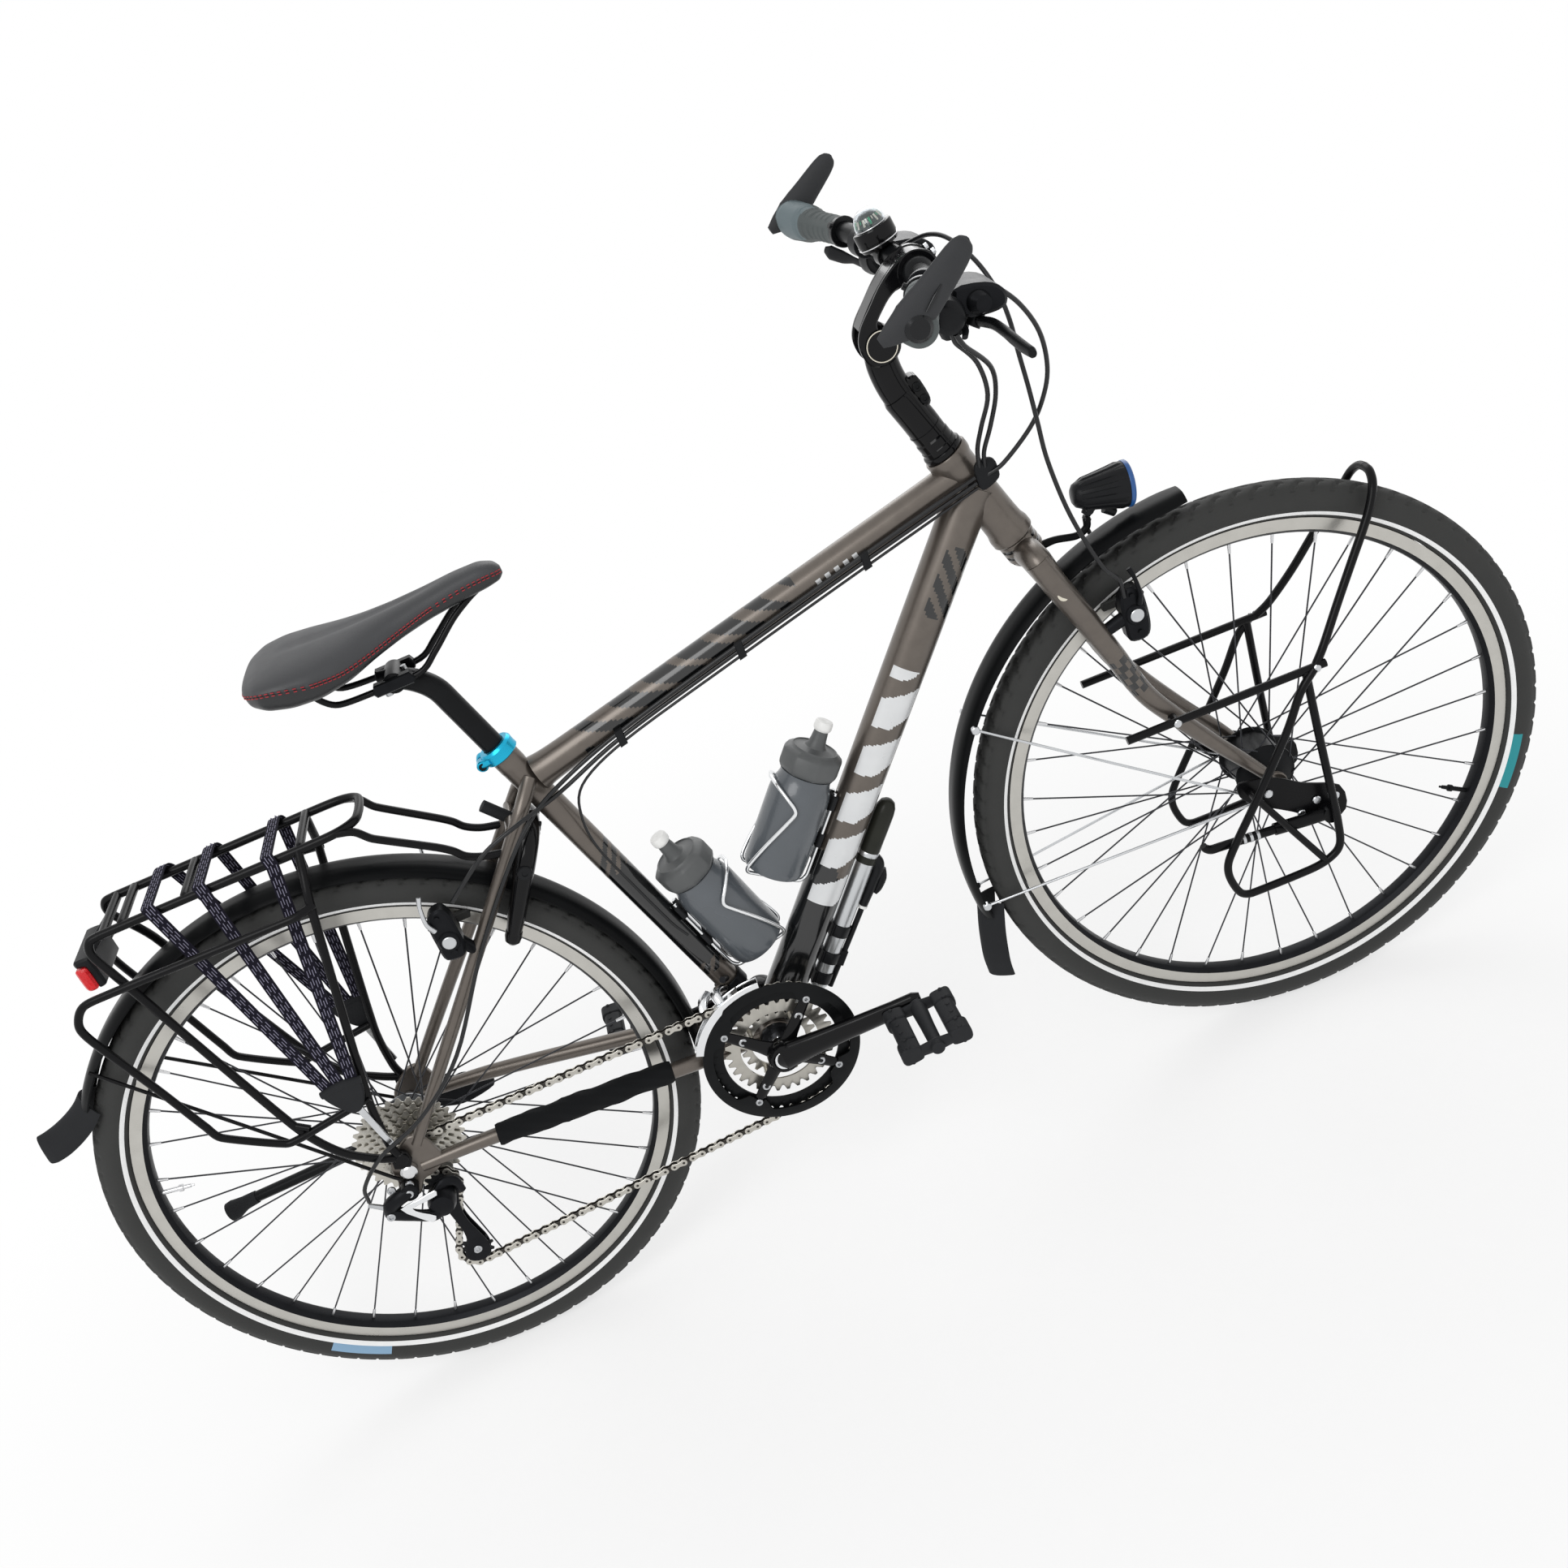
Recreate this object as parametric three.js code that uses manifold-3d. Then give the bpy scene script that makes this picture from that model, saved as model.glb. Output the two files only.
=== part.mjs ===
import * as THREE from 'three';
import { mergeVertices } from 'three/addons/utils/BufferGeometryUtils.js';
import Module from 'manifold-3d';

// A touring bicycle with full luggage fittings. Millimetres, +X forward, +Y to the left, +Z up.
// The origin is the rear tyre's contact with the ground. Tables whose names end in Shares hold
// places as shares of the named size that they are placed with.

const wasm = await Module();
wasm.setup();
const { Manifold, Mesh: SolidMesh } = wasm;

// Clearances
const fitGap = 0.3;
const mergeTolerance = 0.14;
const areaChangeShare = 0.004;
const runningGap = 1.2;
const cutOverrun = 4;

// Wheels
const tyreRadius = 358;
const tyreHalfWidth = 23;
const treadHalfWidth = 8;
const tyreHeight = 40.4;
const rimDepth = 19;
const tyreSeatRadius = tyreRadius - tyreHeight;
const rimOuterRadius = tyreSeatRadius - fitGap * 2;
const rimInnerRadius = rimOuterRadius - rimDepth;
const rimHalfWidth = 12.5;
const rimWell = 6;
const wheelSteps = 32;
const spokeRadius = 1.2;
const spokesPerWheel = 36;
const nippleRadius = 2.4;
const wheelbase = 1131;

// Frame
const bottomBracketDrop = 68;
const chainstayReach = 455;
const seatTubeLength = 494;
const seatTubeRadius = 16;
const seatTubeBoreRadius = 13.6;
const topTubeRadius = 18.5;
const downTubeRadius = 25;
const seatstayRadius = 8;
const chainstayRadius = 9;
const shellRadius = 22;
const shellHalfWidth = 34;
const headTubeRadius = 22.5;
const headTubeLength = 128;
const headTubeBoreRadius = 17;
const rearSpacing = 135;
const dropoutThickness = 6.4;
const dropoutRadius = 17;
const bridgeRadius = 6;

// Steering
const headAngle = 69.3 * Math.PI / 180;
const forkRake = 50;
const restSteerAngle = -3.68 * Math.PI / 180;
const axleToCrown = 428;
const crownToHeadTube = 24;
const steererRadius = 14.3;
const steererLength = 200;
const bladeTopRadius = 12.5;
const bladeTipRadius = 7;
const bladeSpread = 56;
const frontSpacing = 100;
const crownRadius = 15;
const forkLugRadius = 15;
const forkDropoutThickness = 7;

// Hubs
const axleRadius = 6;
const rearHubRadius = 15;
const rearFlangeRadius = 29;
const rearFlangeRight = 19;
const rearFlangeLeft = 32;
const flangeThickness = 3.2;
const freehubRadius = 16.5;
const freehubEnd = 60;
const dynamoRadius = 37;
const dynamoHalfWidth = 24;
const dynamoCoreRadius = 33;
const spokeInset = 3;

// Cassette and chain
const chainLine = 58;
const chainHalfWidth = 3;
const chainThickness = 6.4;
const largeRingPitchRadius = 89;
const smallCogPitchRadius = 22.5;
const pulleyPitchRadius = 22;
const chainInset = 4;
const cogPitch = 4;
const cogCount = 9;
const largestCogRadius = 66;
const cassetteOuterFace = 58.7;
const guideReach = [16, -52];
const tensionReach = [12, -160];
const middleRingRadius = 61;
const innerRingRadius = 41;
const ringThickness = 2.4;
const ringSpacing = 8;
const guardRadius = 97;
const guardInnerRadius = 84.6;
const guardThickness = 3;
const spiderBoltCircle = 52;
const spiderArmRadius = 7;
const ringBoreRadius = 46;

// Cranks and pedals
const crankLength = 170;
const crankTilt = 2.5 * Math.PI / 180;
const crankFace = 74;
const crankArmRadius = 13;
const crankEndRadius = 11;
const crankFlare = 10;
const spindleRadius = 12;
const pedalLength = 92;
const pedalHalfWidth = 42;
const pedalThickness = 22;
const pedalAxleRadius = 7;
const pedalBarWidth = 13;

// Seat
const seatpostRadius = 13;
const seatClampLength = 34;
const seatClampWall = 4.4;
const saddleLength = 290;

// Mudguards
const guardWall = 2.4;
const mudguardHalfWidth = 26;
const rearGuardRadius = 372;
const frontGuardRadius = 377;
const frontGuardSetback = 9;
const frontGuardRise = 6;
const stayRadius = 1.9;

// Rack, low rider and stands
const rackHeight = 414;
const rackTubeRadius = 5;
const loaderReach = 150;
const loaderTubeRadius = 5;
const rackRungHalfWidth = 7;
const rackRungThickness = 3;
const standLength = 300;
const standLegRadius = 8;

// Bar
const barCentreRadius = 15.9;
const barRadius = 11;
const barHalfWidth = 310;
const barRise = 1075;
const gripRadius = 16;
const gripLength = 124;
const hornRadius = 10.5;
const stemPivotRadius = 18;
const leverLength = 112;

// Bottles, cages and pump
const bottleRadius = 36.5;
const bottleLength = 196;
const bottleNeckRadius = 29;
const nozzleRadius = 11;
const cageWireRadius = 2.4;
const cageClearance = 1;
const cageDepth = 7;
const cagePlateHalfWidth = 7;
const pumpRadius = 13;
const pumpLength = 262;

const up = new THREE.Vector3(0, 0, 1);
const left = new THREE.Vector3(0, 1, 0);
const rearAxle = new THREE.Vector3(0, 0, tyreRadius);
const frontAxle = new THREE.Vector3(wheelbase, 0, tyreRadius);
const crankCentre = new THREE.Vector3(chainstayReach, 0, tyreRadius - bottomBracketDrop);

const vec = (x, y, z) => new THREE.Vector3(x, y, z);
const mix = (a, b, share) => a.clone().lerp(b, share);

function place(origin, size, shares) {
  return shares.map(([x, y, z]) => vec(x, y, z).multiplyScalar(size).add(origin));
}

function mirrored(points, side) {
  return points.map((p) => vec(p.x, p.y * side, p.z));
}

function solid(geometry) {
  let clean = geometry.index ? geometry.toNonIndexed() : geometry.clone();
  for (const name of Object.keys(clean.attributes)) {
    if (name !== 'position') clean.deleteAttribute(name);
  }
  clean = mergeVertices(clean, 1e-4);
  return new Manifold(new SolidMesh({
    numProp: 3,
    vertProperties: Float32Array.from(clean.attributes.position.array),
    triVerts: Uint32Array.from(clean.index.array),
  }));
}

function geometryOf(body) {
  const mesh = body.getMesh();
  const geometry = new THREE.BufferGeometry();
  geometry.setAttribute('position', new THREE.BufferAttribute(Float32Array.from(mesh.vertProperties), 3));
  geometry.setIndex(new THREE.BufferAttribute(Uint32Array.from(mesh.triVerts), 1));
  return geometry;
}

function join(...bodies) {
  return bodies.flat().reduce((whole, body) => whole.add(body));
}

// A straight round bar between two points, which may taper.
function bar(a, b, radius, sides = 10, endRadius = radius) {
  const length = a.distanceTo(b);
  const geometry = new THREE.CylinderGeometry(endRadius, radius, length, sides);
  const turn = new THREE.Quaternion().setFromUnitVectors(left, b.clone().sub(a).normalize());
  geometry.applyQuaternion(turn);
  const middle = mix(a, b, 0.5);
  geometry.translate(middle.x, middle.y, middle.z);
  return solid(geometry);
}

// A body turned about the line from a point along an axis; the profile is [radius, distance] pairs.
function turned(origin, axis, profile, steps, phase = 0) {
  const outline = profile.map(([r, h]) => new THREE.Vector2(r, h));
  const geometry = new THREE.LatheGeometry(outline, steps);
  geometry.rotateY(phase);
  const turn = new THREE.Quaternion().setFromUnitVectors(left, axis.clone().normalize());
  geometry.applyQuaternion(turn);
  geometry.translate(origin.x, origin.y, origin.z);
  const body = solid(geometry);
  if (body.volume() > 0) return body;
  const flipped = geometry.toNonIndexed();
  const position = flipped.attributes.position;
  for (let i = 0; i < position.count; i += 3) {
    const a = vec(position.getX(i), position.getY(i), position.getZ(i));
    const c = vec(position.getX(i + 2), position.getY(i + 2), position.getZ(i + 2));
    position.setXYZ(i, c.x, c.y, c.z);
    position.setXYZ(i + 2, a.x, a.y, a.z);
  }
  return solid(flipped);
}

// A path through fixed points, sampled at those points alone.
class Route extends THREE.Curve {
  constructor(points) {
    super();
    this.points = points;
  }

  getUtoTmapping(u) {
    return u;
  }

  getPoint(t, target = new THREE.Vector3()) {
    const last = this.points.length - 1;
    const at = Math.min(t * last, last);
    const low = Math.min(Math.floor(at + 1e-9), last - 1);
    return target.copy(this.points[low]).lerp(this.points[low + 1], at - low);
  }

  getTangent(t, target = new THREE.Vector3()) {
    const last = this.points.length - 1;
    const i = Math.round(t * last);
    const before = this.points[Math.max(i - 1, 0)];
    const here = this.points[i];
    const after = this.points[Math.min(i + 1, last)];
    target.set(0, 0, 0);
    if (i > 0) target.add(here.clone().sub(before).normalize());
    if (i < last) target.add(after.clone().sub(here).normalize());
    return target.normalize();
  }
}

// Corners of a path rounded with a radius, in a few short steps.
function rounded(points, radius, pieces = 3) {
  const out = [points[0]];
  for (let i = 1; i < points.length - 1; i += 1) {
    const p = points[i];
    const toBefore = points[i - 1].clone().sub(p);
    const toAfter = points[i + 1].clone().sub(p);
    const reach = Math.min(radius, toBefore.length() * 0.45, toAfter.length() * 0.45);
    const start = p.clone().add(toBefore.normalize().multiplyScalar(reach));
    const end = p.clone().add(toAfter.normalize().multiplyScalar(reach));
    for (let k = 0; k <= pieces; k += 1) {
      const share = k / pieces;
      out.push(mix(mix(start, p, share), mix(p, end, share), share));
    }
  }
  out.push(points[points.length - 1]);
  return out;
}

function outlineShape(points) {
  return new THREE.Shape(points.map(([x, y]) => new THREE.Vector2(x, y)));
}

function swept(points, outline) {
  const path = new Route(points);
  return solid(new THREE.ExtrudeGeometry(outlineShape(outline), {
    steps: points.length - 1, bevelEnabled: false, extrudePath: path,
  }));
}

function ringOutline(radius, sides, stretch = 1) {
  return Array.from({ length: sides }, (_, i) => {
    const angle = (i + 0.5) * 2 * Math.PI / sides;
    return [radius * stretch * Math.cos(angle), radius * Math.sin(angle)];
  });
}

function tube(points, radius, sides = 8, corner = 0, pieces = 3) {
  const path = corner > 0 ? rounded(points, corner, pieces) : points;
  return swept(path, ringOutline(radius, sides));
}

// A flat plate whose outline lies in the X-Z plane, between two distances along Y.
function plate(points, from, to, holes = []) {
  const shape = new THREE.Shape(points.map((p) => new THREE.Vector2(p.x, p.z)));
  for (const hole of holes) {
    shape.holes.push(new THREE.Path(hole.map((p) => new THREE.Vector2(p.x, p.z))));
  }
  const low = Math.min(from, to);
  const high = Math.max(from, to);
  const geometry = new THREE.ExtrudeGeometry(shape, { depth: high - low, bevelEnabled: false });
  geometry.rotateX(Math.PI / 2);
  geometry.translate(0, high, 0);
  return solid(geometry);
}

function disc(centre, radius, sides) {
  return Array.from({ length: sides }, (_, i) => {
    const angle = (i + 0.5) * 2 * Math.PI / sides;
    return vec(centre.x + radius * Math.cos(angle), 0, centre.z + radius * Math.sin(angle));
  });
}

// A block with its own length, width and height, centred on a point and turned about Y.
function block(centre, length, width, height, turn = 0) {
  const geometry = new THREE.BoxGeometry(length, width, height);
  geometry.rotateY(turn);
  geometry.translate(centre.x, centre.y, centre.z);
  return solid(geometry);
}

const group = new THREE.Group();
const steering = new THREE.Group();
group.add(steering);

const steerAxis = vec(-Math.cos(headAngle), 0, Math.sin(headAngle));
const steerForward = vec(Math.sin(headAngle), 0, Math.cos(headAngle));
const steerFoot = frontAxle.clone().sub(steerForward.clone().multiplyScalar(forkRake));
steering.position.copy(steerFoot);
steering.quaternion.setFromAxisAngle(steerAxis, restSteerAngle);

function add(name, body, colour, roughness, metalness, steered = false) {
  const material = new THREE.MeshStandardMaterial({ color: colour, roughness, metalness });
  const merged = body.asOriginal();
  const light = merged.simplify(mergeTolerance);
  const areaChange = Math.abs(light.surfaceArea() / merged.surfaceArea() - 1);
  const mesh = new THREE.Mesh(geometryOf(areaChange < areaChangeShare ? light : merged), material);
  mesh.name = name;
  if (steered) mesh.position.copy(steerFoot).negate();
  (steered ? steering : group).add(mesh);
  return body;
}

const alongSteerer = (distance) => steerFoot.clone().add(steerAxis.clone().multiplyScalar(distance));
const sides = [-1, 1];

// Wheels: a tyre, a rim and a hub with its spokes, for each axle.
const facetRadius = tyreRadius / Math.cos(Math.PI / wheelSteps);
const tyreDepth = facetRadius - tyreSeatRadius;
const tyreSectionShares = [
  [0, 0.42], [0.2, 0.82], [0.5, 1], [0.86, 0.72],
];
const tyreProfile = [];
for (const [rise, width] of tyreSectionShares) {
  tyreProfile.push([tyreSeatRadius + tyreDepth * rise, tyreHalfWidth * width]);
}
tyreProfile.push([facetRadius, treadHalfWidth]);
const tyreRing = [...tyreProfile, ...tyreProfile.slice().reverse().map(([r, h]) => [r, -h])];
tyreRing.push(tyreRing[0]);
const rimRing = [
  [rimOuterRadius, rimHalfWidth], [rimOuterRadius - rimWell, rimHalfWidth],
  [rimInnerRadius, rimWell], [rimInnerRadius, -rimWell],
  [rimOuterRadius - rimWell, -rimHalfWidth], [rimOuterRadius, -rimHalfWidth],
];
rimRing.push(rimRing[0]);
const facetPhase = Math.PI / wheelSteps;

function spokes(centre, flanges, flangeRadius) {
  const out = [];
  const reach = rimInnerRadius * Math.cos(Math.PI / wheelSteps) - fitGap;
  for (let i = 0; i < spokesPerWheel; i += 1) {
    const side = i % 2;
    const pair = Math.floor(i / 2) % 2 === 0 ? 1 : -1;
    const rimAngle = (i + 0.5) * 2 * Math.PI / spokesPerWheel;
    const hubAngle = rimAngle + pair * 6 * Math.PI / spokesPerWheel * 1.6;
    const start = vec(
      centre.x + flangeRadius * Math.cos(hubAngle),
      centre.y + flanges[side] + pair * flangeThickness * 0.52,
      centre.z + flangeRadius * Math.sin(hubAngle),
    );
    const end = vec(
      centre.x + reach * Math.cos(rimAngle),
      centre.y + flanges[side] * 0.06 + pair * spokeRadius * 1.1,
      centre.z + reach * Math.sin(rimAngle),
    );
    out.push(bar(start, end, spokeRadius, 3, nippleRadius * 0.7));
  }
  return out;
}

function wheel(prefix, centre, hub, flanges, flangeRadius, steered) {
  add(`${prefix}_tyre`, turned(centre, left, tyreRing, wheelSteps, facetPhase), 0x1c1d1f, 0.8, 0, steered);
  add(`${prefix}_rim`, turned(centre, left, rimRing, wheelSteps, facetPhase), 0xb9bab8, 0.35, 0.9, steered);
  add(`${prefix}_hub`, join(hub, spokes(centre, flanges, flangeRadius)), 0x9a9c9e, 0.4, 0.8, steered);
}

const rearHalf = rearSpacing / 2 - fitGap;
const axleBoreRadius = axleRadius + fitGap;
const locknutRadius = axleRadius * 1.5;
const hubRight = rearFlangeRight + flangeThickness;
const hubLeft = rearFlangeLeft + flangeThickness;
const rearHub = turned(rearAxle, left, [
  [axleBoreRadius, -hubRight], [rearFlangeRadius, -hubRight], [rearFlangeRadius, -rearFlangeRight],
  [rearHubRadius, -rearFlangeRight], [rearHubRadius, rearFlangeLeft], [rearFlangeRadius, rearFlangeLeft],
  [rearFlangeRadius, hubLeft], [axleBoreRadius, hubLeft], [axleBoreRadius, -hubRight],
], 12);
add('rear_axle', turned(rearAxle, left, [
  [0, -rearHalf], [locknutRadius, -rearHalf], [locknutRadius, -freehubEnd - fitGap],
  [axleRadius, -freehubEnd - fitGap], [axleRadius, hubLeft + fitGap], [locknutRadius, hubLeft + fitGap],
  [locknutRadius, rearHalf], [0, rearHalf],
], 12), 0x9a9c9e, 0.4, 0.8);
wheel('rear', rearAxle, rearHub, [-rearFlangeRight - flangeThickness / 2,
  rearFlangeLeft + flangeThickness / 2],
  rearFlangeRadius - spokeInset, false);

const frontHalf = frontSpacing / 2 - fitGap;
const frontHub = turned(frontAxle, left, [
  [0, -frontHalf], [axleRadius, -frontHalf], [axleRadius * 2, -dynamoHalfWidth - axleRadius * 2],
  [dynamoCoreRadius, -dynamoHalfWidth - flangeThickness], [dynamoRadius,
    -dynamoHalfWidth - flangeThickness],
  [dynamoRadius, -dynamoHalfWidth], [dynamoCoreRadius, -dynamoHalfWidth],
  [dynamoCoreRadius, dynamoHalfWidth], [dynamoRadius, dynamoHalfWidth],
  [dynamoRadius, dynamoHalfWidth + flangeThickness], [dynamoCoreRadius,
    dynamoHalfWidth + flangeThickness],
  [axleRadius * 2, dynamoHalfWidth + axleRadius * 2], [axleRadius, frontHalf], [0, frontHalf],
], 16);
wheel('front', frontAxle, frontHub, [-dynamoHalfWidth - flangeThickness / 2,
  dynamoHalfWidth + flangeThickness / 2],
  dynamoRadius - spokeInset, true);

// Frame
const seatDirectionShares = [-0.2935, 0, 0.956];
const seatDirection = vec(...seatDirectionShares).normalize();
const seatTop = crankCentre.clone().add(seatDirection.clone().multiplyScalar(seatTubeLength));
const headBottom = alongSteerer(axleToCrown + crownToHeadTube);
const headTop = alongSteerer(axleToCrown + crownToHeadTube + headTubeLength);
const frameShares = [
  [-0.2409, 0, 0.8826],
  [0.8806, 0, 1.1397],
  [0.8968, 0, 1.1053],
  [0.0223, 0, 0.0263],
  [-0.2611, 0.0243, 0.8887],
  [-0.3138, 0.0668, 0.832],
  [-0.8765, 0.1437, 0.1903],
  [-0.0101, 0.0405, 0.004],
  [-0.1113, 0.0607, 0.0202],
  [-0.2267, 0.087, 0.0425],
  [-0.7186, 0.1336, 0.1134],
  [-0.8927, 0.1437, 0.1255],
  [-0.3462, 0, 0.8057],
  [-0.1356, 0, 0.0324],
];
const [topTubeBack, topTubeFront, downTubeTop, downTubeFoot, stayTop, stayBend, stayFoot, csRoot,
  csFirst, csBend,
  csSecond, csFoot, stayBridge, csBridge] = place(crankCentre, seatTubeLength, frameShares);
const dropoutInner = rearSpacing / 2 + fitGap;
const dropoutOuter = dropoutInner + dropoutThickness;
const frameParts = [
  bar(crankCentre, seatTop, seatTubeRadius, 12),
  bar(topTubeBack, topTubeFront, topTubeRadius, 12),
  bar(downTubeFoot, downTubeTop, downTubeRadius, 14),
  bar(headBottom, headTop, headTubeRadius, 16),
  bar(vec(crankCentre.x, -shellHalfWidth, crankCentre.z), vec(crankCentre.x, shellHalfWidth,
    crankCentre.z),
    shellRadius, 16),
];
const dropoutShares = [
  [-0.1481, -0.0889],
  [-0.1185, 0.1037],
  [0.1037, 0.2889],
  [0.237, 0.2519],
  [0.3111, -0.0444],
  [0.1778, -0.1481],
  [0.0593, -0.1778],
  [-0.0296, -0.2963],
  [-0.163, -0.2963],
  [-0.1778, -0.1778],
];
const dropoutOutline = dropoutShares.map(([x, z]) => vec(rearAxle.x + x * rearSpacing, 0,
  rearAxle.z + z * rearSpacing));
for (const side of sides) {
  frameParts.push(tube(mirrored([stayTop, stayBend, stayFoot], side), seatstayRadius, 8,
    seatstayRadius * 3, 1));
  frameParts.push(tube(mirrored([csRoot, csFirst, csBend, csSecond, csFoot], side), chainstayRadius, 8));
  frameParts.push(plate(dropoutOutline, side * dropoutInner, side * dropoutOuter));
}
const bridgeHalf = seatstayRadius * 5.4;
frameParts.push(bar(vec(stayBridge.x, -bridgeHalf, stayBridge.z), vec(stayBridge.x, bridgeHalf,
  stayBridge.z),
  bridgeRadius, 8));
frameParts.push(bar(vec(csBridge.x, -shellHalfWidth, csBridge.z), vec(csBridge.x, shellHalfWidth,
  csBridge.z),
  bridgeRadius, 8));
const seatBoreStart = crankCentre.clone().add(seatDirection.clone().multiplyScalar(seatTubeLength / 2));
const seatBoreEnd = seatTop.clone().add(seatDirection.clone().multiplyScalar(cutOverrun));
let frame = join(frameParts);
frame = frame.subtract(bar(seatBoreStart, seatBoreEnd, seatTubeBoreRadius, 12));
frame = frame.subtract(bar(alongSteerer(axleToCrown + crownToHeadTube - cutOverrun),
  alongSteerer(axleToCrown + crownToHeadTube + headTubeLength + cutOverrun), headTubeBoreRadius, 16));
// The bracket's cups are pressed into the shell and stand out of it on both sides.
const cupOuter = shellHalfWidth + crankArmRadius * 0.6;
frame = join(frame, bar(vec(crankCentre.x, -cupOuter, crankCentre.z), vec(crankCentre.x, cupOuter,
  crankCentre.z),
  shellRadius - fitGap, 16));
frame = frame.subtract(bar(vec(crankCentre.x, -cupOuter - cutOverrun, crankCentre.z),
  vec(crankCentre.x, cupOuter + cutOverrun, crankCentre.z), spindleRadius + fitGap, 16));
for (const side of sides) {
  frame = frame.subtract(bar(vec(rearAxle.x, side * (dropoutInner - cutOverrun), rearAxle.z),
    vec(rearAxle.x, side * (dropoutInner + fitGap), rearAxle.z), axleRadius + fitGap, 12));
}
add('frame', frame, 0x6e6a62, 0.4, 0.6);

// Seat clamp: a split collar with ears, round the top of the seat tube.
const clampStart = seatTop.clone().sub(seatDirection.clone().multiplyScalar(seatClampLength * 0.5));
const clampEnd = clampStart.clone().add(seatDirection.clone().multiplyScalar(seatClampLength));
const clampOuter = seatTubeRadius + fitGap + seatClampWall;
const clampBack = vec(seatDirection.z, 0, -seatDirection.x).multiplyScalar(-clampOuter);
let seatClamp = bar(clampStart, clampEnd, clampOuter, 16);
const clampEar = mix(clampStart, clampEnd, 0.5).add(clampBack);
seatClamp = seatClamp.add(block(clampEar, seatClampWall * 3, clampOuter, seatClampLength * 0.7,
  -Math.atan2(seatDirection.x, seatDirection.z) * -1));
seatClamp = seatClamp.subtract(bar(clampStart.clone().sub(seatDirection.clone().multiplyScalar(cutOverrun)),
  mix(clampStart, clampEnd, 0.5).add(seatDirection.clone().multiplyScalar(fitGap)),
    seatTubeRadius + fitGap, 12));
seatClamp = seatClamp.subtract(bar(clampStart.clone().sub(seatDirection.clone().multiplyScalar(cutOverrun)),
  clampEnd.clone().add(seatDirection.clone().multiplyScalar(cutOverrun)), seatpostRadius + fitGap, 12));
add('seat_clamp', seatClamp, 0x29b6d8, 0.3, 0.7);

// Seatpost with its layback head, the saddle's rails and the saddle.
const seatpostInserted = seatTubeLength * 0.36;
const seatShares = [
  [-0.3421, 0, 1.1255],
  [-0.3623, 0, 1.17],
  [-0.4008, 0, 1.2024],
  [-0.4231, 0, 1.2206],
  [-0.4595, 0, 1.2287],
];
const [postBend, postElbow, postNeck, railSeat, headBack] = place(crankCentre, seatTubeLength,
  seatShares);
const postFoot = seatTop.clone().sub(seatDirection.clone().multiplyScalar(seatpostInserted));
const postStraight = seatTop.clone().add(seatDirection.clone().multiplyScalar(postBend.distanceTo(seatTop)));
const railRadius = 3.5;
const railSpread = 22;
const headHalfWidth = railSpread + railRadius * 2;
const headLength = 44;
const headHeight = 16;
const seatpost = join(
  tube([postFoot, postStraight, postElbow, postNeck], seatpostRadius, 12),
  bar(mix(postElbow, postNeck, 0.8), railSeat, seatpostRadius, 12),
  block(vec(railSeat.x, 0, railSeat.z), headLength, headHalfWidth * 2, headHeight),
);
const railPathShares = [
  [-0.2828, 0.1034, 0.1069],
  [-0.2276, 0.0862, 0.0207],
  [-0.0828, 0.0759, 0],
  [0.1, 0.0759, 0],
  [0.2483, 0.069, 0.0966],
  [0.3586, 0.0345, 0.1655],
  [0.4138, 0.0138, 0.1862],
];
const railPoints = place(railSeat, saddleLength, railPathShares);
const railLeft = rounded(railPoints, railSpread / 2, 1);
const railLoop = [...railLeft, ...mirrored(railLeft, -1).reverse()];
const rails = tube(railLoop, railRadius, 6);
const railTip = (end,
  next) => end.clone().add(end.clone().sub(next).normalize().multiplyScalar(fitGap * 2));
const railRoom = tube([railTip(railLoop[0], railLoop[1]), ...railLoop.slice(1, -1),
  railTip(railLoop[railLoop.length - 1], railLoop[railLoop.length - 2])], railRadius + fitGap, 6);
add('seatpost', seatpost.subtract(railRoom), 0x1b1b1c, 0.45, 0.5);
add('saddle_rails', rails, 0x8d8f92, 0.3, 0.9);

const saddleSectionShares = [
  [-0.4828, 0.1034, 0.2069, 3.2483],
  [-0.4621, 0.1931, 0.2345, 3.2138],
  [-0.4069, 0.2552, 0.2517, 3.1862],
  [-0.3241, 0.2759, 0.2586, 3.1655],
  [-0.2207, 0.269, 0.2552, 3.1586],
  [-0.1103, 0.2276, 0.2483, 3.1724],
  [-0.0069, 0.1655, 0.2483, 3.2],
  [0.1034, 0.1172, 0.2517, 3.2207],
  [0.2276, 0.0862, 0.2586, 3.2379],
  [0.3586, 0.069, 0.269, 3.2483],
  [0.4552, 0.0586, 0.269, 3.2552],
  [0.5034, 0.0379, 0.2517, 3.2621],
  [0.5207, 0.0172, 0.231, 3.2759],
];
const crownShares = [
  [0, 1], [0.34, 0.985], [0.62, 0.93], [0.84, 0.8], [0.97, 0.55], [1, 0.3], [0.93, 0.1], [0.8, 0],
  [0.4, 0.12], [0, 0.16],
];
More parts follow.
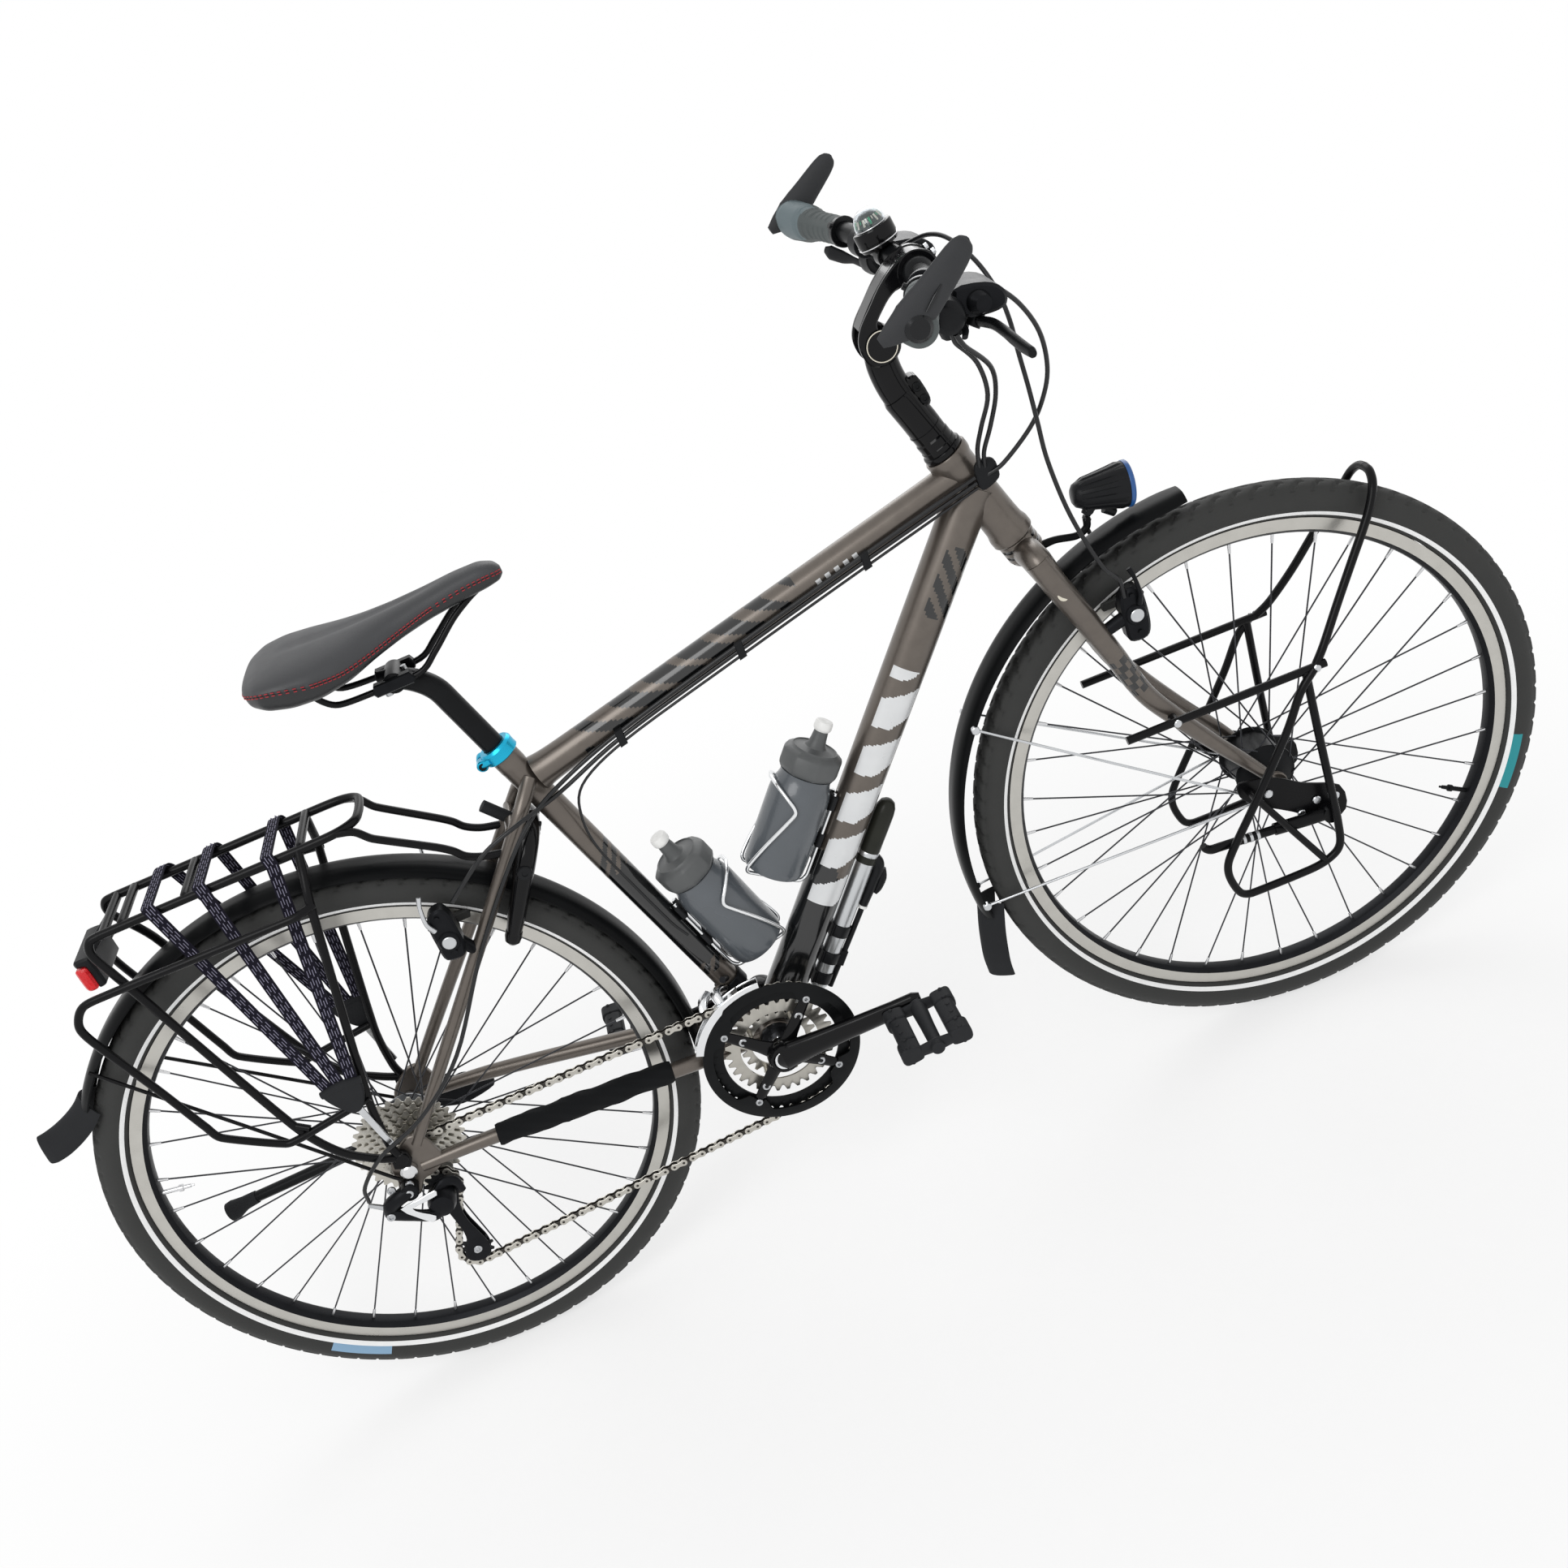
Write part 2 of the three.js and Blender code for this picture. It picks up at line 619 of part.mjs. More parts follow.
function loft(rows) {
  const count = rows[0].length;
  const positions = [];
  const push = (...points) => points.forEach((p) => positions.push(p.x, p.y, p.z));
  for (let i = 0; i < rows.length - 1; i += 1) {
    for (let j = 0; j < count; j += 1) {
      const k = (j + 1) % count;
      push(rows[i][j], rows[i][k], rows[i + 1][k]);
      push(rows[i][j], rows[i + 1][k], rows[i + 1][j]);
    }
  }
  const close = (row, turn) => {
    const middle = row.reduce((sum, p) => sum.add(p), vec(0, 0, 0)).divideScalar(count);
    for (let j = 0; j < count; j += 1) {
      const k = (j + 1) % count;
      if (turn) push(middle, row[k], row[j]);
      else push(middle, row[j], row[k]);
    }
  };
  close(rows[0], true);
  close(rows[rows.length - 1], false);
  const geometry = new THREE.BufferGeometry();
  geometry.setAttribute('position', new THREE.Float32BufferAttribute(positions, 3));
  const body = solid(geometry);
  if (body.volume() > 0) return body;
  for (let i = 0; i < positions.length; i += 9) {
    for (let j = 0; j < 3; j += 1) {
      [positions[i + j], positions[i + 6 + j]] = [positions[i + 6 + j], positions[i + j]];
    }
  }
  geometry.setAttribute('position', new THREE.Float32BufferAttribute(positions, 3));
  return solid(geometry);
}
const saddleRows = saddleSectionShares.map(([x, half, top, bottom]) => {
  const low = bottom - railSeat.z / saddleLength;
  const ring = [];
  const point = ([across, rise], side) => vec(
    railSeat.x + x * saddleLength,
    side * across * half * saddleLength,
    railSeat.z + (low + (top - low) * rise) * saddleLength,
  );
  crownShares.forEach((share) => ring.push(point(share, 1)));
  crownShares.slice(1, -1).reverse().forEach((share) => ring.push(point(share, -1)));
  return ring;
});
add('saddle', loft(saddleRows).subtract(railRoom), 0x232325, 0.6, 0);

// Neoprene sleeve round the right chainstay.
const sleeveWall = 4;
const sleeveShares = [
  [-0.2267, 0.087, 0.0425],
  [-0.7186, 0.1336, 0.1134],
];
const [sleeveFront, sleeveBack] = mirrored(place(crankCentre, seatTubeLength, sleeveShares), -1);
const sleeveStart = mix(sleeveFront, sleeveBack, 0.12);
const sleeveEnd = mix(sleeveFront, sleeveBack, 0.93);
let sleeve = bar(sleeveStart, sleeveEnd, chainstayRadius + sleeveWall, 12);
sleeve = sleeve.subtract(bar(mix(sleeveStart, sleeveEnd, -0.1), mix(sleeveStart, sleeveEnd, 1.1),
  chainstayRadius + fitGap * 2, 16));
add('chainstay_sleeve', sleeve, 0x17181a, 0.9, 0);

// Cassette: cogs stepping down to the outside, on the freehub body.
const freehubInner = -rearFlangeRight - flangeThickness - fitGap;
const cassetteProfile = [
  [axleBoreRadius, freehubInner], [axleBoreRadius, -freehubEnd], [freehubRadius, -freehubEnd],
  [freehubRadius, -cassetteOuterFace],
];
for (let i = 0; i < cogCount; i += 1) {
  const face = -cassetteOuterFace + i * cogPitch;
  const share = i / (cogCount - 1);
  const radius = smallCogPitchRadius - chainInset + (largestCogRadius - smallCogPitchRadius + chainInset) * share;
  cassetteProfile.push([radius, face], [radius, face + cogPitch * (i < cogCount - 1 ? 1 : 0.5)]);
}
const cassetteInner = -cassetteOuterFace + (cogCount - 0.5) * cogPitch;
cassetteProfile.push([freehubRadius, cassetteInner], [freehubRadius, freehubInner], cassetteProfile[0]);
add('cassette', turned(rearAxle, left, cassetteProfile, 16), 0xc9c6b8, 0.35, 0.9);

// Crankset: the right arm with its spindle, the rings with their guard, and the left arm.
const crankAxis = vec(Math.cos(crankTilt), 0, Math.sin(crankTilt));
const rightEye = vec(crankCentre.x, -crankFace,
  crankCentre.z).add(crankAxis.clone().multiplyScalar(crankLength));
rightEye.y -= crankFlare;
const leftEye = vec(crankCentre.x, crankFace,
  crankCentre.z).sub(crankAxis.clone().multiplyScalar(crankLength));
leftEye.y += crankFlare;
const armInner = cupOuter + runningGap;
function crankArm(side, eye) {
  const outer = side * (crankFace + crankArmRadius * 0.5);
  const root = vec(crankCentre.x, side * crankFace, crankCentre.z);
  const arm = bar(root, eye, crankArmRadius * 0.8, 8, crankEndRadius * 0.6);
  const hub = bar(vec(crankCentre.x, side * armInner, crankCentre.z), vec(crankCentre.x, outer,
    crankCentre.z),
    crankArmRadius * 1.5, 14);
  const tip = bar(vec(eye.x, eye.y - side * crankArmRadius * 0.55, eye.z),
    vec(eye.x, eye.y + side * crankArmRadius * 0.55, eye.z), crankEndRadius * 1.3, 12);
  return join(arm, hub, tip);
}
const spindleEnd = crankFace - fitGap;
const ringOuterFace = chainLine + ringThickness / 2;
const spiderFace = -(ringOuterFace + fitGap);
const spiderDepth = guardThickness;
const spindle = bar(vec(crankCentre.x, -crankFace, crankCentre.z), vec(crankCentre.x, spindleEnd,
  crankCentre.z),
  spindleRadius, 14);
const spiderArms = [];
for (let i = 0; i < 4; i += 1) {
  const angle = crankTilt + (i + 0.5) * Math.PI / 2;
  const tip = vec(crankCentre.x + spiderBoltCircle * Math.cos(angle), 0,
    crankCentre.z + spiderBoltCircle * Math.sin(angle));
  const root = vec(crankCentre.x, 0, crankCentre.z);
  const from = vec(root.x, spiderFace - spiderDepth / 2, root.z);
  const to = vec(tip.x, spiderFace - spiderDepth / 2, tip.z);
  const arm = bar(from, to, spiderDepth / 2, 8);
  spiderArms.push(arm, bar(vec(tip.x, spiderFace, tip.z), vec(tip.x, spiderFace - spiderDepth, tip.z),
    spiderArmRadius, 10));
}
add('crank_right', join(crankArm(-1, rightEye), spindle, spiderArms), 0x151516, 0.2, 0.6);
let crankLeft = crankArm(1, leftEye);
crankLeft = crankLeft.subtract(bar(vec(crankCentre.x, armInner - cutOverrun, crankCentre.z),
  vec(crankCentre.x, spindleEnd + fitGap, crankCentre.z), spindleRadius + fitGap, 14));
add('crank_left', crankLeft, 0x151516, 0.2, 0.6);

const outerRingRadius = largeRingPitchRadius - chainInset;
const outerFace = -ringOuterFace;
const middleFace = outerFace + ringSpacing;
const innerFace = middleFace + ringSpacing;
const carrierRadius = ringBoreRadius + spiderArmRadius;
const innerBore = innerRingRadius - ringThickness * 4;
const ringProfile = [
  [ringBoreRadius, outerFace], [outerRingRadius, outerFace], [outerRingRadius, outerFace + ringThickness],
  [carrierRadius, outerFace + ringThickness], [carrierRadius, middleFace], [middleRingRadius, middleFace],
  [middleRingRadius, middleFace + ringThickness], [innerRingRadius, middleFace + ringThickness],
  [innerRingRadius, innerFace + ringThickness], [innerBore, innerFace + ringThickness],
  [innerBore, middleFace], [ringBoreRadius, middleFace], [ringBoreRadius, outerFace],
];
const ringBody = turned(crankCentre, left, ringProfile, 24);
add('chainrings', ringBody, 0xb4b5b6, 0.3, 0.9);
const guardFace = -(chainLine + chainHalfWidth + runningGap);
const guardRing = turned(crankCentre, left, [
  [guardInnerRadius * 0.86, guardFace], [guardRadius, guardFace], [guardRadius,
    guardFace - guardThickness],
  [guardInnerRadius * 0.86, guardFace - guardThickness], [guardInnerRadius * 0.86, guardFace],
], 26);
const guardTabs = [];
for (let i = 0; i < 4; i += 1) {
  const angle = crankTilt + (i + 0.5) * Math.PI / 2;
  const at = (radius, y) => vec(crankCentre.x + radius * Math.cos(angle), y,
    crankCentre.z + radius * Math.sin(angle));
  const y = guardFace - guardThickness / 2;
  guardTabs.push(bar(at(guardInnerRadius * 0.9, y), at(spiderBoltCircle + spiderArmRadius + fitGap * 2,
    y),
    guardThickness / 2, 6));
  guardTabs.push(bar(at(guardInnerRadius * 0.8, guardFace - guardThickness / 4),
    at(guardInnerRadius * 0.8, -ringOuterFace - fitGap), guardThickness, 8));
}
add('chain_guard', join(guardRing, guardTabs), 0x131314, 0.25, 0.3);

// Pedals: a cage body round the axle.
for (const [side, eye, name] of [[-1, rightEye, 'pedal_right'], [1, leftEye, 'pedal_left']]) {
  const start = eye.y + side * (crankArmRadius * 0.55 + fitGap);
  const end = start + side * pedalLength;
  const bodyStart = start + side * pedalBarWidth;
  const axle = bar(vec(eye.x, start, eye.z), vec(eye.x, end, eye.z), pedalAxleRadius, 10);
  const parts = [axle];
  for (const way of sides) {
    parts.push(block(vec(eye.x + way * (pedalHalfWidth - pedalBarWidth / 2), (bodyStart + end) / 2,
      eye.z),
      pedalBarWidth, pedalLength - pedalBarWidth, pedalThickness));
  }
  for (const at of [bodyStart + side * pedalBarWidth / 2, end - side * pedalBarWidth / 2]) {
    parts.push(block(vec(eye.x, at, eye.z), pedalHalfWidth * 2 - pedalBarWidth, pedalBarWidth,
      pedalThickness * 0.8));
  }
  parts.push(block(vec(eye.x, (bodyStart + end) / 2, eye.z), pedalBarWidth * 1.6,
    pedalLength - pedalBarWidth,
    pedalThickness * 0.8));
  add(name, join(parts), 0x2b2c2e, 0.6, 0.2);
}

// Chain: one closed band through the large ring, the smallest cog and both pulleys.
const guidePulleyCentre = vec(rearAxle.x + guideReach[0], 0, rearAxle.z + guideReach[1]);
const tensionPulleyCentre = vec(rearAxle.x + tensionReach[0], 0, rearAxle.z + tensionReach[1]);
function wrap(centre, radius, fromDegrees, toDegrees, steps) {
  return Array.from({ length: steps + 1 }, (_, i) => {
    const angle = (fromDegrees + (toDegrees - fromDegrees) * i / steps) * Math.PI / 180;
    return vec(centre.x + radius * Math.cos(angle), 0, centre.z + radius * Math.sin(angle));
  });
}
function chainLoop(offset) {
  return [
    ...wrap(crankCentre, largeRingPitchRadius + offset, -84, 91, 18),
    ...wrap(rearAxle, smallCogPitchRadius + offset, 91, 170, 5),
    ...wrap(rearAxle, smallCogPitchRadius + offset, 185, 240, 4),
    ...wrap(guidePulleyCentre, pulleyPitchRadius - offset, 62, 10, 3),
    ...wrap(guidePulleyCentre, pulleyPitchRadius - offset, -5, -20, 1),
    ...wrap(tensionPulleyCentre, pulleyPitchRadius + offset, 148, 276, 7),
  ];
}
const chainBody = plate(chainLoop(chainThickness / 2), -chainLine - chainHalfWidth,
  -chainLine + chainHalfWidth,
  [chainLoop(-chainThickness / 2)]);
add('chain', chainBody, 0xcfcab8, 0.35, 0.8);

// Derailleurs
const pulleyBody = (centre) => turned(vec(centre.x, -chainLine, centre.z), left, [
  [pedalAxleRadius / 2 + fitGap, -chainHalfWidth * 0.8], [pulleyPitchRadius - chainInset,
    -chainHalfWidth * 0.6],
  [pulleyPitchRadius - chainInset, chainHalfWidth * 0.6], [pedalAxleRadius / 2 + fitGap,
    chainHalfWidth * 0.8],
  [pedalAxleRadius / 2 + fitGap, -chainHalfWidth * 0.8],
], 14);
add('guide_pulley', pulleyBody(guidePulleyCentre), 0x202122, 0.6, 0);
add('tension_pulley', pulleyBody(tensionPulleyCentre), 0x202122, 0.6, 0);
const cagePlateThickness = 2.2;
const cageGap = chainHalfWidth + runningGap;
const cageOutline = (spread) => [
  ...wrap(guidePulleyCentre, spread, 60, 160, 3), ...wrap(tensionPulleyCentre, spread, 190, 330, 5),
];
const cageParts = [];
for (const side of sides) {
  const face = -chainLine + side * cageGap;
  cageParts.push(plate(cageOutline(pulleyPitchRadius * 0.55), face, face + side * cagePlateThickness));
}
for (const centre of [guidePulleyCentre, tensionPulleyCentre]) {
  cageParts.push(bar(vec(centre.x, -chainLine - cageGap - cagePlateThickness / 2, centre.z),
    vec(centre.x, -chainLine + cageGap + cagePlateThickness / 2, centre.z), pedalAxleRadius / 2, 8));
}
add('rear_derailleur_cage', join(cageParts), 0x1d1e20, 0.4, 0.5);

const derailleurShares = [
  [-0.1037, -0.6222, -0.2222],
  [-0.2963, -0.637, -0.2815],
  [0.0148, -0.6519, -0.4889],
  [0.1185, -0.6222, -0.3852],
];
const [hangerBolt, upperKnuckle, linkEnd, cagePivot] = place(rearAxle, rearSpacing, derailleurShares);
const knuckleRadius = 10;
const linkRadius = 8;
const cageOuterFace = -chainLine - cageGap - cagePlateThickness - fitGap;
add('rear_derailleur_body', join(
  bar(vec(hangerBolt.x, -dropoutOuter - fitGap, hangerBolt.z), vec(hangerBolt.x,
    hangerBolt.y - knuckleRadius,
    hangerBolt.z), knuckleRadius, 10),
  bar(hangerBolt, upperKnuckle, linkRadius, 8),
  bar(upperKnuckle, linkEnd, linkRadius, 8),
  bar(linkEnd, vec(cagePivot.x, cagePivot.y, cagePivot.z), linkRadius, 8),
  bar(vec(cagePivot.x, cageOuterFace, cagePivot.z), vec(cagePivot.x, cagePivot.y - knuckleRadius,
    cagePivot.z),
    knuckleRadius * 1.3, 12),
), 0x2a2b2d, 0.3, 0.6);

const deraGap = chainHalfWidth + runningGap * 1.6;
const deraWall = 2;
const deraOutline = [
  ...wrap(crankCentre, guardRadius + cutOverrun * 2.2, 156, 88, 6),
  ...wrap(crankCentre, guardRadius + runningGap, 88, 156, 6),
];
const deraParts = [];
for (const side of sides) {
  const face = -chainLine + side * deraGap;
  deraParts.push(plate(deraOutline, face, face + side * deraWall));
}
const bridgeAt = wrap(crankCentre, guardRadius + cutOverrun * 1.4, 92, 152, 1);
for (const point of bridgeAt) {
  deraParts.push(bar(vec(point.x, -chainLine - deraGap - deraWall / 2, point.z),
    vec(point.x, -chainLine + deraGap + deraWall / 2, point.z), deraWall, 6));
}
const clampAt = crankCentre.clone().add(seatDirection.clone().multiplyScalar(seatTubeLength * 0.17));
const bandHalf = 9;
const bandWall = 3;
const bandStart = clampAt.clone().sub(seatDirection.clone().multiplyScalar(bandHalf));
const bandEnd = clampAt.clone().add(seatDirection.clone().multiplyScalar(bandHalf));
const bandCut = bar(bandStart.clone().sub(seatDirection.clone().multiplyScalar(cutOverrun * 12)),
  bandEnd.clone().add(seatDirection.clone().multiplyScalar(cutOverrun * 12)), seatTubeRadius + fitGap,
    12);
const deraArm = tube([clampAt.clone().add(vec(0, -seatTubeRadius - bandWall, 0)),
  vec(clampAt.x, -chainLine + deraGap + deraWall * 2, clampAt.z + bandHalf),
  vec(bridgeAt[0].x, -chainLine + deraGap + deraWall * 2, bridgeAt[0].z - bandHalf * 0.25)],
    bandHalf * 0.5, 8);
add('front_derailleur', join(bar(bandStart, bandEnd, seatTubeRadius + fitGap + bandWall, 12), deraArm,
  deraParts)
  .subtract(bandCut), 0xa8aaac, 0.25, 0.9);

// Mudguards: an arched strip round each wheel, on wire stays.
function arch(centre, radius, fromDegrees, toDegrees, steps) {
  const points = wrap(centre, radius, fromDegrees, toDegrees, steps);
  const half = mudguardHalfWidth;
  const outline = [
    [-half, 4 * guardWall], [-half * 0.6, 0], [half * 0.6, 0], [half, 4 * guardWall],
    [half - guardWall * 1.4, 4 * guardWall], [half * 0.56, guardWall], [-half * 0.56, guardWall],
    [-half + guardWall * 1.4, 4 * guardWall],
  ];
  const rows = points.map((p) => {
    const inward = centre.clone().sub(p);
    inward.y = 0;
    inward.normalize();
    return outline.map(([across, depth]) => vec(p.x + inward.x * depth, across, p.z + inward.z * depth));
  });
  return loft(rows);
}
const flapWall = 3;
function flap(from, to, halfWidth) {
  const along = to.clone().sub(from).normalize();
  const out = vec(along.z, 0, -along.x).multiplyScalar(flapWall / 2);
  const corners = [from.clone().add(out), to.clone().add(out), to.clone().sub(out),
    from.clone().sub(out)];
  return plate(corners, -halfWidth, halfWidth);
}
const rearFlapShares = [
  [-0.8118, 0, 0.5511],
  [-0.8925, 0, 0.4409],
  [-0.9409, 0, 0.3333],
];
const rearFlap = place(rearAxle, rearGuardRadius, rearFlapShares);
const bridgeDistance = Math.hypot(stayBridge.x - rearAxle.x, stayBridge.z - rearAxle.z);
const bridgeWay = stayBridge.clone().sub(rearAxle).normalize();
const bossStart = rearAxle.clone().add(bridgeWay.clone().multiplyScalar(rearGuardRadius - guardWall / 2));
const bossEnd = rearAxle.clone().add(bridgeWay.clone().multiplyScalar(bridgeDistance - bridgeRadius - fitGap));
const rearStayShares = [
  [-0.6935, 0.0726, 0.6935],
  [-0.0323, 0.2151, -0.0161],
];
const rearGuardParts = [
  arch(rearAxle, rearGuardRadius, -8, 147, 22),
  flap(rearFlap[0], rearFlap[1], mudguardHalfWidth * 0.9), flap(rearFlap[1], rearFlap[2],
    mudguardHalfWidth),
  bar(bossStart, bossEnd, bridgeRadius, 8),
];
add('rear_mudguard', join(rearGuardParts), 0x1a1b1c, 0.5, 0.1);

const frontGuardCentre = frontAxle.clone().add(vec(-frontGuardSetback, 0, frontGuardRise));
const frontFlapShares = [
  [-0.9814, 0, -0.1379],
  [-1.0106, 0, -0.3024],
  [-0.9947, 0, -0.4244],
];
const frontFlap = place(frontGuardCentre, frontGuardRadius, frontFlapShares);
const frontStayShares = [
  [-0.8196, 0.065, 0.5279],
  [-0.0424, 0.1638, -0.0371],
  [-0.9655, 0.065, -0.1061],
  [-0.3024, 0, 1.0223],
  [-0.313, 0, 0.9841],
  [-0.4085, 0, 0.992],
  [-0.3899, 0, 0.9231],
];
const frontStay = place(frontGuardCentre, frontGuardRadius, frontStayShares);
const lampBracketWidth = 8;
const lampBracketEnd = alongSteerer(axleToCrown).add(vec(crownRadius * 1.2, 0, 0));
const crownRoom = bar(alongSteerer(axleToCrown - crownRadius * 2),
  alongSteerer(axleToCrown + crownToHeadTube),
  headTubeRadius + fitGap, 16);
const frontGuardParts = [
  arch(frontGuardCentre, frontGuardRadius, 91, 190, 15),
  flap(frontFlap[0], frontFlap[1], mudguardHalfWidth * 0.9), flap(frontFlap[1], frontFlap[2],
    mudguardHalfWidth),
];
for (const side of sides) {
  const [upperClip, eyelet, lowerClip] = mirrored(frontStay.slice(0, 3), side);
  frontGuardParts.push(bar(upperClip, eyelet, stayRadius, 5));
  frontGuardParts.push(bar(lowerClip, vec(eyelet.x, eyelet.y, eyelet.z - stayRadius), stayRadius, 5));
}
frontGuardParts.push(tube([frontStay[3], frontStay[4], frontStay[6], lampBracketEnd],
  lampBracketWidth / 2, 6));
add('front_mudguard', join(frontGuardParts).subtract(crownRoom), 0x1a1b1c, 0.5, 0.1, true);

// Fork: a crown on the steerer, two curved tapering blades and the dropouts.
function taperTube(points, radii, steps) {
  const rows = points.map((p, i) => {
    const before = points[Math.max(i - 1, 0)];
    const after = points[Math.min(i + 1, points.length - 1)];
    const along = after.clone().sub(before).normalize();
    const across = left.clone().sub(along.clone().multiplyScalar(along.dot(left))).normalize();
    const out = along.clone().cross(across);
    return ringOutline(radii[i], steps).map(([a, b]) => p.clone()
      .add(across.clone().multiplyScalar(a)).add(out.clone().multiplyScalar(b)));
  });
  return loft(rows);
}
const bladeShares = [
  [-0.465, 0.1308, 0.8972],
  [-0.4322, 0.1308, 0.8131],
  [-0.3481, 0.1308, 0.5911],
  [-0.2921, 0.1308, 0.4369],
  [-0.229, 0.1308, 0.3318],
  [-0.1449, 0.1297, 0.2103],
  [-0.0631, 0.1285, 0.1005],
  [-0.0234, 0.128, 0.0444],
];
const bladePoints = place(frontAxle, axleToCrown, bladeShares);
const bladeRadiusShares = [1, 1, 0.98, 0.95, 0.9, 0.82, 0.66, 0.56];
const crownAt = alongSteerer(axleToCrown);
const forkParts = [
  bar(vec(crownAt.x, -bladeSpread, crownAt.z), vec(crownAt.x, bladeSpread, crownAt.z), crownRadius, 12),
  bar(alongSteerer(axleToCrown - crownRadius), alongSteerer(axleToCrown + crownToHeadTube - fitGap),
    headTubeRadius * 0.9, 16, headTubeRadius),
  bar(alongSteerer(axleToCrown), alongSteerer(axleToCrown + steererLength), steererRadius, 14),
];
const bladeRooms = [];
for (const side of sides) {
  const points = mirrored(bladePoints, side);
  forkParts.push(taperTube(points, bladeRadiusShares.map((share) => share * bladeTopRadius), 8));
  bladeRooms.push(taperTube(points, bladeRadiusShares.map((share) => share * bladeTopRadius + fitGap),
    8));
  const inner = side * (frontSpacing / 2 + fitGap);
  forkParts.push(plate(disc(frontAxle, forkLugRadius, 14), inner, inner + side * forkDropoutThickness));
  forkParts.push(bar(vec(bladePoints[7].x, inner + side * forkDropoutThickness / 2, bladePoints[7].z),
    vec(frontAxle.x, inner + side * forkDropoutThickness / 2, frontAxle.z), forkDropoutThickness / 2, 8));
  forkParts.push(bar(vec(frontAxle.x, inner + side * forkDropoutThickness / 2, frontAxle.z),
    vec(frontAxle.x, inner + side * forkDropoutThickness * 1.9, frontAxle.z), axleRadius * 1.3, 10));
}
add('fork', join(forkParts), 0x6e6a62, 0.4, 0.6, true);

// Stem with its spacers, the adjustable forked arm and the bar with its grips.
const stemStart = axleToCrown + crownToHeadTube + headTubeLength + fitGap;
const stemBodyRadius = 18;
const stemHeight = 82;
const stemWallInset = 6;
const steererTop = axleToCrown + steererLength + fitGap;
const stemShares = [
  [-0.1387, 0, -0.4355],
  [-0.1742, 0, -0.2677],
  [-0.1839, 0, -0.1806],
];
const barCentre = frontAxle.clone();
const barSetback = 226;
barCentre.x -= barSetback;
barCentre.z = barRise;
const [neckFoot, neckTop, stemPivot] = place(barCentre, barHalfWidth, stemShares);
const tongueHalf = 13;
const armWall = 6.4;
let stem = turned(alongSteerer(stemStart), steerAxis, [
  [0, 0], [headTubeRadius, 0], [headTubeRadius, stemWallInset], [stemBodyRadius * 1.1, stemWallInset * 3],
  [stemBodyRadius, stemWallInset * 4], [stemBodyRadius, stemHeight], [0, stemHeight],
], 16);
stem = stem.subtract(bar(alongSteerer(stemStart - cutOverrun), alongSteerer(steererTop),
  steererRadius + fitGap, 14));
stem = join(stem, tube([neckFoot, neckTop, stemPivot], tongueHalf * 0.9, 10),
  bar(vec(stemPivot.x, -tongueHalf, stemPivot.z), vec(stemPivot.x, tongueHalf, stemPivot.z),
    stemPivotRadius * 0.94, 14));
add('stem', stem, 0x151516, 0.2, 0.5, true);

const armShares = [
  [-0.2226, 0, -0.2161],
  [-0.2419, 0, -0.1323],
  [-0.171, 0, -0.029],
  [-0.1, 0, 0.0323],
  [-0.0387, 0, 0.0677],
  [0.0323, 0, 0.0677],
  [0.071, 0, 0.0226],
  [0.0645, 0, -0.0387],
  [0.0065, 0, -0.071],
  [-0.0484, 0, -0.0774],
  [-0.1032, 0, -0.1258],
  [-0.1226, 0, -0.1968],
  [-0.1548, 0, -0.2355],
  [-0.1935, 0, -0.2387],
];
const armOutline = place(barCentre, barHalfWidth, armShares);
const armParts = sides.map((side) => plate(armOutline, side * (tongueHalf + fitGap),
  side * (tongueHalf + fitGap + armWall)));
const clampHalf = tongueHalf + armWall;
armParts.push(bar(vec(barCentre.x, -clampHalf, barCentre.z), vec(barCentre.x, clampHalf, barCentre.z),
  stemPivotRadius * 1.2, 14));
let stemArm = join(armParts);
stemArm = stemArm.subtract(bar(vec(barCentre.x, -clampHalf - cutOverrun, barCentre.z),
  vec(barCentre.x, clampHalf + cutOverrun, barCentre.z), barCentreRadius + fitGap, 14));
add('stem_arm', stemArm, 0x151516, 0.2, 0.5, true);

const barShares = [
  [-0.2032, 1, 0.0742],
  [-0.0871, 0.5484, 0.0581],
  [-0.0387, 0.3548, 0.029],
  [-0.0065, 0.1935, 0.0032],
  [0, 0.0839, 0],
];
const barSide = place(barCentre, barHalfWidth, barShares);
const barPath = [...mirrored(barSide, -1), ...barSide.slice().reverse()];
const barRoom = tube(barPath, barRadius + fitGap, 8, barRadius * 2, 2);
const handlebar = join(
  tube(barPath, barRadius, 8, barRadius * 2, 2),
  bar(vec(barCentre.x, -clampHalf * 1.4, barCentre.z), vec(barCentre.x, clampHalf * 1.4, barCentre.z),
    barCentreRadius, 14),
);
add('handlebar', handlebar, 0x1b1b1c, 0.4, 0.5, true);

const hornShares = [
  [-0.1774, 0.9548, 0.0774],
  [-0.1194, 0.9806, 0.1516],
  [-0.0548, 0.9839, 0.2129],
  [0.0258, 0.9645, 0.2548],
];
const ringHalf = 8;
const masterShares = [
  [0.0194, 0.3806, -0.0129],
  [0.0677, 0.5419, -0.0387],
  [0.0935, 0.4839, -0.0452],
  [-0.0226, 0.4774, -0.0387],
  [-0.0387, 0.5613, -0.0419],
  [-0.029, 0.271, 0.0613],
  [-0.0387, 0.271, 0.1484],
];
const masterRadius = 12;
const podRadius = 14;
const leverDirectionShares = [-0.66, 0, -0.75];
const leverAxis = vec(...leverDirectionShares).normalize();
const leverPivotLength = 18;
const leverRootLength = 9;
const leverRadius = 7;
const leverTipShares = [
  [0.0806, 0.5871, -0.1032],
  [0.0935, 0.7161, -0.1258],
  [0.1097, 0.8258, -0.1516],
];
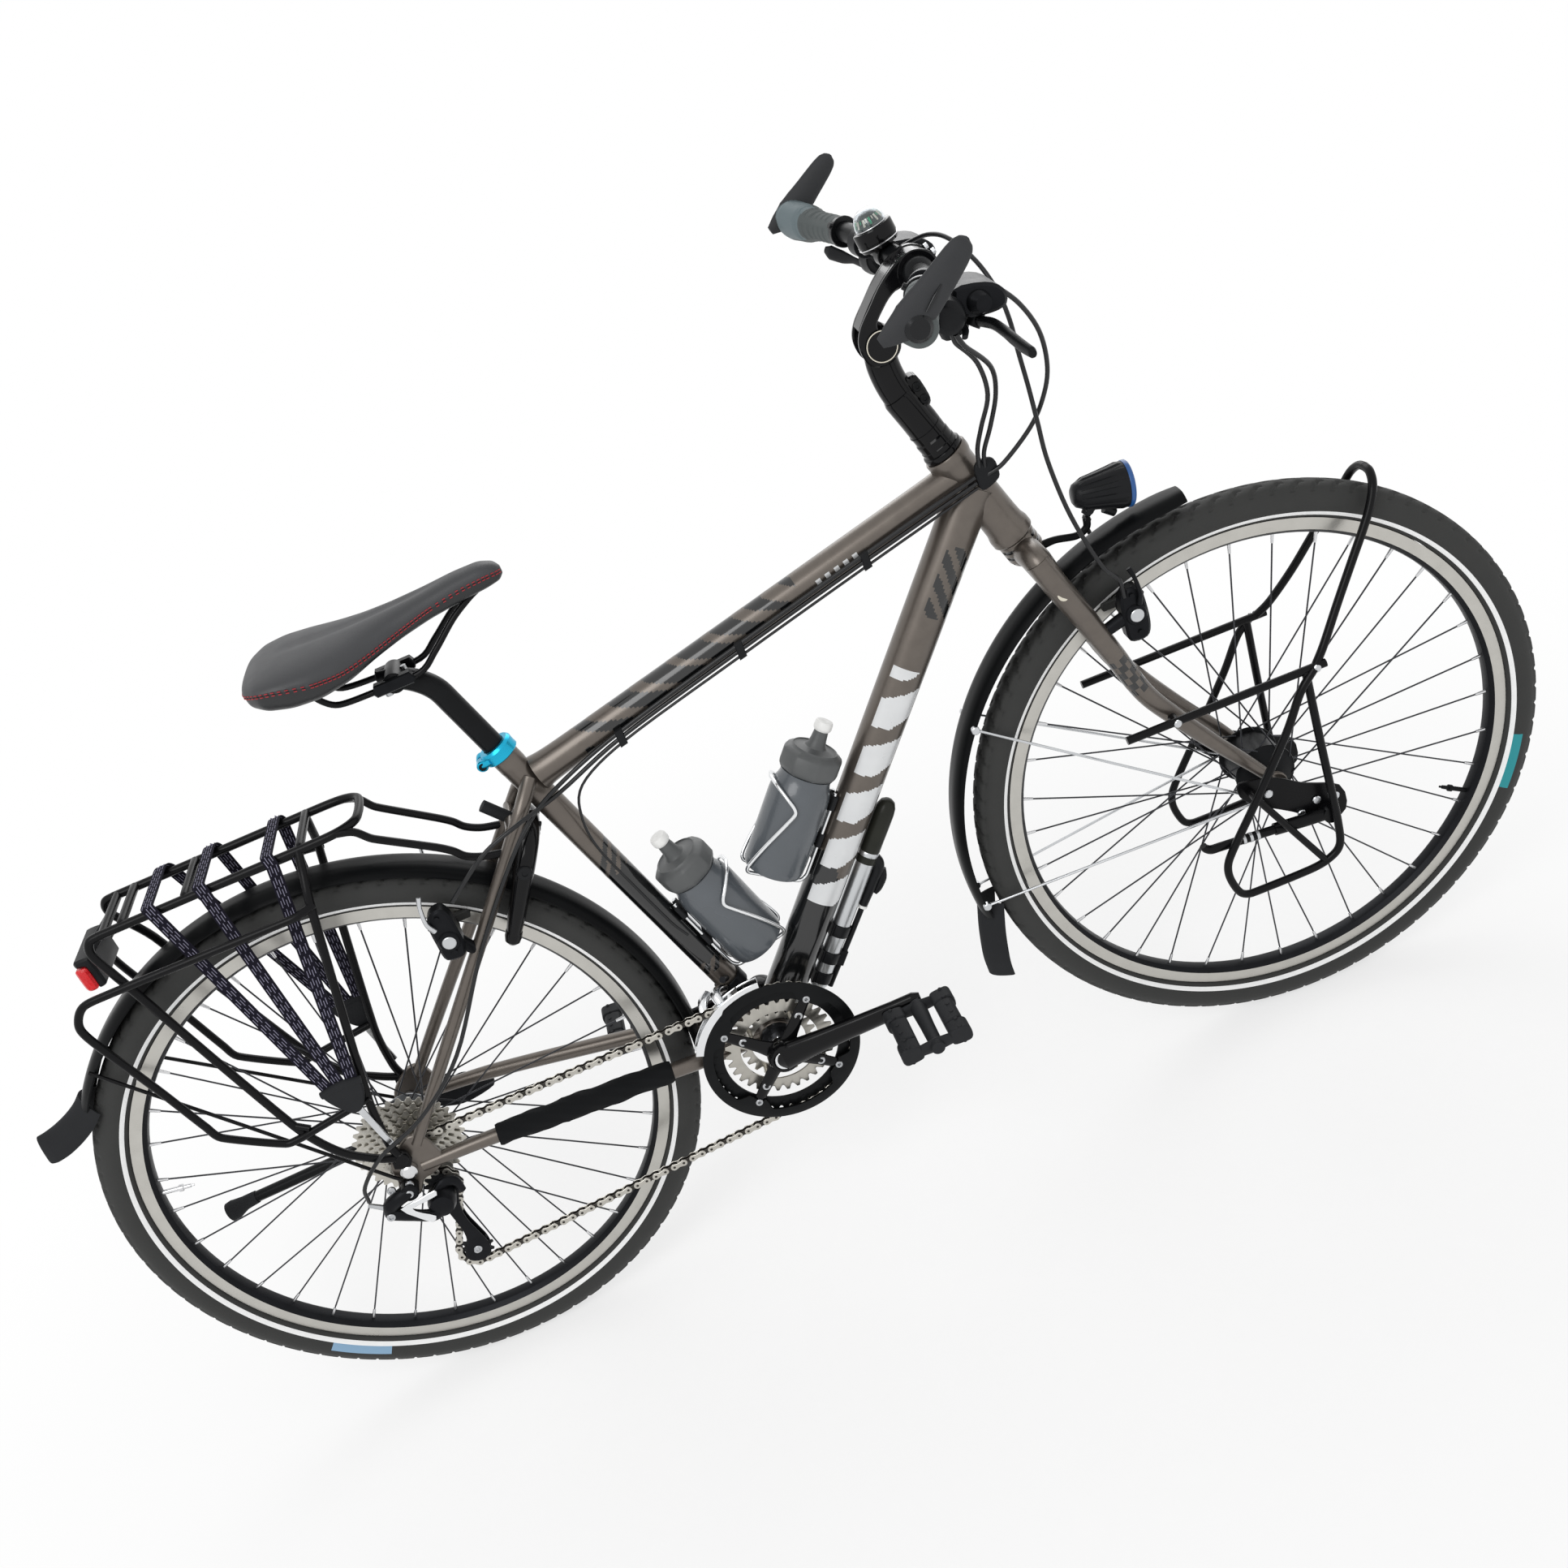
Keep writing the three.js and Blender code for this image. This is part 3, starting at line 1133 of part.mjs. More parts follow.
const bellRadius = 17;
for (const [side, name] of [[-1, 'right'], [1, 'left']]) {
  const [barEnd, barKnee, barMid, barIn] = mirrored(barSide, side);
  const gripEnd = mix(barKnee, barEnd, 0.985);
  const gripStart = mix(gripEnd, barKnee, gripLength / barEnd.distanceTo(barKnee));
  const horn = mirrored(place(barCentre, barHalfWidth, hornShares), side);
  add(`grip_${name}`, join(bar(gripStart, gripEnd, gripRadius, 12), tube(horn, hornRadius, 8, hornRadius, 2))
    .subtract(barRoom), 0x2a2b2e, 0.8, 0, true);

  const fittings = mirrored(place(barCentre, barHalfWidth, masterShares), side);
  const ringAt = mix(barMid, barKnee, 0.5);
  const along = barKnee.clone().sub(barMid).normalize();
  const ringStart = ringAt.clone().sub(along.clone().multiplyScalar(ringHalf));
  const ringEnd = ringAt.clone().add(along.clone().multiplyScalar(ringHalf));
  const lugEnd = fittings[2].clone().add(leverAxis.clone().multiplyScalar(leverPivotLength));
  const rootStart = lugEnd.clone().add(leverAxis.clone().multiplyScalar(fitGap));
  const rootEnd = rootStart.clone().add(leverAxis.clone().multiplyScalar(leverRootLength));
  const rootMiddle = mix(rootStart, rootEnd, 0.5);
  const lever = mirrored(place(barCentre, barHalfWidth, leverTipShares), side);
  const leverRoom = join(
    bar(lugEnd, lugEnd.clone().add(leverAxis.clone().multiplyScalar(leverRootLength * 2)),
      leverRadius * 1.6, 10),
    taperTube([rootMiddle, ...lever], [1, 1.2, 1.2, 1].map((share) => share * leverRadius), 8),
  );
  const controls = join(
    bar(ringStart, ringEnd, barRadius * 1.45, 12), bar(fittings[0], fittings[1], masterRadius, 10),
    bar(ringAt, mix(fittings[0], fittings[1], 0.5), barRadius * 0.8, 8),
    bar(fittings[3], fittings[4], podRadius, 12), bar(ringAt, fittings[3], barRadius * 0.8, 8),
    bar(fittings[2], lugEnd, leverRadius * 1.2, 10),
  ).subtract(barRoom).subtract(leverRoom);
  add(`controls_${name}`, controls, 0x1d1e20, 0.4, 0.3, true);

  add(`brake_lever_${name}`, join(
    bar(rootStart, rootEnd, leverRadius * 1.2, 10),
    taperTube([rootMiddle, ...lever], [0.6, 0.8, 0.9, 0.75].map((share) => share * leverRadius), 8),
  ), 0x1a1b1c, 0.35, 0.5, true);

  if (name === 'left') {
    const bellAt = mix(barIn, barMid, 0.5);
    const bellAlong = barMid.clone().sub(barIn).normalize().multiplyScalar(ringHalf * 0.8);
    const bellUp = fittings[6].clone().sub(fittings[5]).normalize();
    const domeStart = fittings[5].clone().add(bellUp.clone().multiplyScalar(ringHalf * 1.8));
    add('bell', join(
      bar(bellAt.clone().sub(bellAlong), bellAt.clone().add(bellAlong), barRadius * 1.3, 12),
      bar(fittings[5], domeStart, bellRadius, 14),
      bar(domeStart, fittings[6], bellRadius * 1.06, 14, bellRadius * 0.55),
    ).subtract(barRoom), 0x232426, 0.3, 0.4, true);
  }
}

// Headlight on the bracket over the front mudguard.
const lampShares = [
  [-0.3289, 0, 1.1008],
  [-0.1538, 0, 1.0743],
  [-0.3024, 0, 1.0398],
];
const [lampBack, lampFront, lampLug] = place(frontGuardCentre, frontGuardRadius, lampShares);
const lampLength = lampBack.distanceTo(lampFront);
const lensRadius = 26;
const lampProfile = [
  [0, 0], [lensRadius * 0.46, 0], [lensRadius * 0.62, lampLength * 0.1], [lensRadius * 0.8,
    lampLength * 0.5],
  [lensRadius, lampLength * 0.9], [lensRadius, lampLength], [0, lampLength],
];
add('headlight', join(
  turned(lampBack, lampFront.clone().sub(lampBack), lampProfile, 14),
  block(lampLug, lampBracketWidth, lampBracketWidth, lampBracketWidth * 1.3),
), 0x151617, 0.4, 0.2, true);

// Low rider: two side loops, their rails and the hoop over the wheel.
const loaderShares = [
  [-1.0933, 0.5333, 0.9933],
  [0.52, 0.5333, 0.9933],
  [0.4133, 0.56, 0.9933],
  [0.2667, 0.58, 0.8533],
  [0.0933, 0.5933, 0.5667],
  [-0.26, 0.6, 0.0733],
  [-0.5667, 0.6, -0.3467],
  [-0.6067, 0.6, -0.5067],
  [-0.5533, 0.6, -0.7067],
  [-0.46, 0.6, -0.76],
  [0.04, 0.6, -0.7533],
  [0.2067, 0.6, -0.72],
  [0.32, 0.6, -0.6267],
  [0.3467, 0.5933, -0.4067],
  [0.3467, 0.5867, -0.1],
  [0.3467, 0.5667, 0.4],
  [0.3533, 0.54, 0.9933],
  [0.4333, 0.5333, 0.9933],
  [0.6667, 0.5067, 1.3867],
  [0.9333, 0.44, 1.88],
  [1.1267, 0.2933, 2.12],
  [1.2467, 0.1467, 2.2133],
  [1.2733, 0, 2.22],
  [-0.6933, 0.5333, 0.9933],
  [-0.6933, 0.3333, 0.9933],
  [-0.2467, 0.6, 0.0867],
  [-0.18, 0.4133, -0.04],
  [0, 0.4133, 0],
  [0.1933, 0.6, -0.7333],
];
const loader = place(frontAxle, loaderReach, loaderShares);
const capOuter = frontSpacing / 2 + fitGap + forkDropoutThickness * 1.9;
const plateInner = capOuter + fitGap;
const plateWall = 4;
const loaderPlateShares = [
  [-0.3133, 0, 0.1867],
  [-0.02, 0, 0.1067],
  [0.1933, 0, -0.04],
  [0.4733, 0, -0.1867],
  [0.4867, 0, -0.4267],
  [0.3, 0, -0.4667],
  [0.06, 0, -0.2667],
  [-0.2067, 0, -0.08],
  [-0.3267, 0, 0.0533],
];
const loaderPlate = place(frontAxle, loaderReach, loaderPlateShares);
const loaderParts = [];
for (const side of sides) {
  const p = mirrored(loader, side);
  loaderParts.push(bar(p[0], p[1], loaderTubeRadius, 6));
  loaderParts.push(tube(p.slice(2, 11), loaderTubeRadius, 6));
  loaderParts.push(tube(p.slice(10, 17), loaderTubeRadius * 0.97, 6));
  loaderParts.push(bar(p[23], vec(p[23].x, side * (bladeSpread + bladeTopRadius * 0.2), p[23].z),
    loaderTubeRadius, 8));
  const inner = side * plateInner;
  loaderParts.push(plate(loaderPlate, inner, inner + side * plateWall));
  loaderParts.push(bar(vec(p[25].x, inner, p[25].z), p[25], loaderTubeRadius, 6));
  loaderParts.push(bar(p[25], p[28], loaderTubeRadius * 0.9, 6));
}
const hoop = loader.slice(17, 22);
loaderParts.push(tube([...mirrored(hoop, -1), loader[22], ...hoop.slice().reverse()], loaderTubeRadius,
  6));
add('lowrider', join(loaderParts).subtract(bladeRooms[0]).subtract(bladeRooms[1]), 0x161718, 0.35, 0.3,
  true);

const legInner = plateInner + plateWall + fitGap;
const legMiddle = -(legInner + standLegRadius);
const standShares = [
  [0.1633, 0, -0.1767],
  [-0.3367, 0, -0.1367],
  [-0.3633, 0, -0.1067],
];
const [standPivot, standFoot, standHook] = place(frontAxle, standLength, standShares);
for (const p of [standPivot, standFoot, standHook]) p.y = legMiddle;
add('front_stand_leg', join(
  bar(vec(standPivot.x, -legInner, standPivot.z), vec(standPivot.x, legMiddle - standLegRadius,
    standPivot.z),
    standLegRadius * 1.4, 12),
  bar(standPivot, mix(standPivot, standFoot, 0.5), standLegRadius, 10),
  bar(mix(standPivot, standFoot, 0.45), standFoot, standLegRadius * 0.7, 8),
  bar(standFoot, standHook, standLegRadius * 0.7, 8),
), 0x17181a, 0.4, 0.3, true);

// Rim brakes: a slave cylinder with its pad beside each rim, on an arm from the blade or the stay.
const padFace = rimHalfWidth + runningGap;
const brakeOuter = 66;
const brakeRadius = 12.5;
const brakeBodyHeight = 64;
const brakeBodyWidth = 22;
const brakeShares = [
  [-0.3565, 0, 0.8896],
  [0.5426, 0, 0.7918],
];
const frontBrakeAt = vec(brakeShares[0][0], 0,
  brakeShares[0][2]).multiplyScalar(rimOuterRadius).add(frontAxle);
const rearBrakeAt = vec(brakeShares[1][0], 0,
  brakeShares[1][2]).multiplyScalar(rimOuterRadius).add(rearAxle);
const stayRooms = sides.map((side) => tube(mirrored([stayTop, stayBend, stayFoot], side),
  seatstayRadius + fitGap, 8,
  seatstayRadius * 3, 1));
function rimBrake(at, side, carrier, room, rise) {
  const body = block(vec(at.x, side * (brakeOuter - brakeBodyWidth / 2), at.z + rise),
    brakeBodyWidth * 1.3,
    brakeBodyWidth, brakeBodyHeight);
  const cylinder = bar(vec(at.x, side * padFace, at.z), vec(at.x, side * brakeOuter, at.z),
    brakeRadius, 12);
  const arm = bar(vec(at.x, side * (brakeOuter - brakeBodyWidth / 2), at.z), carrier,
    brakeRadius * 0.7, 8);
  return join(body, cylinder, arm).subtract(room);
}
const bladeMount = mix(bladePoints[1], bladePoints[2], 0.72);
const stayMount = mix(stayBend, stayFoot, 0.27);
const mountDepth = 0.4;
for (const [side, name, index] of [[-1, 'right', 0], [1, 'left', 1]]) {
  const frontMount = vec(bladeMount.x + bladeTopRadius * mountDepth, side * bladeMount.y, bladeMount.z);
  const rearMount = vec(stayMount.x - seatstayRadius * mountDepth, side * stayMount.y, stayMount.z);
  add(`front_brake_${name}`, rimBrake(frontBrakeAt, side, frontMount, bladeRooms[index], 0), 0x17181a, 0.4, 0.3, true);
  add(`rear_brake_${name}`, rimBrake(rearBrakeAt, side, rearMount, stayRooms[index], brakeRadius * 0.8),
    0x17181a, 0.4, 0.3);
}

// Rear rack
const rackShares = [
  [0.3213, 0.1063, 1],
  [-0.3768, 0.1063, 1],
  [-0.413, 0.1135, 0.971],
  [-0.3623, 0.1449, 0.8261],
  [-0.2029, 0.1812, 0.285],
  [-0.0628, 0.1957, 0.0918],
  [0.0048, 0.1957, 0.0531],
  [0.1812, 0.1087, 1],
  [0.1546, 0.1643, 0.8792],
  [0.0097, 0.1836, 0.2609],
  [-0.0048, 0.1932, 0.1014],
  [0.1594, 0.1667, 0.8696],
  [0.0966, 0.1932, 0.8671],
  [-0.3502, 0.1932, 0.8768],
  [-0.4638, 0.1932, 0.8768],
  [-0.5121, 0.1932, 0.8333],
  [-0.5, 0.1932, 0.744],
  [-0.4444, 0.1932, 0.5652],
  [-0.3889, 0.1932, 0.3696],
  [-0.244, 0.1932, 0.2464],
  [-0.1643, 0.1932, 0.2633],
  [0.0193, 0.1884, 0.2464],
  [0.2899, 0.1063, 1],
  [0.3623, 0.0966, 0.9372],
  [0.5169, 0.0894, 0.8357],
  [0.5507, 0.0894, 0.7826],
  [0.6473, 0.0894, 0.7488],
  [-0.3623, 0.1063, 1],
];
const rack = place(rearAxle, rackHeight, rackShares);
const deckSide = rack.slice(0, 7);
const deckPath = [...mirrored(deckSide, -1).reverse(), ...deckSide];
const rackFootRadius = 7;
const rackParts = [tube(deckPath, rackTubeRadius, 6, rackTubeRadius * 3, 1)];
for (const side of sides) {
  const p = mirrored(rack, side);
  rackParts.push(tube([p[7], p[8], p[9], p[10], p[6]], rackTubeRadius, 6));
  rackParts.push(tube(p.slice(11, 22), rackTubeRadius, 6));
  rackParts.push(tube(p.slice(22, 27), rackTubeRadius * 0.9, 6));
  rackParts.push(bar(p[4], p[19], rackTubeRadius * 0.8, 6));
  rackParts.push(bar(vec(p[6].x, side * (dropoutOuter + fitGap), p[6].z),
    vec(p[6].x, p[6].y + side * rackTubeRadius, p[6].z), rackFootRadius, 6));
}
rackParts.push(bar(rack[27], mirrored([rack[27]], -1)[0], rackTubeRadius, 6));
const rungPlaceShares = [-0.309, -0.133, 0.188];
const rungTop = rack[0].z + rackTubeRadius + fitGap * 3;
for (const share of rungPlaceShares) {
  rackParts.push(block(vec(rackHeight * share, 0, rungTop - rackRungThickness / 2), rackRungHalfWidth * 2,
    rack[0].y * 2.16, rackRungThickness));
}
add('rear_rack', join(rackParts).subtract(stayRooms[0]).subtract(stayRooms[1]), 0x161718, 0.35, 0.3);

// Elastic straps over the deck, gathered in a rubber fan on each side.
const strapHalfWidth = 7;
const strapWall = 2;
function ribbon(points, half, wall) {
  const rows = points.map((p, i) => {
    const before = points[Math.max(i - 1, 0)];
    const after = points[Math.min(i + 1, points.length - 1)];
    const along = after.clone().sub(before).normalize();
    const across = vec(1, 0, 0).sub(along.clone().multiplyScalar(along.x)).normalize();
    const out = along.clone().cross(across);
    return [[-1, -1], [1, -1], [1, 1], [-1, 1]].map(([a, b]) => p.clone()
      .add(across.clone().multiplyScalar(a * half)).add(out.clone().multiplyScalar(b * wall / 2)));
  });
  return loft(rows);
}
const strapShares = [
  [-0.0483, 0.2126, 0.3237],
  [-0.0217, 0.2126, 0.3285],
  [0.0048, 0.2126, 0.3237],
  [-0.2126, 0.1329, 0.9952],
  [-0.0749, 0.1329, 0.9952],
  [0.1111, 0.1329, 0.9952],
  [-0.2271, 0.1111, 1.0205],
  [-0.0845, 0.1111, 1.0205],
  [0.1039, 0.1111, 1.0205],
  [-0.087, 0, 0.3623],
  [0.0386, 0, 0.3623],
  [0.0145, 0, 0.2899],
  [-0.0097, 0, 0.2222],
  [-0.0386, 0, 0.2222],
  [-0.0628, 0, 0.2899],
];
const straps = place(rearAxle, rackHeight, strapShares);
const fanOutline = straps.slice(9);
const fanWall = 4;
const fanFace = rack[13].y + rackTubeRadius + fitGap * 2;
const strapParts = [];
for (const side of sides) strapParts.push(plate(fanOutline, side * fanFace, side * (fanFace + fanWall)));
for (let i = 0; i < 3; i += 1) {
  const half = [straps[i], straps[i + 3], straps[i + 6]];
  half[0].y = fanFace + fanWall / 2;
  strapParts.push(ribbon([...mirrored(half, -1), ...half.slice().reverse()], strapHalfWidth, strapWall));
}
add('rack_straps', join(strapParts), 0x2b2638, 0.9, 0);

const tailShares = [
  [-0.4638, 0, 0.9034],
  [-0.4444, 0.0483, 0.942],
  [-0.372, 0.0483, 0.9918],
];
const [tailCentre, tailLug, tailArm] = place(rearAxle, rackHeight, tailShares);
const tailLength = 22;
const tailHalfWidth = 40;
const tailHeight = 40;
add('tail_light', join(
  block(tailCentre, tailLength, tailHalfWidth * 2, tailHeight),
  sides.map((side) => bar(vec(tailLug.x, side * tailLug.y, tailLug.z), vec(tailArm.x, side * tailArm.y,
    tailArm.z),
    rackTubeRadius * 0.8, 6)),
), 0xb01818, 0.3, 0);

// Ring lock: a horseshoe round the tyre, in front of the seatstays.
const lockHeight = 148;
const lockHalfWidth = 55;
const lockThroat = 33;
const lockThickness = 18;
const lockShares = [
  [1.7432, 0, 1.2297],
  [2.0405, 0, 2.1892],
  [2, 0.2432, 2.0946],
  [1.8108, 0.25, 2.0676],
];
const [lockFoot, lockTop, lockLug, lockStay] = place(rearAxle, lockHeight, lockShares);
const lockUp = lockTop.clone().sub(lockFoot).normalize();
const lockShape = outlineShape([
  [-lockHalfWidth, 0], [-lockThroat, 0], [-lockThroat, lockHeight * 0.56], [-lockThroat * 0.6,
    lockHeight * 0.74],
  [0, lockHeight * 0.8], [lockThroat * 0.6, lockHeight * 0.74], [lockThroat, lockHeight * 0.56],
  [lockThroat, 0], [lockHalfWidth, 0], [lockHalfWidth, lockHeight * 0.68], [lockHalfWidth * 0.7,
    lockHeight * 0.9],
  [lockHalfWidth * 0.3, lockHeight], [-lockHalfWidth * 0.3, lockHeight], [-lockHalfWidth * 0.7,
    lockHeight * 0.9],
  [-lockHalfWidth, lockHeight * 0.68],
]);
const lockGeometry = new THREE.ExtrudeGeometry(lockShape, { depth: lockThickness, bevelEnabled: false });
lockGeometry.translate(0, 0, -lockThickness / 2);
const lockBasis = new THREE.Matrix4().makeBasis(left, lockUp, left.clone().cross(lockUp));
lockGeometry.applyMatrix4(lockBasis);
lockGeometry.translate(lockFoot.x, 0, lockFoot.z);
add('ring_lock', join(
  solid(lockGeometry),
  sides.map((side) => bar(vec(lockLug.x, side * lockLug.y, lockLug.z), vec(lockStay.x,
    side * lockStay.y, lockStay.z),
    bridgeRadius * 0.8, 8)),
).subtract(stayRooms[0]).subtract(stayRooms[1]), 0x141416, 0.2, 0.2);

// Bottles in wire cages, on the down tube and on the seat tube.
function bottleSet(name, tubeFoot, direction, outward, tubeRadius, start) {
  const offset = tubeRadius + bottleRadius + cageDepth;
  const foot = tubeFoot.clone().add(direction.clone().multiplyScalar(start))
    .add(outward.clone().multiplyScalar(offset));
  const l = bottleLength;
  add(`bottle_${name}`, turned(foot, direction, [
    [0, 0], [bottleRadius * 0.94, 0], [bottleRadius, l * 0.03], [bottleRadius, l * 0.6],
    [bottleRadius * 0.9, l * 0.66], [bottleRadius * 0.96, l * 0.7], [bottleRadius * 0.96, l * 0.78],
    [bottleNeckRadius, l * 0.86], [nozzleRadius * 1.3, l * 0.89], [nozzleRadius, l], [0, l],
  ], 14), 0x3a3b3d, 0.35, 0);
  const at = (along, across, out) => foot.clone().add(direction.clone().multiplyScalar(along))
    .add(outward.clone().multiplyScalar(out)).add(left.clone().multiplyScalar(across));
  const wireCentre = bottleRadius + cageClearance + fitGap * 2 + cageWireRadius;
  const hoopAt = l * 0.52;
  const bottom = -cageClearance - cageWireRadius;
  const hoopProfile = ringOutline(cageWireRadius, 4).map(([r, h]) => [wireCentre + r, hoopAt + h]);
  hoopProfile.push(hoopProfile[0]);
  const platePoints = [at(bottom, 0, fitGap - bottleRadius - cageDepth), at(l * 0.62, 0,
    fitGap - bottleRadius - cageDepth), at(l * 0.62, 0, -wireCentre + cageWireRadius * 0.6),
  at(bottom, 0, -wireCentre + cageWireRadius * 0.6)];
  const wire = [at(hoopAt, wireCentre, 0), at(bottom, wireCentre, 0), at(bottom, -wireCentre, 0),
    at(hoopAt, -wireCentre, 0)];
  add(`bottle_cage_${name}`, join(
    turned(foot, direction, hoopProfile, 12), tube(wire, cageWireRadius, 5, cageWireRadius * 3, 1),
    plate(platePoints, -cagePlateHalfWidth, cagePlateHalfWidth),
    bar(at(bottom, 0, -wireCentre), at(bottom, 0, 0), cageWireRadius, 6),
  ), 0xb9bbbc, 0.25, 0.9);
}

const downDirection = downTubeTop.clone().sub(downTubeFoot).normalize();
const downOutward = vec(-downDirection.z, 0, downDirection.x);
const seatOutward = vec(seatDirection.z, 0, -seatDirection.x);
const downBottleStart = 188;
const seatBottleStart = 104;
bottleSet('down', downTubeFoot, downDirection, downOutward, downTubeRadius, downBottleStart);
bottleSet('seat', crankCentre, seatDirection, seatOutward, seatTubeRadius, seatBottleStart);

// Frame pump under the down tube, in two saddles.
const pumpStart = 46;
const pumpRoom = 2;
const pumpFoot = downTubeFoot.clone().add(downDirection.clone().multiplyScalar(pumpStart))
  .sub(downOutward.clone().multiplyScalar(downTubeRadius + pumpRadius + pumpRoom));
const pumpBody = turned(pumpFoot, downDirection, [
  [0, 0], [pumpRadius * 0.9, 0], [pumpRadius, pumpLength * 0.04], [pumpRadius, pumpLength * 0.72],
  [pumpRadius * 0.7, pumpLength * 0.73], [pumpRadius * 0.7, pumpLength * 0.76],
  [pumpRadius * 0.95, pumpLength * 0.77], [pumpRadius * 0.95, pumpLength], [0, pumpLength],
], 14);
const pumpSaddles = [0.2, 0.62].map((share) => {
  const middle = pumpFoot.clone().add(downDirection.clone().multiplyScalar(pumpLength * share))
    .add(downOutward.clone().multiplyScalar((pumpRadius + pumpRoom - fitGap) / 2));
  return block(middle, pumpRadius, pumpRadius * 0.6, pumpRadius + pumpRoom - fitGap,
    Math.atan2(downDirection.x, downDirection.z) - Math.PI / 2);
});
const downRoom = bar(mix(downTubeFoot, downTubeTop, 0), mix(downTubeFoot, downTubeTop, 0.8),
  downTubeRadius + fitGap, 14);
add('pump', join(pumpBody, pumpSaddles).subtract(downRoom), 0xc4c6c8, 0.25, 0.9);

// Kickstand: a plate outside the left dropout and the folded leg.
const kickShares = [
  [0.0467, 0, 0.0267],
  [0.2, 0, -0.02],
  [0.32, 0, -0.0667],
  [0.3133, 0, -0.1333],
  [0.1667, 0, -0.1533],
  [0.0533, 0, -0.1],
  [0.1533, 0, -0.0867],
  [-0.3333, 0, -0.1933],
  [-0.8333, 0, -0.2033],
  [-0.9467, 0, -0.22],
];
const kick = place(rearAxle, standLength, kickShares);
const kickWall = 7;
const kickInner = dropoutOuter + fitGap * 1.3;
const stayEndRoom = bar(mirrored([csSecond], 1)[0], csFoot, chainstayRadius + fitGap * 1.4, 8);
add('kickstand_mount', plate(kick.slice(0, 6), kickInner, kickInner + kickWall).subtract(stayEndRoom)
  .subtract(frame), 0x1a1b1c, 0.5, 0.3);
const kickLegInner = kickInner + kickWall + fitGap;
const kickLegRadius = 7.5;
const kickMiddle = kickLegInner + kickLegRadius;
const [kickPivot, kickBend, kickEnd, kickFoot] = kick.slice(6);
for (const p of [kickPivot, kickBend, kickEnd, kickFoot]) p.y = kickMiddle;
add('kickstand_leg', join(
  bar(vec(kickPivot.x, kickLegInner, kickPivot.z), vec(kickPivot.x, kickMiddle + kickLegRadius,
    kickPivot.z),
    kickLegRadius * 1.6, 12),
  tube([kickPivot, kickBend, kickEnd], kickLegRadius, 10),
  bar(kickEnd, kickFoot, kickLegRadius * 1.2, 10, kickLegRadius * 1.9),
), 0x17181a, 0.5, 0.3);

// Cables: those held by the frame, and those that cross the steering.
const housingRadius = 2.5;
const gearFramePath = [
  [896.6, -27.5, 851.6], [757, -23.5, 819], [595, -23.5, 781], [437, -22, 741], [360, -26, 716], [310,
    -50, 698],
  [257, -60, 650], [191, -67, 574], [118, -79, 478], [50, -90, 427], [-12, -93, 402], [-48, -93, 372],
  [-57, -86, 345],
];
const brakeFramePath = [
  [896.6, -27.5, 845.2], [757, -23.5, 812.6], [595, -23.5, 774.6], [437, -22, 734.6], [352, -28, 706],
  [300, -62, 706], [256, -68, 694], [216, -68, 668], [196, -64, 652],
];
const mechFramePath = [
  [896.6, -27.5, 839.6], [757, -23.2, 806.2], [595, -23.2, 768.2], [437, -21, 728.2], [376, -21, 700],
  [359, -20.5, 660], [362, -20.5, 612], [398, -21, 492], [410, -26, 470],
];
const restTurn = new THREE.Quaternion().setFromAxisAngle(steerAxis, restSteerAngle);
function crossing(path) {
  return path.map(([x, y, z], i) => {
    const own = vec(x, y, z);
    const turnedPoint = own.clone().sub(steerFoot).applyQuaternion(restTurn).add(steerFoot);
    const share = Math.min(1, (path.length - 1 - i) / 3);
    return mix(own, turnedPoint, share).toArray();
  });
}
const cord = (points, radius, count) => tube(points.map(([x, y, z]) => vec(x, y, z)), radius, count);
const clipPlaces = [[757, -23, 813], [595, -23, 775], [437, -21.5, 735]];
const clipSize = [9, 6, 20];
const frameCables = [cord(gearFramePath, housingRadius, 5), cord(brakeFramePath, housingRadius, 5),
  cord(mechFramePath, housingRadius * 0.8, 5)];
for (const [x, y, z] of clipPlaces) frameCables.push(block(vec(x, y, z), ...clipSize));
const topRoom = bar(topTubeBack, topTubeFront, topTubeRadius + fitGap, 12);
add('frame_cables', join(frameCables).subtract(topRoom), 0x151516, 0.5, 0);

const rearHosePath = [
  [934, -118, 1070], [950, -125, 1062], [973, -110, 1033], [990, -90, 993], [993, -72, 951], [984, -58,
    918],
  [965, -45, 887], [929, -34, 857], [908, -28, 849],
];
const shiftFirstPath = [
  [894, -160, 1045], [897, -152, 1031], [915, -130, 1000], [923, -95, 955], [913, -60, 913], [906, -40,
    885],
  [904, -28, 860],
];
const shiftSecondPath = [
  [896, -168, 1044], [903, -160, 1027], [926, -132, 992], [931, -95, 953], [922, -62, 911], [912, -40,
    880],
  [910, -28, 858],
];
const guideCentre = vec(910, -27.2, 852);
const guideSize = [24, 6.4, 28];
add('bar_cables', join(cord(crossing(rearHosePath), housingRadius, 5),
  cord(crossing(shiftFirstPath), housingRadius, 5),
  cord(crossing(shiftSecondPath), housingRadius, 5), block(guideCentre, ...guideSize)), 0x151516, 0.5, 0);

const frontHosePath = [
  [910.9, 117.7, 1071.05], [909, 111, 1072.2], [920, 95, 1079], [942, 72, 1085], [956, 40, 1080], [968,
    0, 1058], [975, -25, 1029], [976, -40, 1001],
  [974, -48, 969], [973, -54, 934], [971, -60, 897], [969, -66, 853], [975, -74, 790], [993, -75, 722],
  [1008, -68, 698], [1010, -66, 686], [1010, -66, 672.3],
];
add('front_brake_hose', cord(frontHosePath, housingRadius, 6), 0x151516, 0.5, 0, true);

export default group;
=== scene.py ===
import math

import bmesh
import bpy
from mathutils import Matrix, Vector


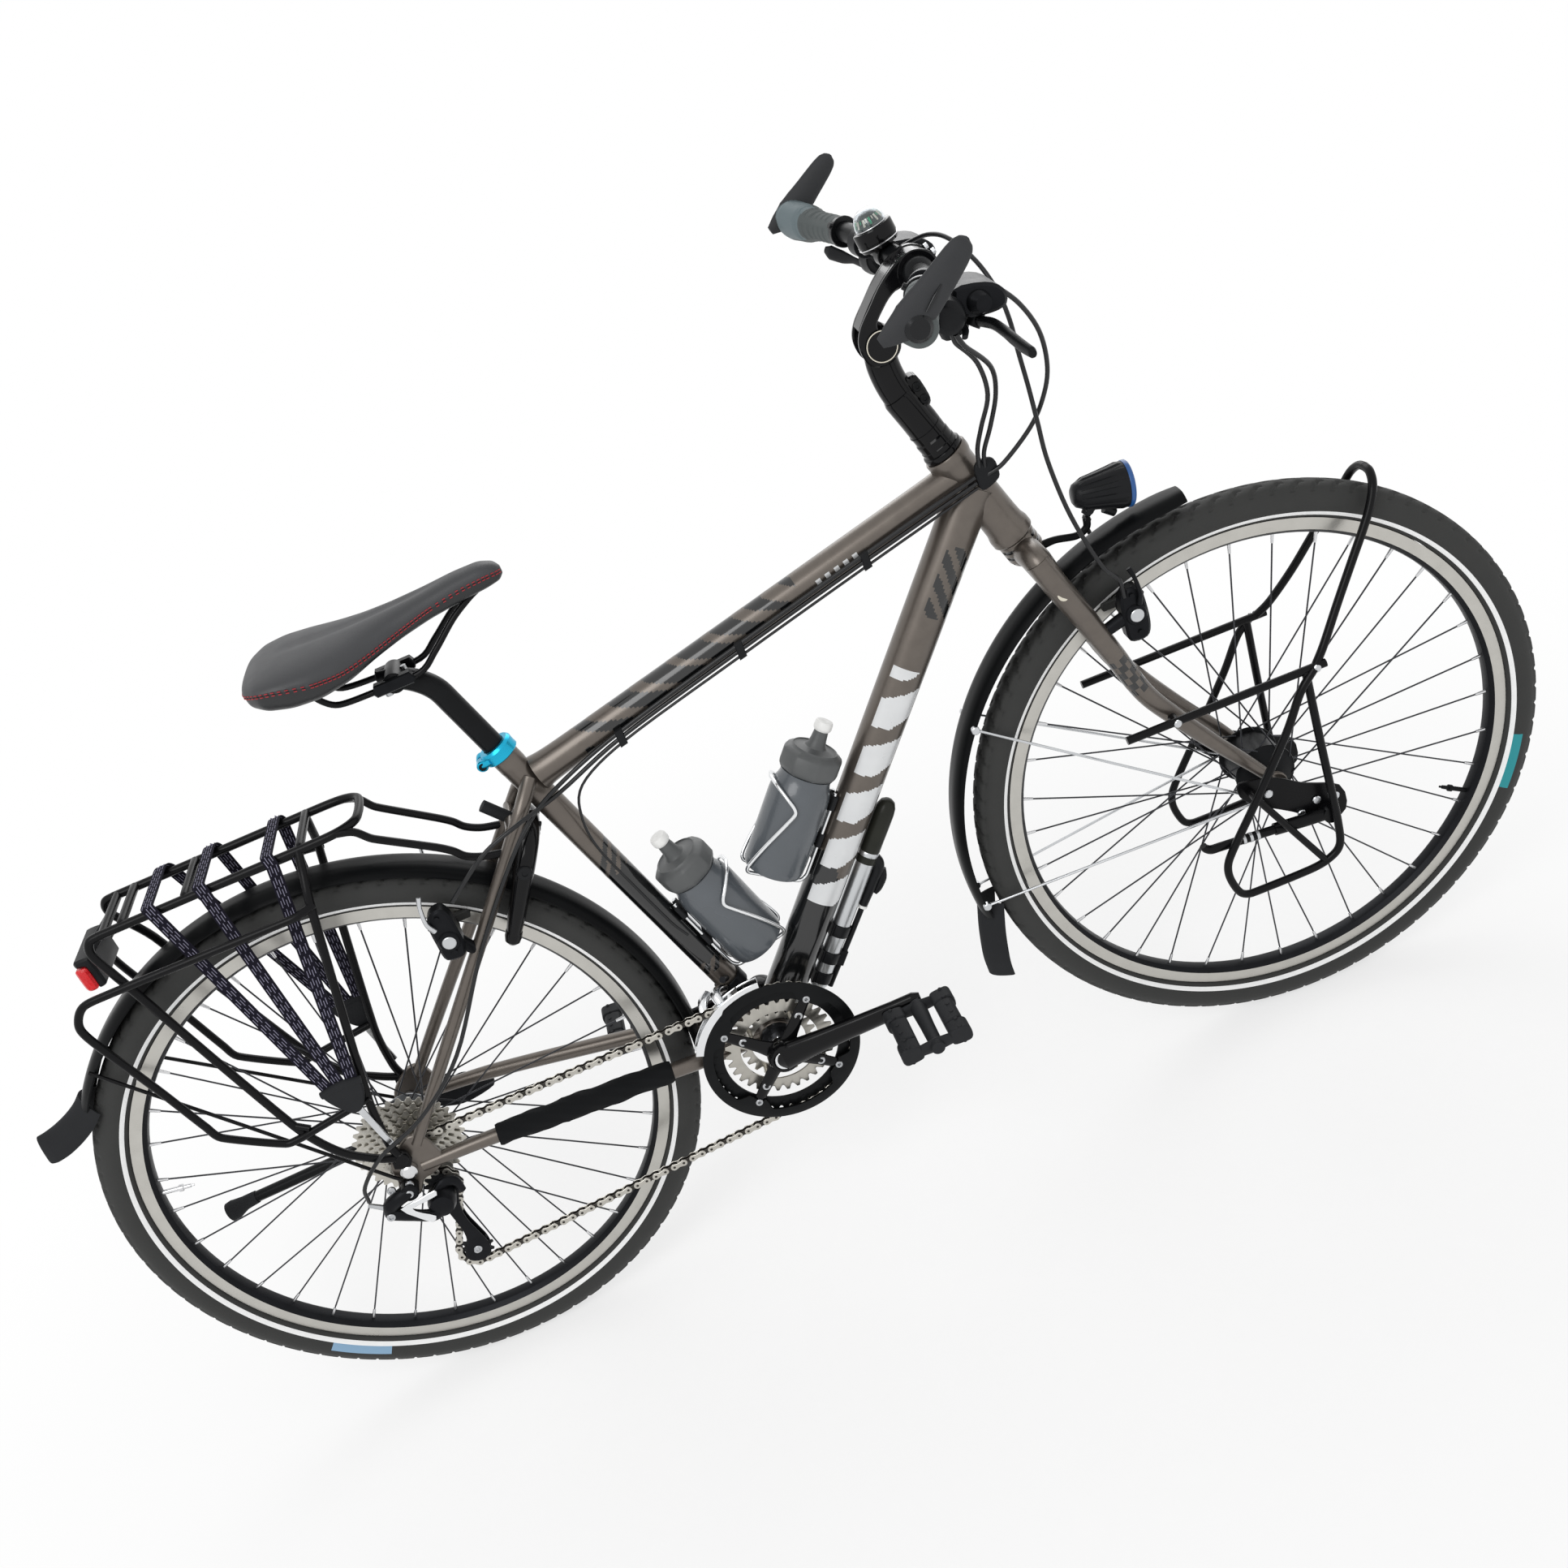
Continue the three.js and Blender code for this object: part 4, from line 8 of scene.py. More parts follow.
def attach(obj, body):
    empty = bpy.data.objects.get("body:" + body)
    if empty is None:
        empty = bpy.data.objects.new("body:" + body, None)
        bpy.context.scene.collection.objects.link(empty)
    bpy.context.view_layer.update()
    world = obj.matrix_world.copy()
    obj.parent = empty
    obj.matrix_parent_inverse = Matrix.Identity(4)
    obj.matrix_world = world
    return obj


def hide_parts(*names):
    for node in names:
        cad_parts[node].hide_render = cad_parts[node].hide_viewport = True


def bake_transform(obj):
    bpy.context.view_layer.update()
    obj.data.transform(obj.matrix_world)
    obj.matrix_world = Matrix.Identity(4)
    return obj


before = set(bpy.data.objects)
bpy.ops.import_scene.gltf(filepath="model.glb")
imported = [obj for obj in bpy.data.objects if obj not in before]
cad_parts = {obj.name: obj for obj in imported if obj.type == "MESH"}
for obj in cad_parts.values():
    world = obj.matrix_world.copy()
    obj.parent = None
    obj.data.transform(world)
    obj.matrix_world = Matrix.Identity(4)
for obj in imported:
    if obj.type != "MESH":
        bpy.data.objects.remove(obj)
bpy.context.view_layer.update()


# The studio: a pale floor that fades into a white surround, one large soft lamp over the near side
# and a weaker one behind. The camera stands above the drive side, rolled so that the bicycle climbs
# from the lower left to the upper right.
def colour(code):
    """A linear colour from an sRGB hex code."""
    parts = [int(code[i:i + 2], 16) / 255 for i in (1, 3, 5)]
    return [c / 12.92 if c <= 0.04045 else ((c + 0.055) / 1.055) ** 2.4 for c in parts] + [1]


def add_node(tree, kind, settings=None, links=None):
    """A node with its input values or attributes set and its inputs linked from other sockets."""
    node = tree.nodes.new(kind)
    for key, value in (settings or {}).items():
        if isinstance(key, str) and hasattr(node, key) and key not in node.inputs:
            setattr(node, key, value)
        else:
            node.inputs[key].default_value = value
    for key, socket in (links or {}).items():
        tree.links.new(socket, node.inputs[key])
    return node


def blank_material(name):
    material = bpy.data.materials.new(name)
    material.use_nodes = True
    material.node_tree.nodes.clear()
    return material, material.node_tree


camera = bpy.data.objects.new("camera", bpy.data.cameras.new("camera"))
bpy.context.collection.objects.link(camera)
camera.data.lens = 35.06
camera.data.sensor_width = 36
camera.data.clip_end = 60
camera_right = Vector((0.917780, -0.202006, -0.341866))
camera_up = Vector((0.396441, 0.416990, 0.817896))
camera_back = Vector((-0.022665, -0.886179, 0.462789))
camera_place = Vector((0.543043, -1.566052, 1.407862))
turned = Matrix((camera_right, camera_up, camera_back)).transposed()
camera.matrix_world = Matrix.Translation(camera_place) @ turned.to_4x4()
bpy.context.scene.camera = camera
bpy.context.scene.view_settings.view_transform = "Standard"

world = bpy.data.worlds.new("studio")
world.use_nodes = True
tree = world.node_tree
tree.nodes.clear()
paths = add_node(tree, "ShaderNodeLightPath")
seen = add_node(tree, "ShaderNodeMath", {"operation": "ADD"}, {0: paths.outputs["Is Camera Ray"],
    1: paths.outputs["Is Glossy Ray"]})
seen = add_node(tree, "ShaderNodeMath", {"operation": "ADD", "use_clamp": True},
    {0: seen.outputs[0], 1: paths.outputs["Is Transmission Ray"]})
# the sky is pure white where it is seen, and weaker as a light
sky_light, sky_seen = 0.62, 1.0
strength = add_node(tree, "ShaderNodeMapRange", {3: sky_light, 4: sky_seen}, {0: seen.outputs[0]})
sky = add_node(tree, "ShaderNodeBackground", {"Color": (1, 1, 1, 1)}, {"Strength": strength.outputs[0]})
add_node(tree, "ShaderNodeOutputWorld", links={"Surface": sky.outputs[0]})
bpy.context.scene.world = world

for name, place, aim, size, power in (("key lamp", (-0.6, -1.9, 2.6), (0.5, 0, 0.5), 1.6, 30),
        ("back lamp", (1.4, 2.2, 2.2), (0.6, 0, 0.6), 2.0, 22)):
    lamp = bpy.data.objects.new(name, bpy.data.lights.new(name, "AREA"))
    bpy.context.collection.objects.link(lamp)
    lamp.data.size = size
    lamp.data.energy = power
    lamp.location = place
    lamp.rotation_euler = (Vector(aim) - Vector(place)).to_track_quat("-Z", "Y").to_euler()

floor_mesh = bpy.data.meshes.new("floor")
floor_mesh.from_pydata([(-20, -20, 0), (20, -20, 0), (20, 20, 0), (-20, 20, 0)], [], [(0, 1, 2, 3)])
floor = bpy.data.objects.new("floor", floor_mesh)
bpy.context.collection.objects.link(floor)
floor.location.z = -0.001
pale_floor, tree = blank_material("pale studio floor")
coords = add_node(tree, "ShaderNodeTexCoord")
# the floor catches shadow under the bicycle and fades to white away from it
fade_middle = (0.55, 0, 0)
fade_start, fade_end, least_white = 0.55, 1.7, 0.66
reach = add_node(tree, "ShaderNodeVectorMath", {"operation": "DISTANCE", 1: fade_middle},
    {0: coords.outputs["Object"]})
fade = add_node(tree, "ShaderNodeMapRange", {1: fade_start, 2: fade_end, 3: least_white,
    "interpolation_type": "SMOOTHSTEP"}, {0: reach.outputs["Value"]})
mottle = add_node(tree, "ShaderNodeTexNoise", {"Scale": 40.0, "Detail": 4.0},
    {"Vector": coords.outputs["Object"]})
shade = add_node(tree, "ShaderNodeMix", {"data_type": "RGBA", 6: colour("#fbfbfb"), 7: colour("#ffffff")},
    {0: mottle.outputs[0]})
matte = add_node(tree, "ShaderNodeBsdfDiffuse", links={"Color": shade.outputs[2]})
white = add_node(tree, "ShaderNodeEmission", {"Color": (1, 1, 1, 1), "Strength": 1.0})
both = add_node(tree, "ShaderNodeMixShader", links={0: fade.outputs[0], 1: matte.outputs[0],
    2: white.outputs[0]})
add_node(tree, "ShaderNodeOutputMaterial", links={"Surface": both.outputs[0]})
floor_mesh.materials.append(pale_floor)


# The wheels: butyl tyres with a block tread and a reflective line, double-wall rims with machined
# brake tracks, 36 crossed steel spokes with brass nipples, a cassette hub behind and a dynamo drum
# in front. The front wheel turns with the fork, so its points go through the resting steer angle.
def surface(name, main, other=None, *, rough, grain, metal=0.0, bump=0.1, spread=0.08,
        stretch=(1, 1, 1), shine=None, coat=(), **shader):
    """A material whose colour, roughness and relief all vary with one noise of the given grain in metres.

    shine lowers the mirror part of a black finish, and coat holds a clear coat's weight and roughness.
    """
    material, tree = blank_material(name)
    coords = add_node(tree, "ShaderNodeTexCoord")
    fit = add_node(tree, "ShaderNodeMapping", {"Scale": stretch}, {"Vector": coords.outputs["Object"]})
    fine = add_node(tree, "ShaderNodeTexNoise", {"Scale": 1 / grain, "Detail": 5.0, "Roughness": 0.6},
        {"Vector": fit.outputs[0]})
    broad = add_node(tree, "ShaderNodeTexNoise", {"Scale": 0.09 / grain, "Detail": 3.0},
        {"Vector": fit.outputs[0]})
    blend = add_node(tree, "ShaderNodeMix", {"data_type": "RGBA", 6: colour(main),
        7: colour(other or main)}, {0: broad.outputs[0]})
    worn = add_node(tree, "ShaderNodeMapRange", {3: max(rough - spread, 0.02), 4: rough + spread},
        {0: broad.outputs[0]})
    relief = add_node(tree, "ShaderNodeBump", {"Strength": bump, "Distance": grain * 0.5},
        {"Height": fine.outputs[0]})
    settings = {"Metallic": metal, **shader, **dict(zip(("Coat Weight", "Coat Roughness"), coat))}
    if shine is not None:
        settings["Specular IOR Level"] = shine
    body = add_node(tree, "ShaderNodeBsdfPrincipled", settings, {"Base Color": blend.outputs[2],
        "Roughness": worn.outputs[0], "Normal": relief.outputs[0]})
    add_node(tree, "ShaderNodeOutputMaterial", links={"Surface": body.outputs[0]})
    return material


steer_foot = Vector((1084.2, 0, 340.3))
head_way = Vector((-0.35347, 0, 0.93544))
rest_angle = math.radians(-3.68)
rest_turn = Matrix.Rotation(rest_angle, 4, head_way)
steer = Matrix.Translation(steer_foot) @ rest_turn @ Matrix.Translation(-steer_foot)


sideways = Vector((0, 1, 0))
steered_bodies = "fork_body", "front_wheel", "front_stand", "front_lamp", "bars", "left_lever", "right_lever"


def piece(name, shape, materials, body="frame_body", pick=None, sharp=32, hides=None):
    """A mesh from points and faces in mm that rides on a CAD body, the frame unless told; given a tuple of
    bodies and two ends, it is baked where it stands on no body, and the ends are not used.

    pick gives a face's material from its centre, sharp is the angle of a hard edge in degrees, and hides
    names the CAD node that the piece stands for. What turns with the fork is modelled as steered straight.
    """
    points, faces = shape
    steered = body in steered_bodies
    mesh = bpy.data.meshes.new(name)
    mesh.from_pydata([(steer @ Vector(p) if steered else Vector(p)) / 1000 for p in points], [], faces)
    shaped = bmesh.new()
    shaped.from_mesh(mesh)
    bmesh.ops.remove_doubles(shaped, verts=shaped.verts, dist=1e-6)
    bmesh.ops.recalc_face_normals(shaped, faces=shaped.faces)
    for edge in shaped.edges:
        edge.smooth = edge.calc_face_angle(0) < math.radians(sharp)
    for face in shaped.faces:
        face.smooth = True
    shaped.to_mesh(mesh)
    shaped.free()
    for material in materials if isinstance(materials, (list, tuple)) else [materials]:
        mesh.materials.append(material)
    if pick:
        straight_ahead = steer.inverted() if steered else Matrix()
        for polygon in mesh.polygons:
            polygon.material_index = pick(straight_ahead @ (polygon.center * 1000))
    made = bpy.data.objects.new(name.replace(" ", "_"), mesh)
    bpy.context.collection.objects.link(made)
    if isinstance(body, tuple):
        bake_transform(made)
    else:
        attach(made, body)
    if hides:
        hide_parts(hides)
    return made


def skin(points, around):
    """The points of a row of rings, with the faces between the rings and over both ends."""
    last = len(points) - around
    faces = [[i + k, i + around + k, i + around + (k + 1) % around, i + (k + 1) % around]
        for i in range(0, last, around) for k in range(around)]
    return points, faces + [list(range(around)), list(range(last, len(points)))]


def lathe(centre, axis, profile, steps, ripple=None):
    """Rings of (radius, height) points round an axis. ripple may change a point's radius with its angle."""
    axis = Vector(axis).normalized()
    across = axis.cross(Vector((0, 0, 1)) if abs(axis.z) < 0.9 else Vector((1, 0, 0))).normalized()
    third = axis.cross(across)
    points = []
    for i in range(steps):
        angle = 2 * math.pi * i / steps
        way = across * math.cos(angle) + third * math.sin(angle)
        for radius, height in profile:
            r = ripple(radius, height, angle) if ripple else radius
            points.append(Vector(centre) + way * r + axis * height)
    n = len(profile)
    faces = [[(i * n + k), ((i + 1) % steps * n + k), ((i + 1) % steps * n + (k + 1) % n),
        (i * n + (k + 1) % n)] for i in range(steps) for k in range(n) if k < n - 1 or profile[0][0] > 0]
    return points, faces


def joined(*parts):
    """Several (points, faces) shapes as one."""
    points, faces = [], []
    for some_points, some_faces in parts:
        faces += [[i + len(points) for i in face] for face in some_faces]
        points += list(some_points)
    return points, faces


def mirrored(*shapes):
    """Shapes and their mirror images across the middle plane, as one."""
    points, faces = joined(*shapes)
    return joined((points, faces), ([(x, -y, z) for x, y, z in points], faces))


def rod(start, end, radius, sides, end_radius=None):
    """A straight round bar with closed ends."""
    length = (Vector(end) - Vector(start)).length
    wide = radius if end_radius is None else end_radius
    return lathe(start, Vector(end) - Vector(start), [(0, 0), (radius, 0), (wide, length), (0, length)],
        sides)


# dull black rubber with a faint dusty cast
tyre_rubber = surface("vulcanised tyre rubber", "#2b2c2b", "#373736", rough=0.72, grain=0.002, bump=0.25,
    shine=0.35)
# a flat silver-white line that lights up
reflex_line = surface("reflective tyre line", "#f1f2f2", "#ffffff", rough=0.45, grain=0.001, bump=0.1)
# clear blues on the sidewall
teal_print = surface("teal rubber print", "#1c8f96", rough=0.6, grain=0.002)
blue_print = surface("pale blue rubber print", "#86a9c6", rough=0.6, grain=0.002)
# bright track with fine turned lines
machined_rim = surface("machined aluminium brake track", "#b4b2ac", "#c5c3bd", rough=0.3, metal=1.0,
    grain=0.0015, bump=0.12)
# satin black between the tracks
black_rim = surface("black anodised rim", "#17181a", "#202124", rough=0.4, metal=0.6, grain=0.002,
    bump=0.08, shine=0.14)
# thin dark glints
spoke_steel = surface("black oxidised spoke steel", "#2c2d30", "#4b4c50", rough=0.32, metal=0.9,
    grain=0.003)
# small bright dots round the rim
nipple_brass = surface("nickel-plated brass", "#c8c9cb", "#e3e3e4", rough=0.25, metal=1.0, grain=0.002)
# soft grey sheen
hub_alloy = surface("forged hub aluminium", "#8e9093", "#a9abae", rough=0.34, metal=1.0, grain=0.003,
    bump=0.06)
# quiet black drum
drum_black = surface("black anodised drum", "#151617", "#1e1f21", rough=0.42, metal=0.5, grain=0.003,
    bump=0.08, shine=0.14)

tyre_profile = [(317.6, 12), (319.4, 14.6), (321.6, 16.8), (324, 18.6), (326.4, 20.2), (332, 22.4),
    (337, 23), (342, 22.3), (346, 20.6), (349, 18.6), (350.5, 17.6), (353, 16.6), (355, 14.5),
    (356.3, 11.5), (357.3, 8), (357.8, 5), (357.9, 2.4)]
tyre_profile += [(r, -h) for r, h in reversed(tyre_profile)]


def tread(radius, height, angle):
    """Grooves between the tread blocks, slanted outwards on both sides of a centre rib."""
    if radius < 350:
        return radius
    turn = angle * 92 / (2 * math.pi) + abs(height) * 0.045 + (0.5 if height > 0 else 0)
    groove = turn % 1 < 0.24 and abs(height) > 3.5
    return radius - (2.6 if groove else 0)


rim_profile = [(317, 12.3), (316, 12.5), (303, 12.5), (301, 10.5), (298.3, 7), (297.5, 4), (297.5, -4),
    (298.3, -7), (301, -10.5), (303, -12.5), (316, -12.5), (317, -12.3), (314, -9), (314, 9)]
line_band = (321.5, 326.5)
print_band = (329, 337)
print_half_angle = 6.5
spoke_count = 36
spoke_lean = math.radians(48)
rear_hub = Vector((0, 0, 358))
crank_centre = Vector((455, 0, 290))
front_hub = Vector((1131, 0, 358))


def wheel(prefix, centre, print_angle, print_material):
    """Tyre, rim, nipples and spokes round a hub centre, with one patch of print on the right sidewall."""
    body = prefix + "_wheel"

    def tyre_part(p):
        radius = math.hypot(p.x - centre[0], p.z - centre[2])
        angle = math.degrees(math.atan2(p.z - centre[2], p.x - centre[0]))
        if line_band[0] < radius < line_band[1]:
            return 1
        printed = print_band[0] < radius < print_band[1] and abs(angle - print_angle) < print_half_angle
        return 2 if printed and p.y < 0 else 0

    piece(prefix + " tyre", lathe(centre, sideways, tyre_profile, 920, tread),
        [tyre_rubber, reflex_line, print_material], body, tyre_part, 60, prefix + "_tyre")
    piece(prefix + " rim", lathe(centre, sideways, rim_profile, 144), [black_rim, machined_rim], body,
        lambda p: 1 if abs(p.y) > 12.2 else 0, 20, prefix + "_rim")
    flange_places, flange_radius = {"rear": ((-20.6, 33.6), 26), "front": ((-25.6, 25.6), 34)}[prefix]
    spokes, nipples = [], []
    for i in range(spoke_count):
        flange = flange_places[i % 2]
        pair = 1 if i // 2 % 2 == 0 else -1
        rim_angle = (i + 0.5) * 2 * math.pi / spoke_count
        hub_angle = rim_angle + pair * spoke_lean
        start = Vector((centre[0] + flange_radius * math.cos(hub_angle), flange + pair * 1.7,
            centre[2] + flange_radius * math.sin(hub_angle)))
        end = Vector((centre[0] + 298 * math.cos(rim_angle), flange * 0.06 + pair * 1.4,
            centre[2] + 298 * math.sin(rim_angle)))
        collar = end + (start - end).normalized() * 13
        spokes.append(rod(start, collar, 1.05, 8))
        nipples.append(rod(end, collar, 2.3, 8, 1.7))
    piece(prefix + " spokes", joined(*spokes), spoke_steel, body)
    piece(prefix + " nipples", joined(*nipples), nipple_brass, body)


wheel("rear", rear_hub, -126.7, blue_print)
wheel("front", front_hub, -22.0, teal_print)


rear_hub_profile = [(6.3, -22.2), (18, -22.2), (29, -21.8), (29.5, -20.6), (29, -19.4), (18, -19),
    (15.6, -15), (15, -6), (14.6, 4), (15, 18), (16, 27), (20, 31.4), (29, 32.2), (29.5, 33.6), (29, 34.8),
    (20, 35.2), (14, 35.4), (6.3, 35.4)]
piece("rear hub shell", lathe(rear_hub, sideways, rear_hub_profile, 48), hub_alloy, "rear_wheel",
    hides="rear_hub")
front_hub_profile = [(0, -49.6), (6, -49.6), (6, -44), (11.5, -43), (12, -37), (30, -30), (33, -27.6),
    (36.8, -27), (37.4, -25.6), (36.8, -24.2), (33, -23.6), (32.4, -20), (32.4, 20), (33, 23.6),
    (36.8, 24.2), (37.4, 25.6), (36.8, 27), (33, 27.6), (30, 30), (12, 37), (11.5, 43), (6, 44), (6, 49.6),
    (0, 49.6)]
piece("dynamo drum", lathe(front_hub, sideways, front_hub_profile, 64), drum_black, "front_wheel",
    hides="front_hub")


# The frame: welded aluminium tubes with smoothed joints under a satin bronze-grey lacquer, with
# glossy black and silver fields on the main tubes. Dropouts, bridges and bracket shell are one
# with it, and the rear axle is clamped between the dropouts.
def curve_points(points, steps, closed=False):
    """Points on a smooth curve through the given ones, each with its share of the way."""
    points = [Vector(p) for p in points]
    count = len(points)
    out = []
    last = count if closed else count - 1
    for i in range(last):
        a = points[(i - 1) % count] if closed or i > 0 else points[0] * 2 - points[1]
        b, c = points[i], points[(i + 1) % count]
        d = points[(i + 2) % count] if closed or i + 2 < count else c * 2 - b
        for k in range(steps):
            t = k / steps
            tension = min((b - a).length, (c - b).length) / max((b - a).length, (c - b).length, 1e-9)
            away = (c - a) * 0.5 * min(1, tension * 1.6)
            into = (d - b) * 0.5 * min(1, (c - b).length / max((d - c).length, 1e-9) * 1.6)
            h1, h2 = 2 * t ** 3 - 3 * t ** 2 + 1, t ** 3 - 2 * t ** 2 + t
            h3, h4 = -2 * t ** 3 + 3 * t ** 2, t ** 3 - t ** 2
            out.append((b * h1 + away * h2 + c * h3 + into * h4, i + t))
    if not closed:
        out.append((points[-1], count - 1))
    return out


def pipe(points, radius, sides, steps, flat=1.0):
    """A tube along a smooth path with one radius, or one for each point. flat squeezes it sideways."""
    path = curve_points(points, steps)
    radii = radius if isinstance(radius, list) else [radius] * len(points)
    line = [p for p, share in path]
    ways = [(after - before).normalized() for before, after in zip(line[:1] + line, line[1:] + line[-1:])]
    side = ways[0].cross(sideways)
    if side.length < 0.2:
        side = ways[0].cross(Vector((0, 0, 1)))
    rings = []
    for (p, share), way in zip(path, ways):
        side = (side - way * side.dot(way)).normalized()
        other = way.cross(side)
        low = min(int(share), len(radii) - 2)
        r = radii[low] + (radii[low + 1] - radii[low]) * (share - low)
        for k in range(sides):
            angle = 2 * math.pi * k / sides
            rings.append(p + side * r * math.cos(angle) + other * r * flat * math.sin(angle))
    return skin(rings, sides)


def straight(start, end, radius, sides, flare):
    """A straight tube in rings 2 mm apart that widens by flare where it meets its neighbours."""
    length = (end - start).length
    count = round(length / 2)
    profile = [(radius + flare * math.exp(-min(i, count - i) * length / count / 14), length * i / count)
        for i in range(count + 1)]
    return lathe(start, end - start, [(0, 0)] + profile + [(0, length)], sides)


def plate(outline, low, high, edge, bend=0):
    """A plate with soft edges from an (x, z) outline, from low to high along Y. bend curves the outline."""
    flat = [Vector(p) for p in outline]
    if bend:
        flat = [Vector((p.x, p.y)) for p, share in curve_points([(x, z, 0) for x, z in outline], bend, True)]
    turn = sum(a.x * b.y - b.x * a.y for a, b in zip(flat, flat[1:] + flat[:1]))
    inner = []
    for before, p, after in zip(flat[-1:] + flat, flat, flat[1:] + flat[:1]):
        way = (p - before).normalized() + (after - p).normalized()
        way = way.normalized() if way.length > 1e-6 else Vector((1, 0))
        inner.append(p + Vector((-way.y, way.x)) * math.copysign(edge, turn))
    rings = [(inner, low), (flat, low + edge), (flat, high - edge), (inner, high)]
    return skin([Vector((p.x, y, p.y)) for ring, y in rings for p in ring], len(flat))


# warm grey-bronze with a soft flake that lifts in the highlights
bronze_lacquer = surface("satin bronze-grey metallic lacquer", "#5d5650", "#6b645d", rough=0.34,
    metal=0.72, grain=0.0012, bump=0.05, spread=0.05, coat=(0.35, 0.22))
# deep black fields that mirror the lamps; on the fork crown it is also the painted shade inside the slots
gloss_lacquer = surface("gloss black lacquer", "#0c0d0e", "#121314", rough=0.16, grain=0.003, bump=0.02,
    spread=0.04, coat=(0.5, 0.05))
# pale metallic bars
silver_lacquer = surface("silver-white lacquer", "#d3d5d6", "#e2e3e4", rough=0.3, metal=0.25, grain=0.002,
    bump=0.03)

seat_foot = crank_centre
seat_way = Vector((-0.2935, 0, 0.956))
head_foot = Vector((924.4, 0, 763.1))
top_tube_ends = Vector((336, 0, 726)), Vector((890, 0, 853))
down_tube_ends = Vector((898, 0, 836)), Vector((466, 0, 303))


def along(p, start, end):
    """How far along and how far beside a line a point lies, both in mm."""
    way = (end - start).normalized()
    beside = Vector((-way.z, 0, way.x))
    return (p - start).dot(way), (p - start).dot(beside)


def down_tube_paint(p):
    s, v = along(p, *down_tube_ends)
    if abs(p.y) > 8 and 214 < s < 520 and abs(v) < 19 and (s + v * 0.55) % 61 < 43 - abs(v) * 0.4:
        return 2
    if s > 470 + v * 0.9 + 12 * math.sin(v / 6):
        return 1
    if 66 < s < 150 and (s - v * 1.2) % 28 < 16 and v * math.copysign(1, p.z) > -12:
        return 1
    return 0


def top_tube_paint(p):
    s, v = along(p, *top_tube_ends)
    if 60 < s < 352 and v > -11:
        wave = (s + v * 1.6) % 46
        return 1 if wave < 12 + 22 * math.sin(math.pi * (s - 60) / 292) else 0
    return 2 if 366 < s < 430 and abs(v) < 3 and p.y < 0 and s % 12 < 7 else 0


def seat_tube_paint(p):
    s, v = along(p, seat_foot, seat_foot + seat_way)
    if 118 < s < 330 - v * 0.8:
        return 1 if 135 < s < 300 or (s + v) % 16 < 9 else 0
    return 0


paints = [bronze_lacquer, gloss_lacquer, silver_lacquer]
piece("down tube", straight(*down_tube_ends, 25, 56, 1.6), paints, pick=down_tube_paint, hides="frame")
piece("top tube", straight(*top_tube_ends, 18.5, 44, 2.6), paints, pick=top_tube_paint)
seat_tube = [(0, 0), (17.5, 2), (16.4, 40)] + [(16, 44 + i * 2) for i in range(216)]
seat_tube += [(16.4, 478), (16.4, 492), (15.8, 493.6), (13.8, 494), (13.8, 470), (0, 470)]
piece("seat tube", lathe(seat_foot, seat_way, seat_tube, 44), paints, pick=seat_tube_paint)
head_tube = [(17.4, 0), (24, 0), (25, 1.5), (25, 9), (24.4, 12), (23, 17), (22.6, 30), (22.6, 100),
    (23, 112), (24.4, 116), (25, 119), (25, 126), (24, 127.6), (17.4, 127.6)]
piece("head tube", lathe(head_foot, head_way, head_tube, 56), bronze_lacquer)
chainstay = [(450, 20, 292), (400, 30, 300), (343, 43, 311), (230, 54.5, 328), (100, 66, 346), (14, 71, 352)]
seatstay = [(326, 12, 729), (300, 33, 701), (222, 43.5, 611), (100, 60, 473), (22, 71, 384)]
bracket_shell = [(12.6, -34), (21.4, -34), (22.4, -33), (22.4, 33), (21.4, 34), (12.6, 34)]
piece("stays and shell", joined(
    mirrored(pipe(chainstay, [12, 11, 10, 9.6, 9, 7.5], 20, 10),
        pipe(seatstay, [9, 8.6, 8.2, 7.8, 7], 20, 10)),
    rod((284, -33, 688), (284, 33, 688), 6.5, 20),
    rod((388, -31, 306), (388, 31, 306), 6.5, 20),
    lathe(crank_centre, sideways, bracket_shell, 56)), bronze_lacquer)
dropout = [(-20, 346), (-16, 372), (14, 397), (32, 392), (42, 352), (24, 338), (8, 334), (-4, 318),
    (-22, 318), (-24, 334)]
piece("dropouts", mirrored(plate(dropout, 67.8, 74.2, 1.2, bend=4)), bronze_lacquer)

# black cups with a fine knurl beside the shell
cup_alloy = surface("black anodised bracket cup", "#1a1b1d", "#26272a", rough=0.36, metal=0.7,
    grain=0.0015, bump=0.2)


def knurl(radius, height, angle):
    return radius - (0.7 if radius > 21 and math.sin(angle * 16) > 0.4 else 0)


cup = [(12.4, 34.1), (21.6, 34.1), (21.6, 39), (20.4, 41), (12.4, 41.6)]
piece("bracket cups", joined(*[lathe(crank_centre, sideways * side, cup, 64, knurl) for side in (-1, 1)]),
    cup_alloy)
axle = [(0, -67.2), (8.6, -67.2), (9, -66.6), (9, -60.4), (6, -60.4), (6, 35.6), (9, 35.6), (9, 52),
    (8, 54), (9, 56), (9, 66.6), (8.6, 67.2), (0, 67.2)]
piece("rear axle", lathe(rear_hub, sideways, axle, 32), hub_alloy, hides="rear_axle")
# bright locknuts and quick-release ends outside the dropouts
piece("skewer ends", joined(
    lathe(rear_hub, -sideways, [(0, 74.6), (10, 74.6), (10.6, 76), (10, 82), (7, 84.5), (0, 85)], 24),
    lathe(rear_hub, sideways, [(0, 74.6), (9, 74.6), (9.4, 76), (8.6, 81), (0, 82)], 24)), nipple_brass)

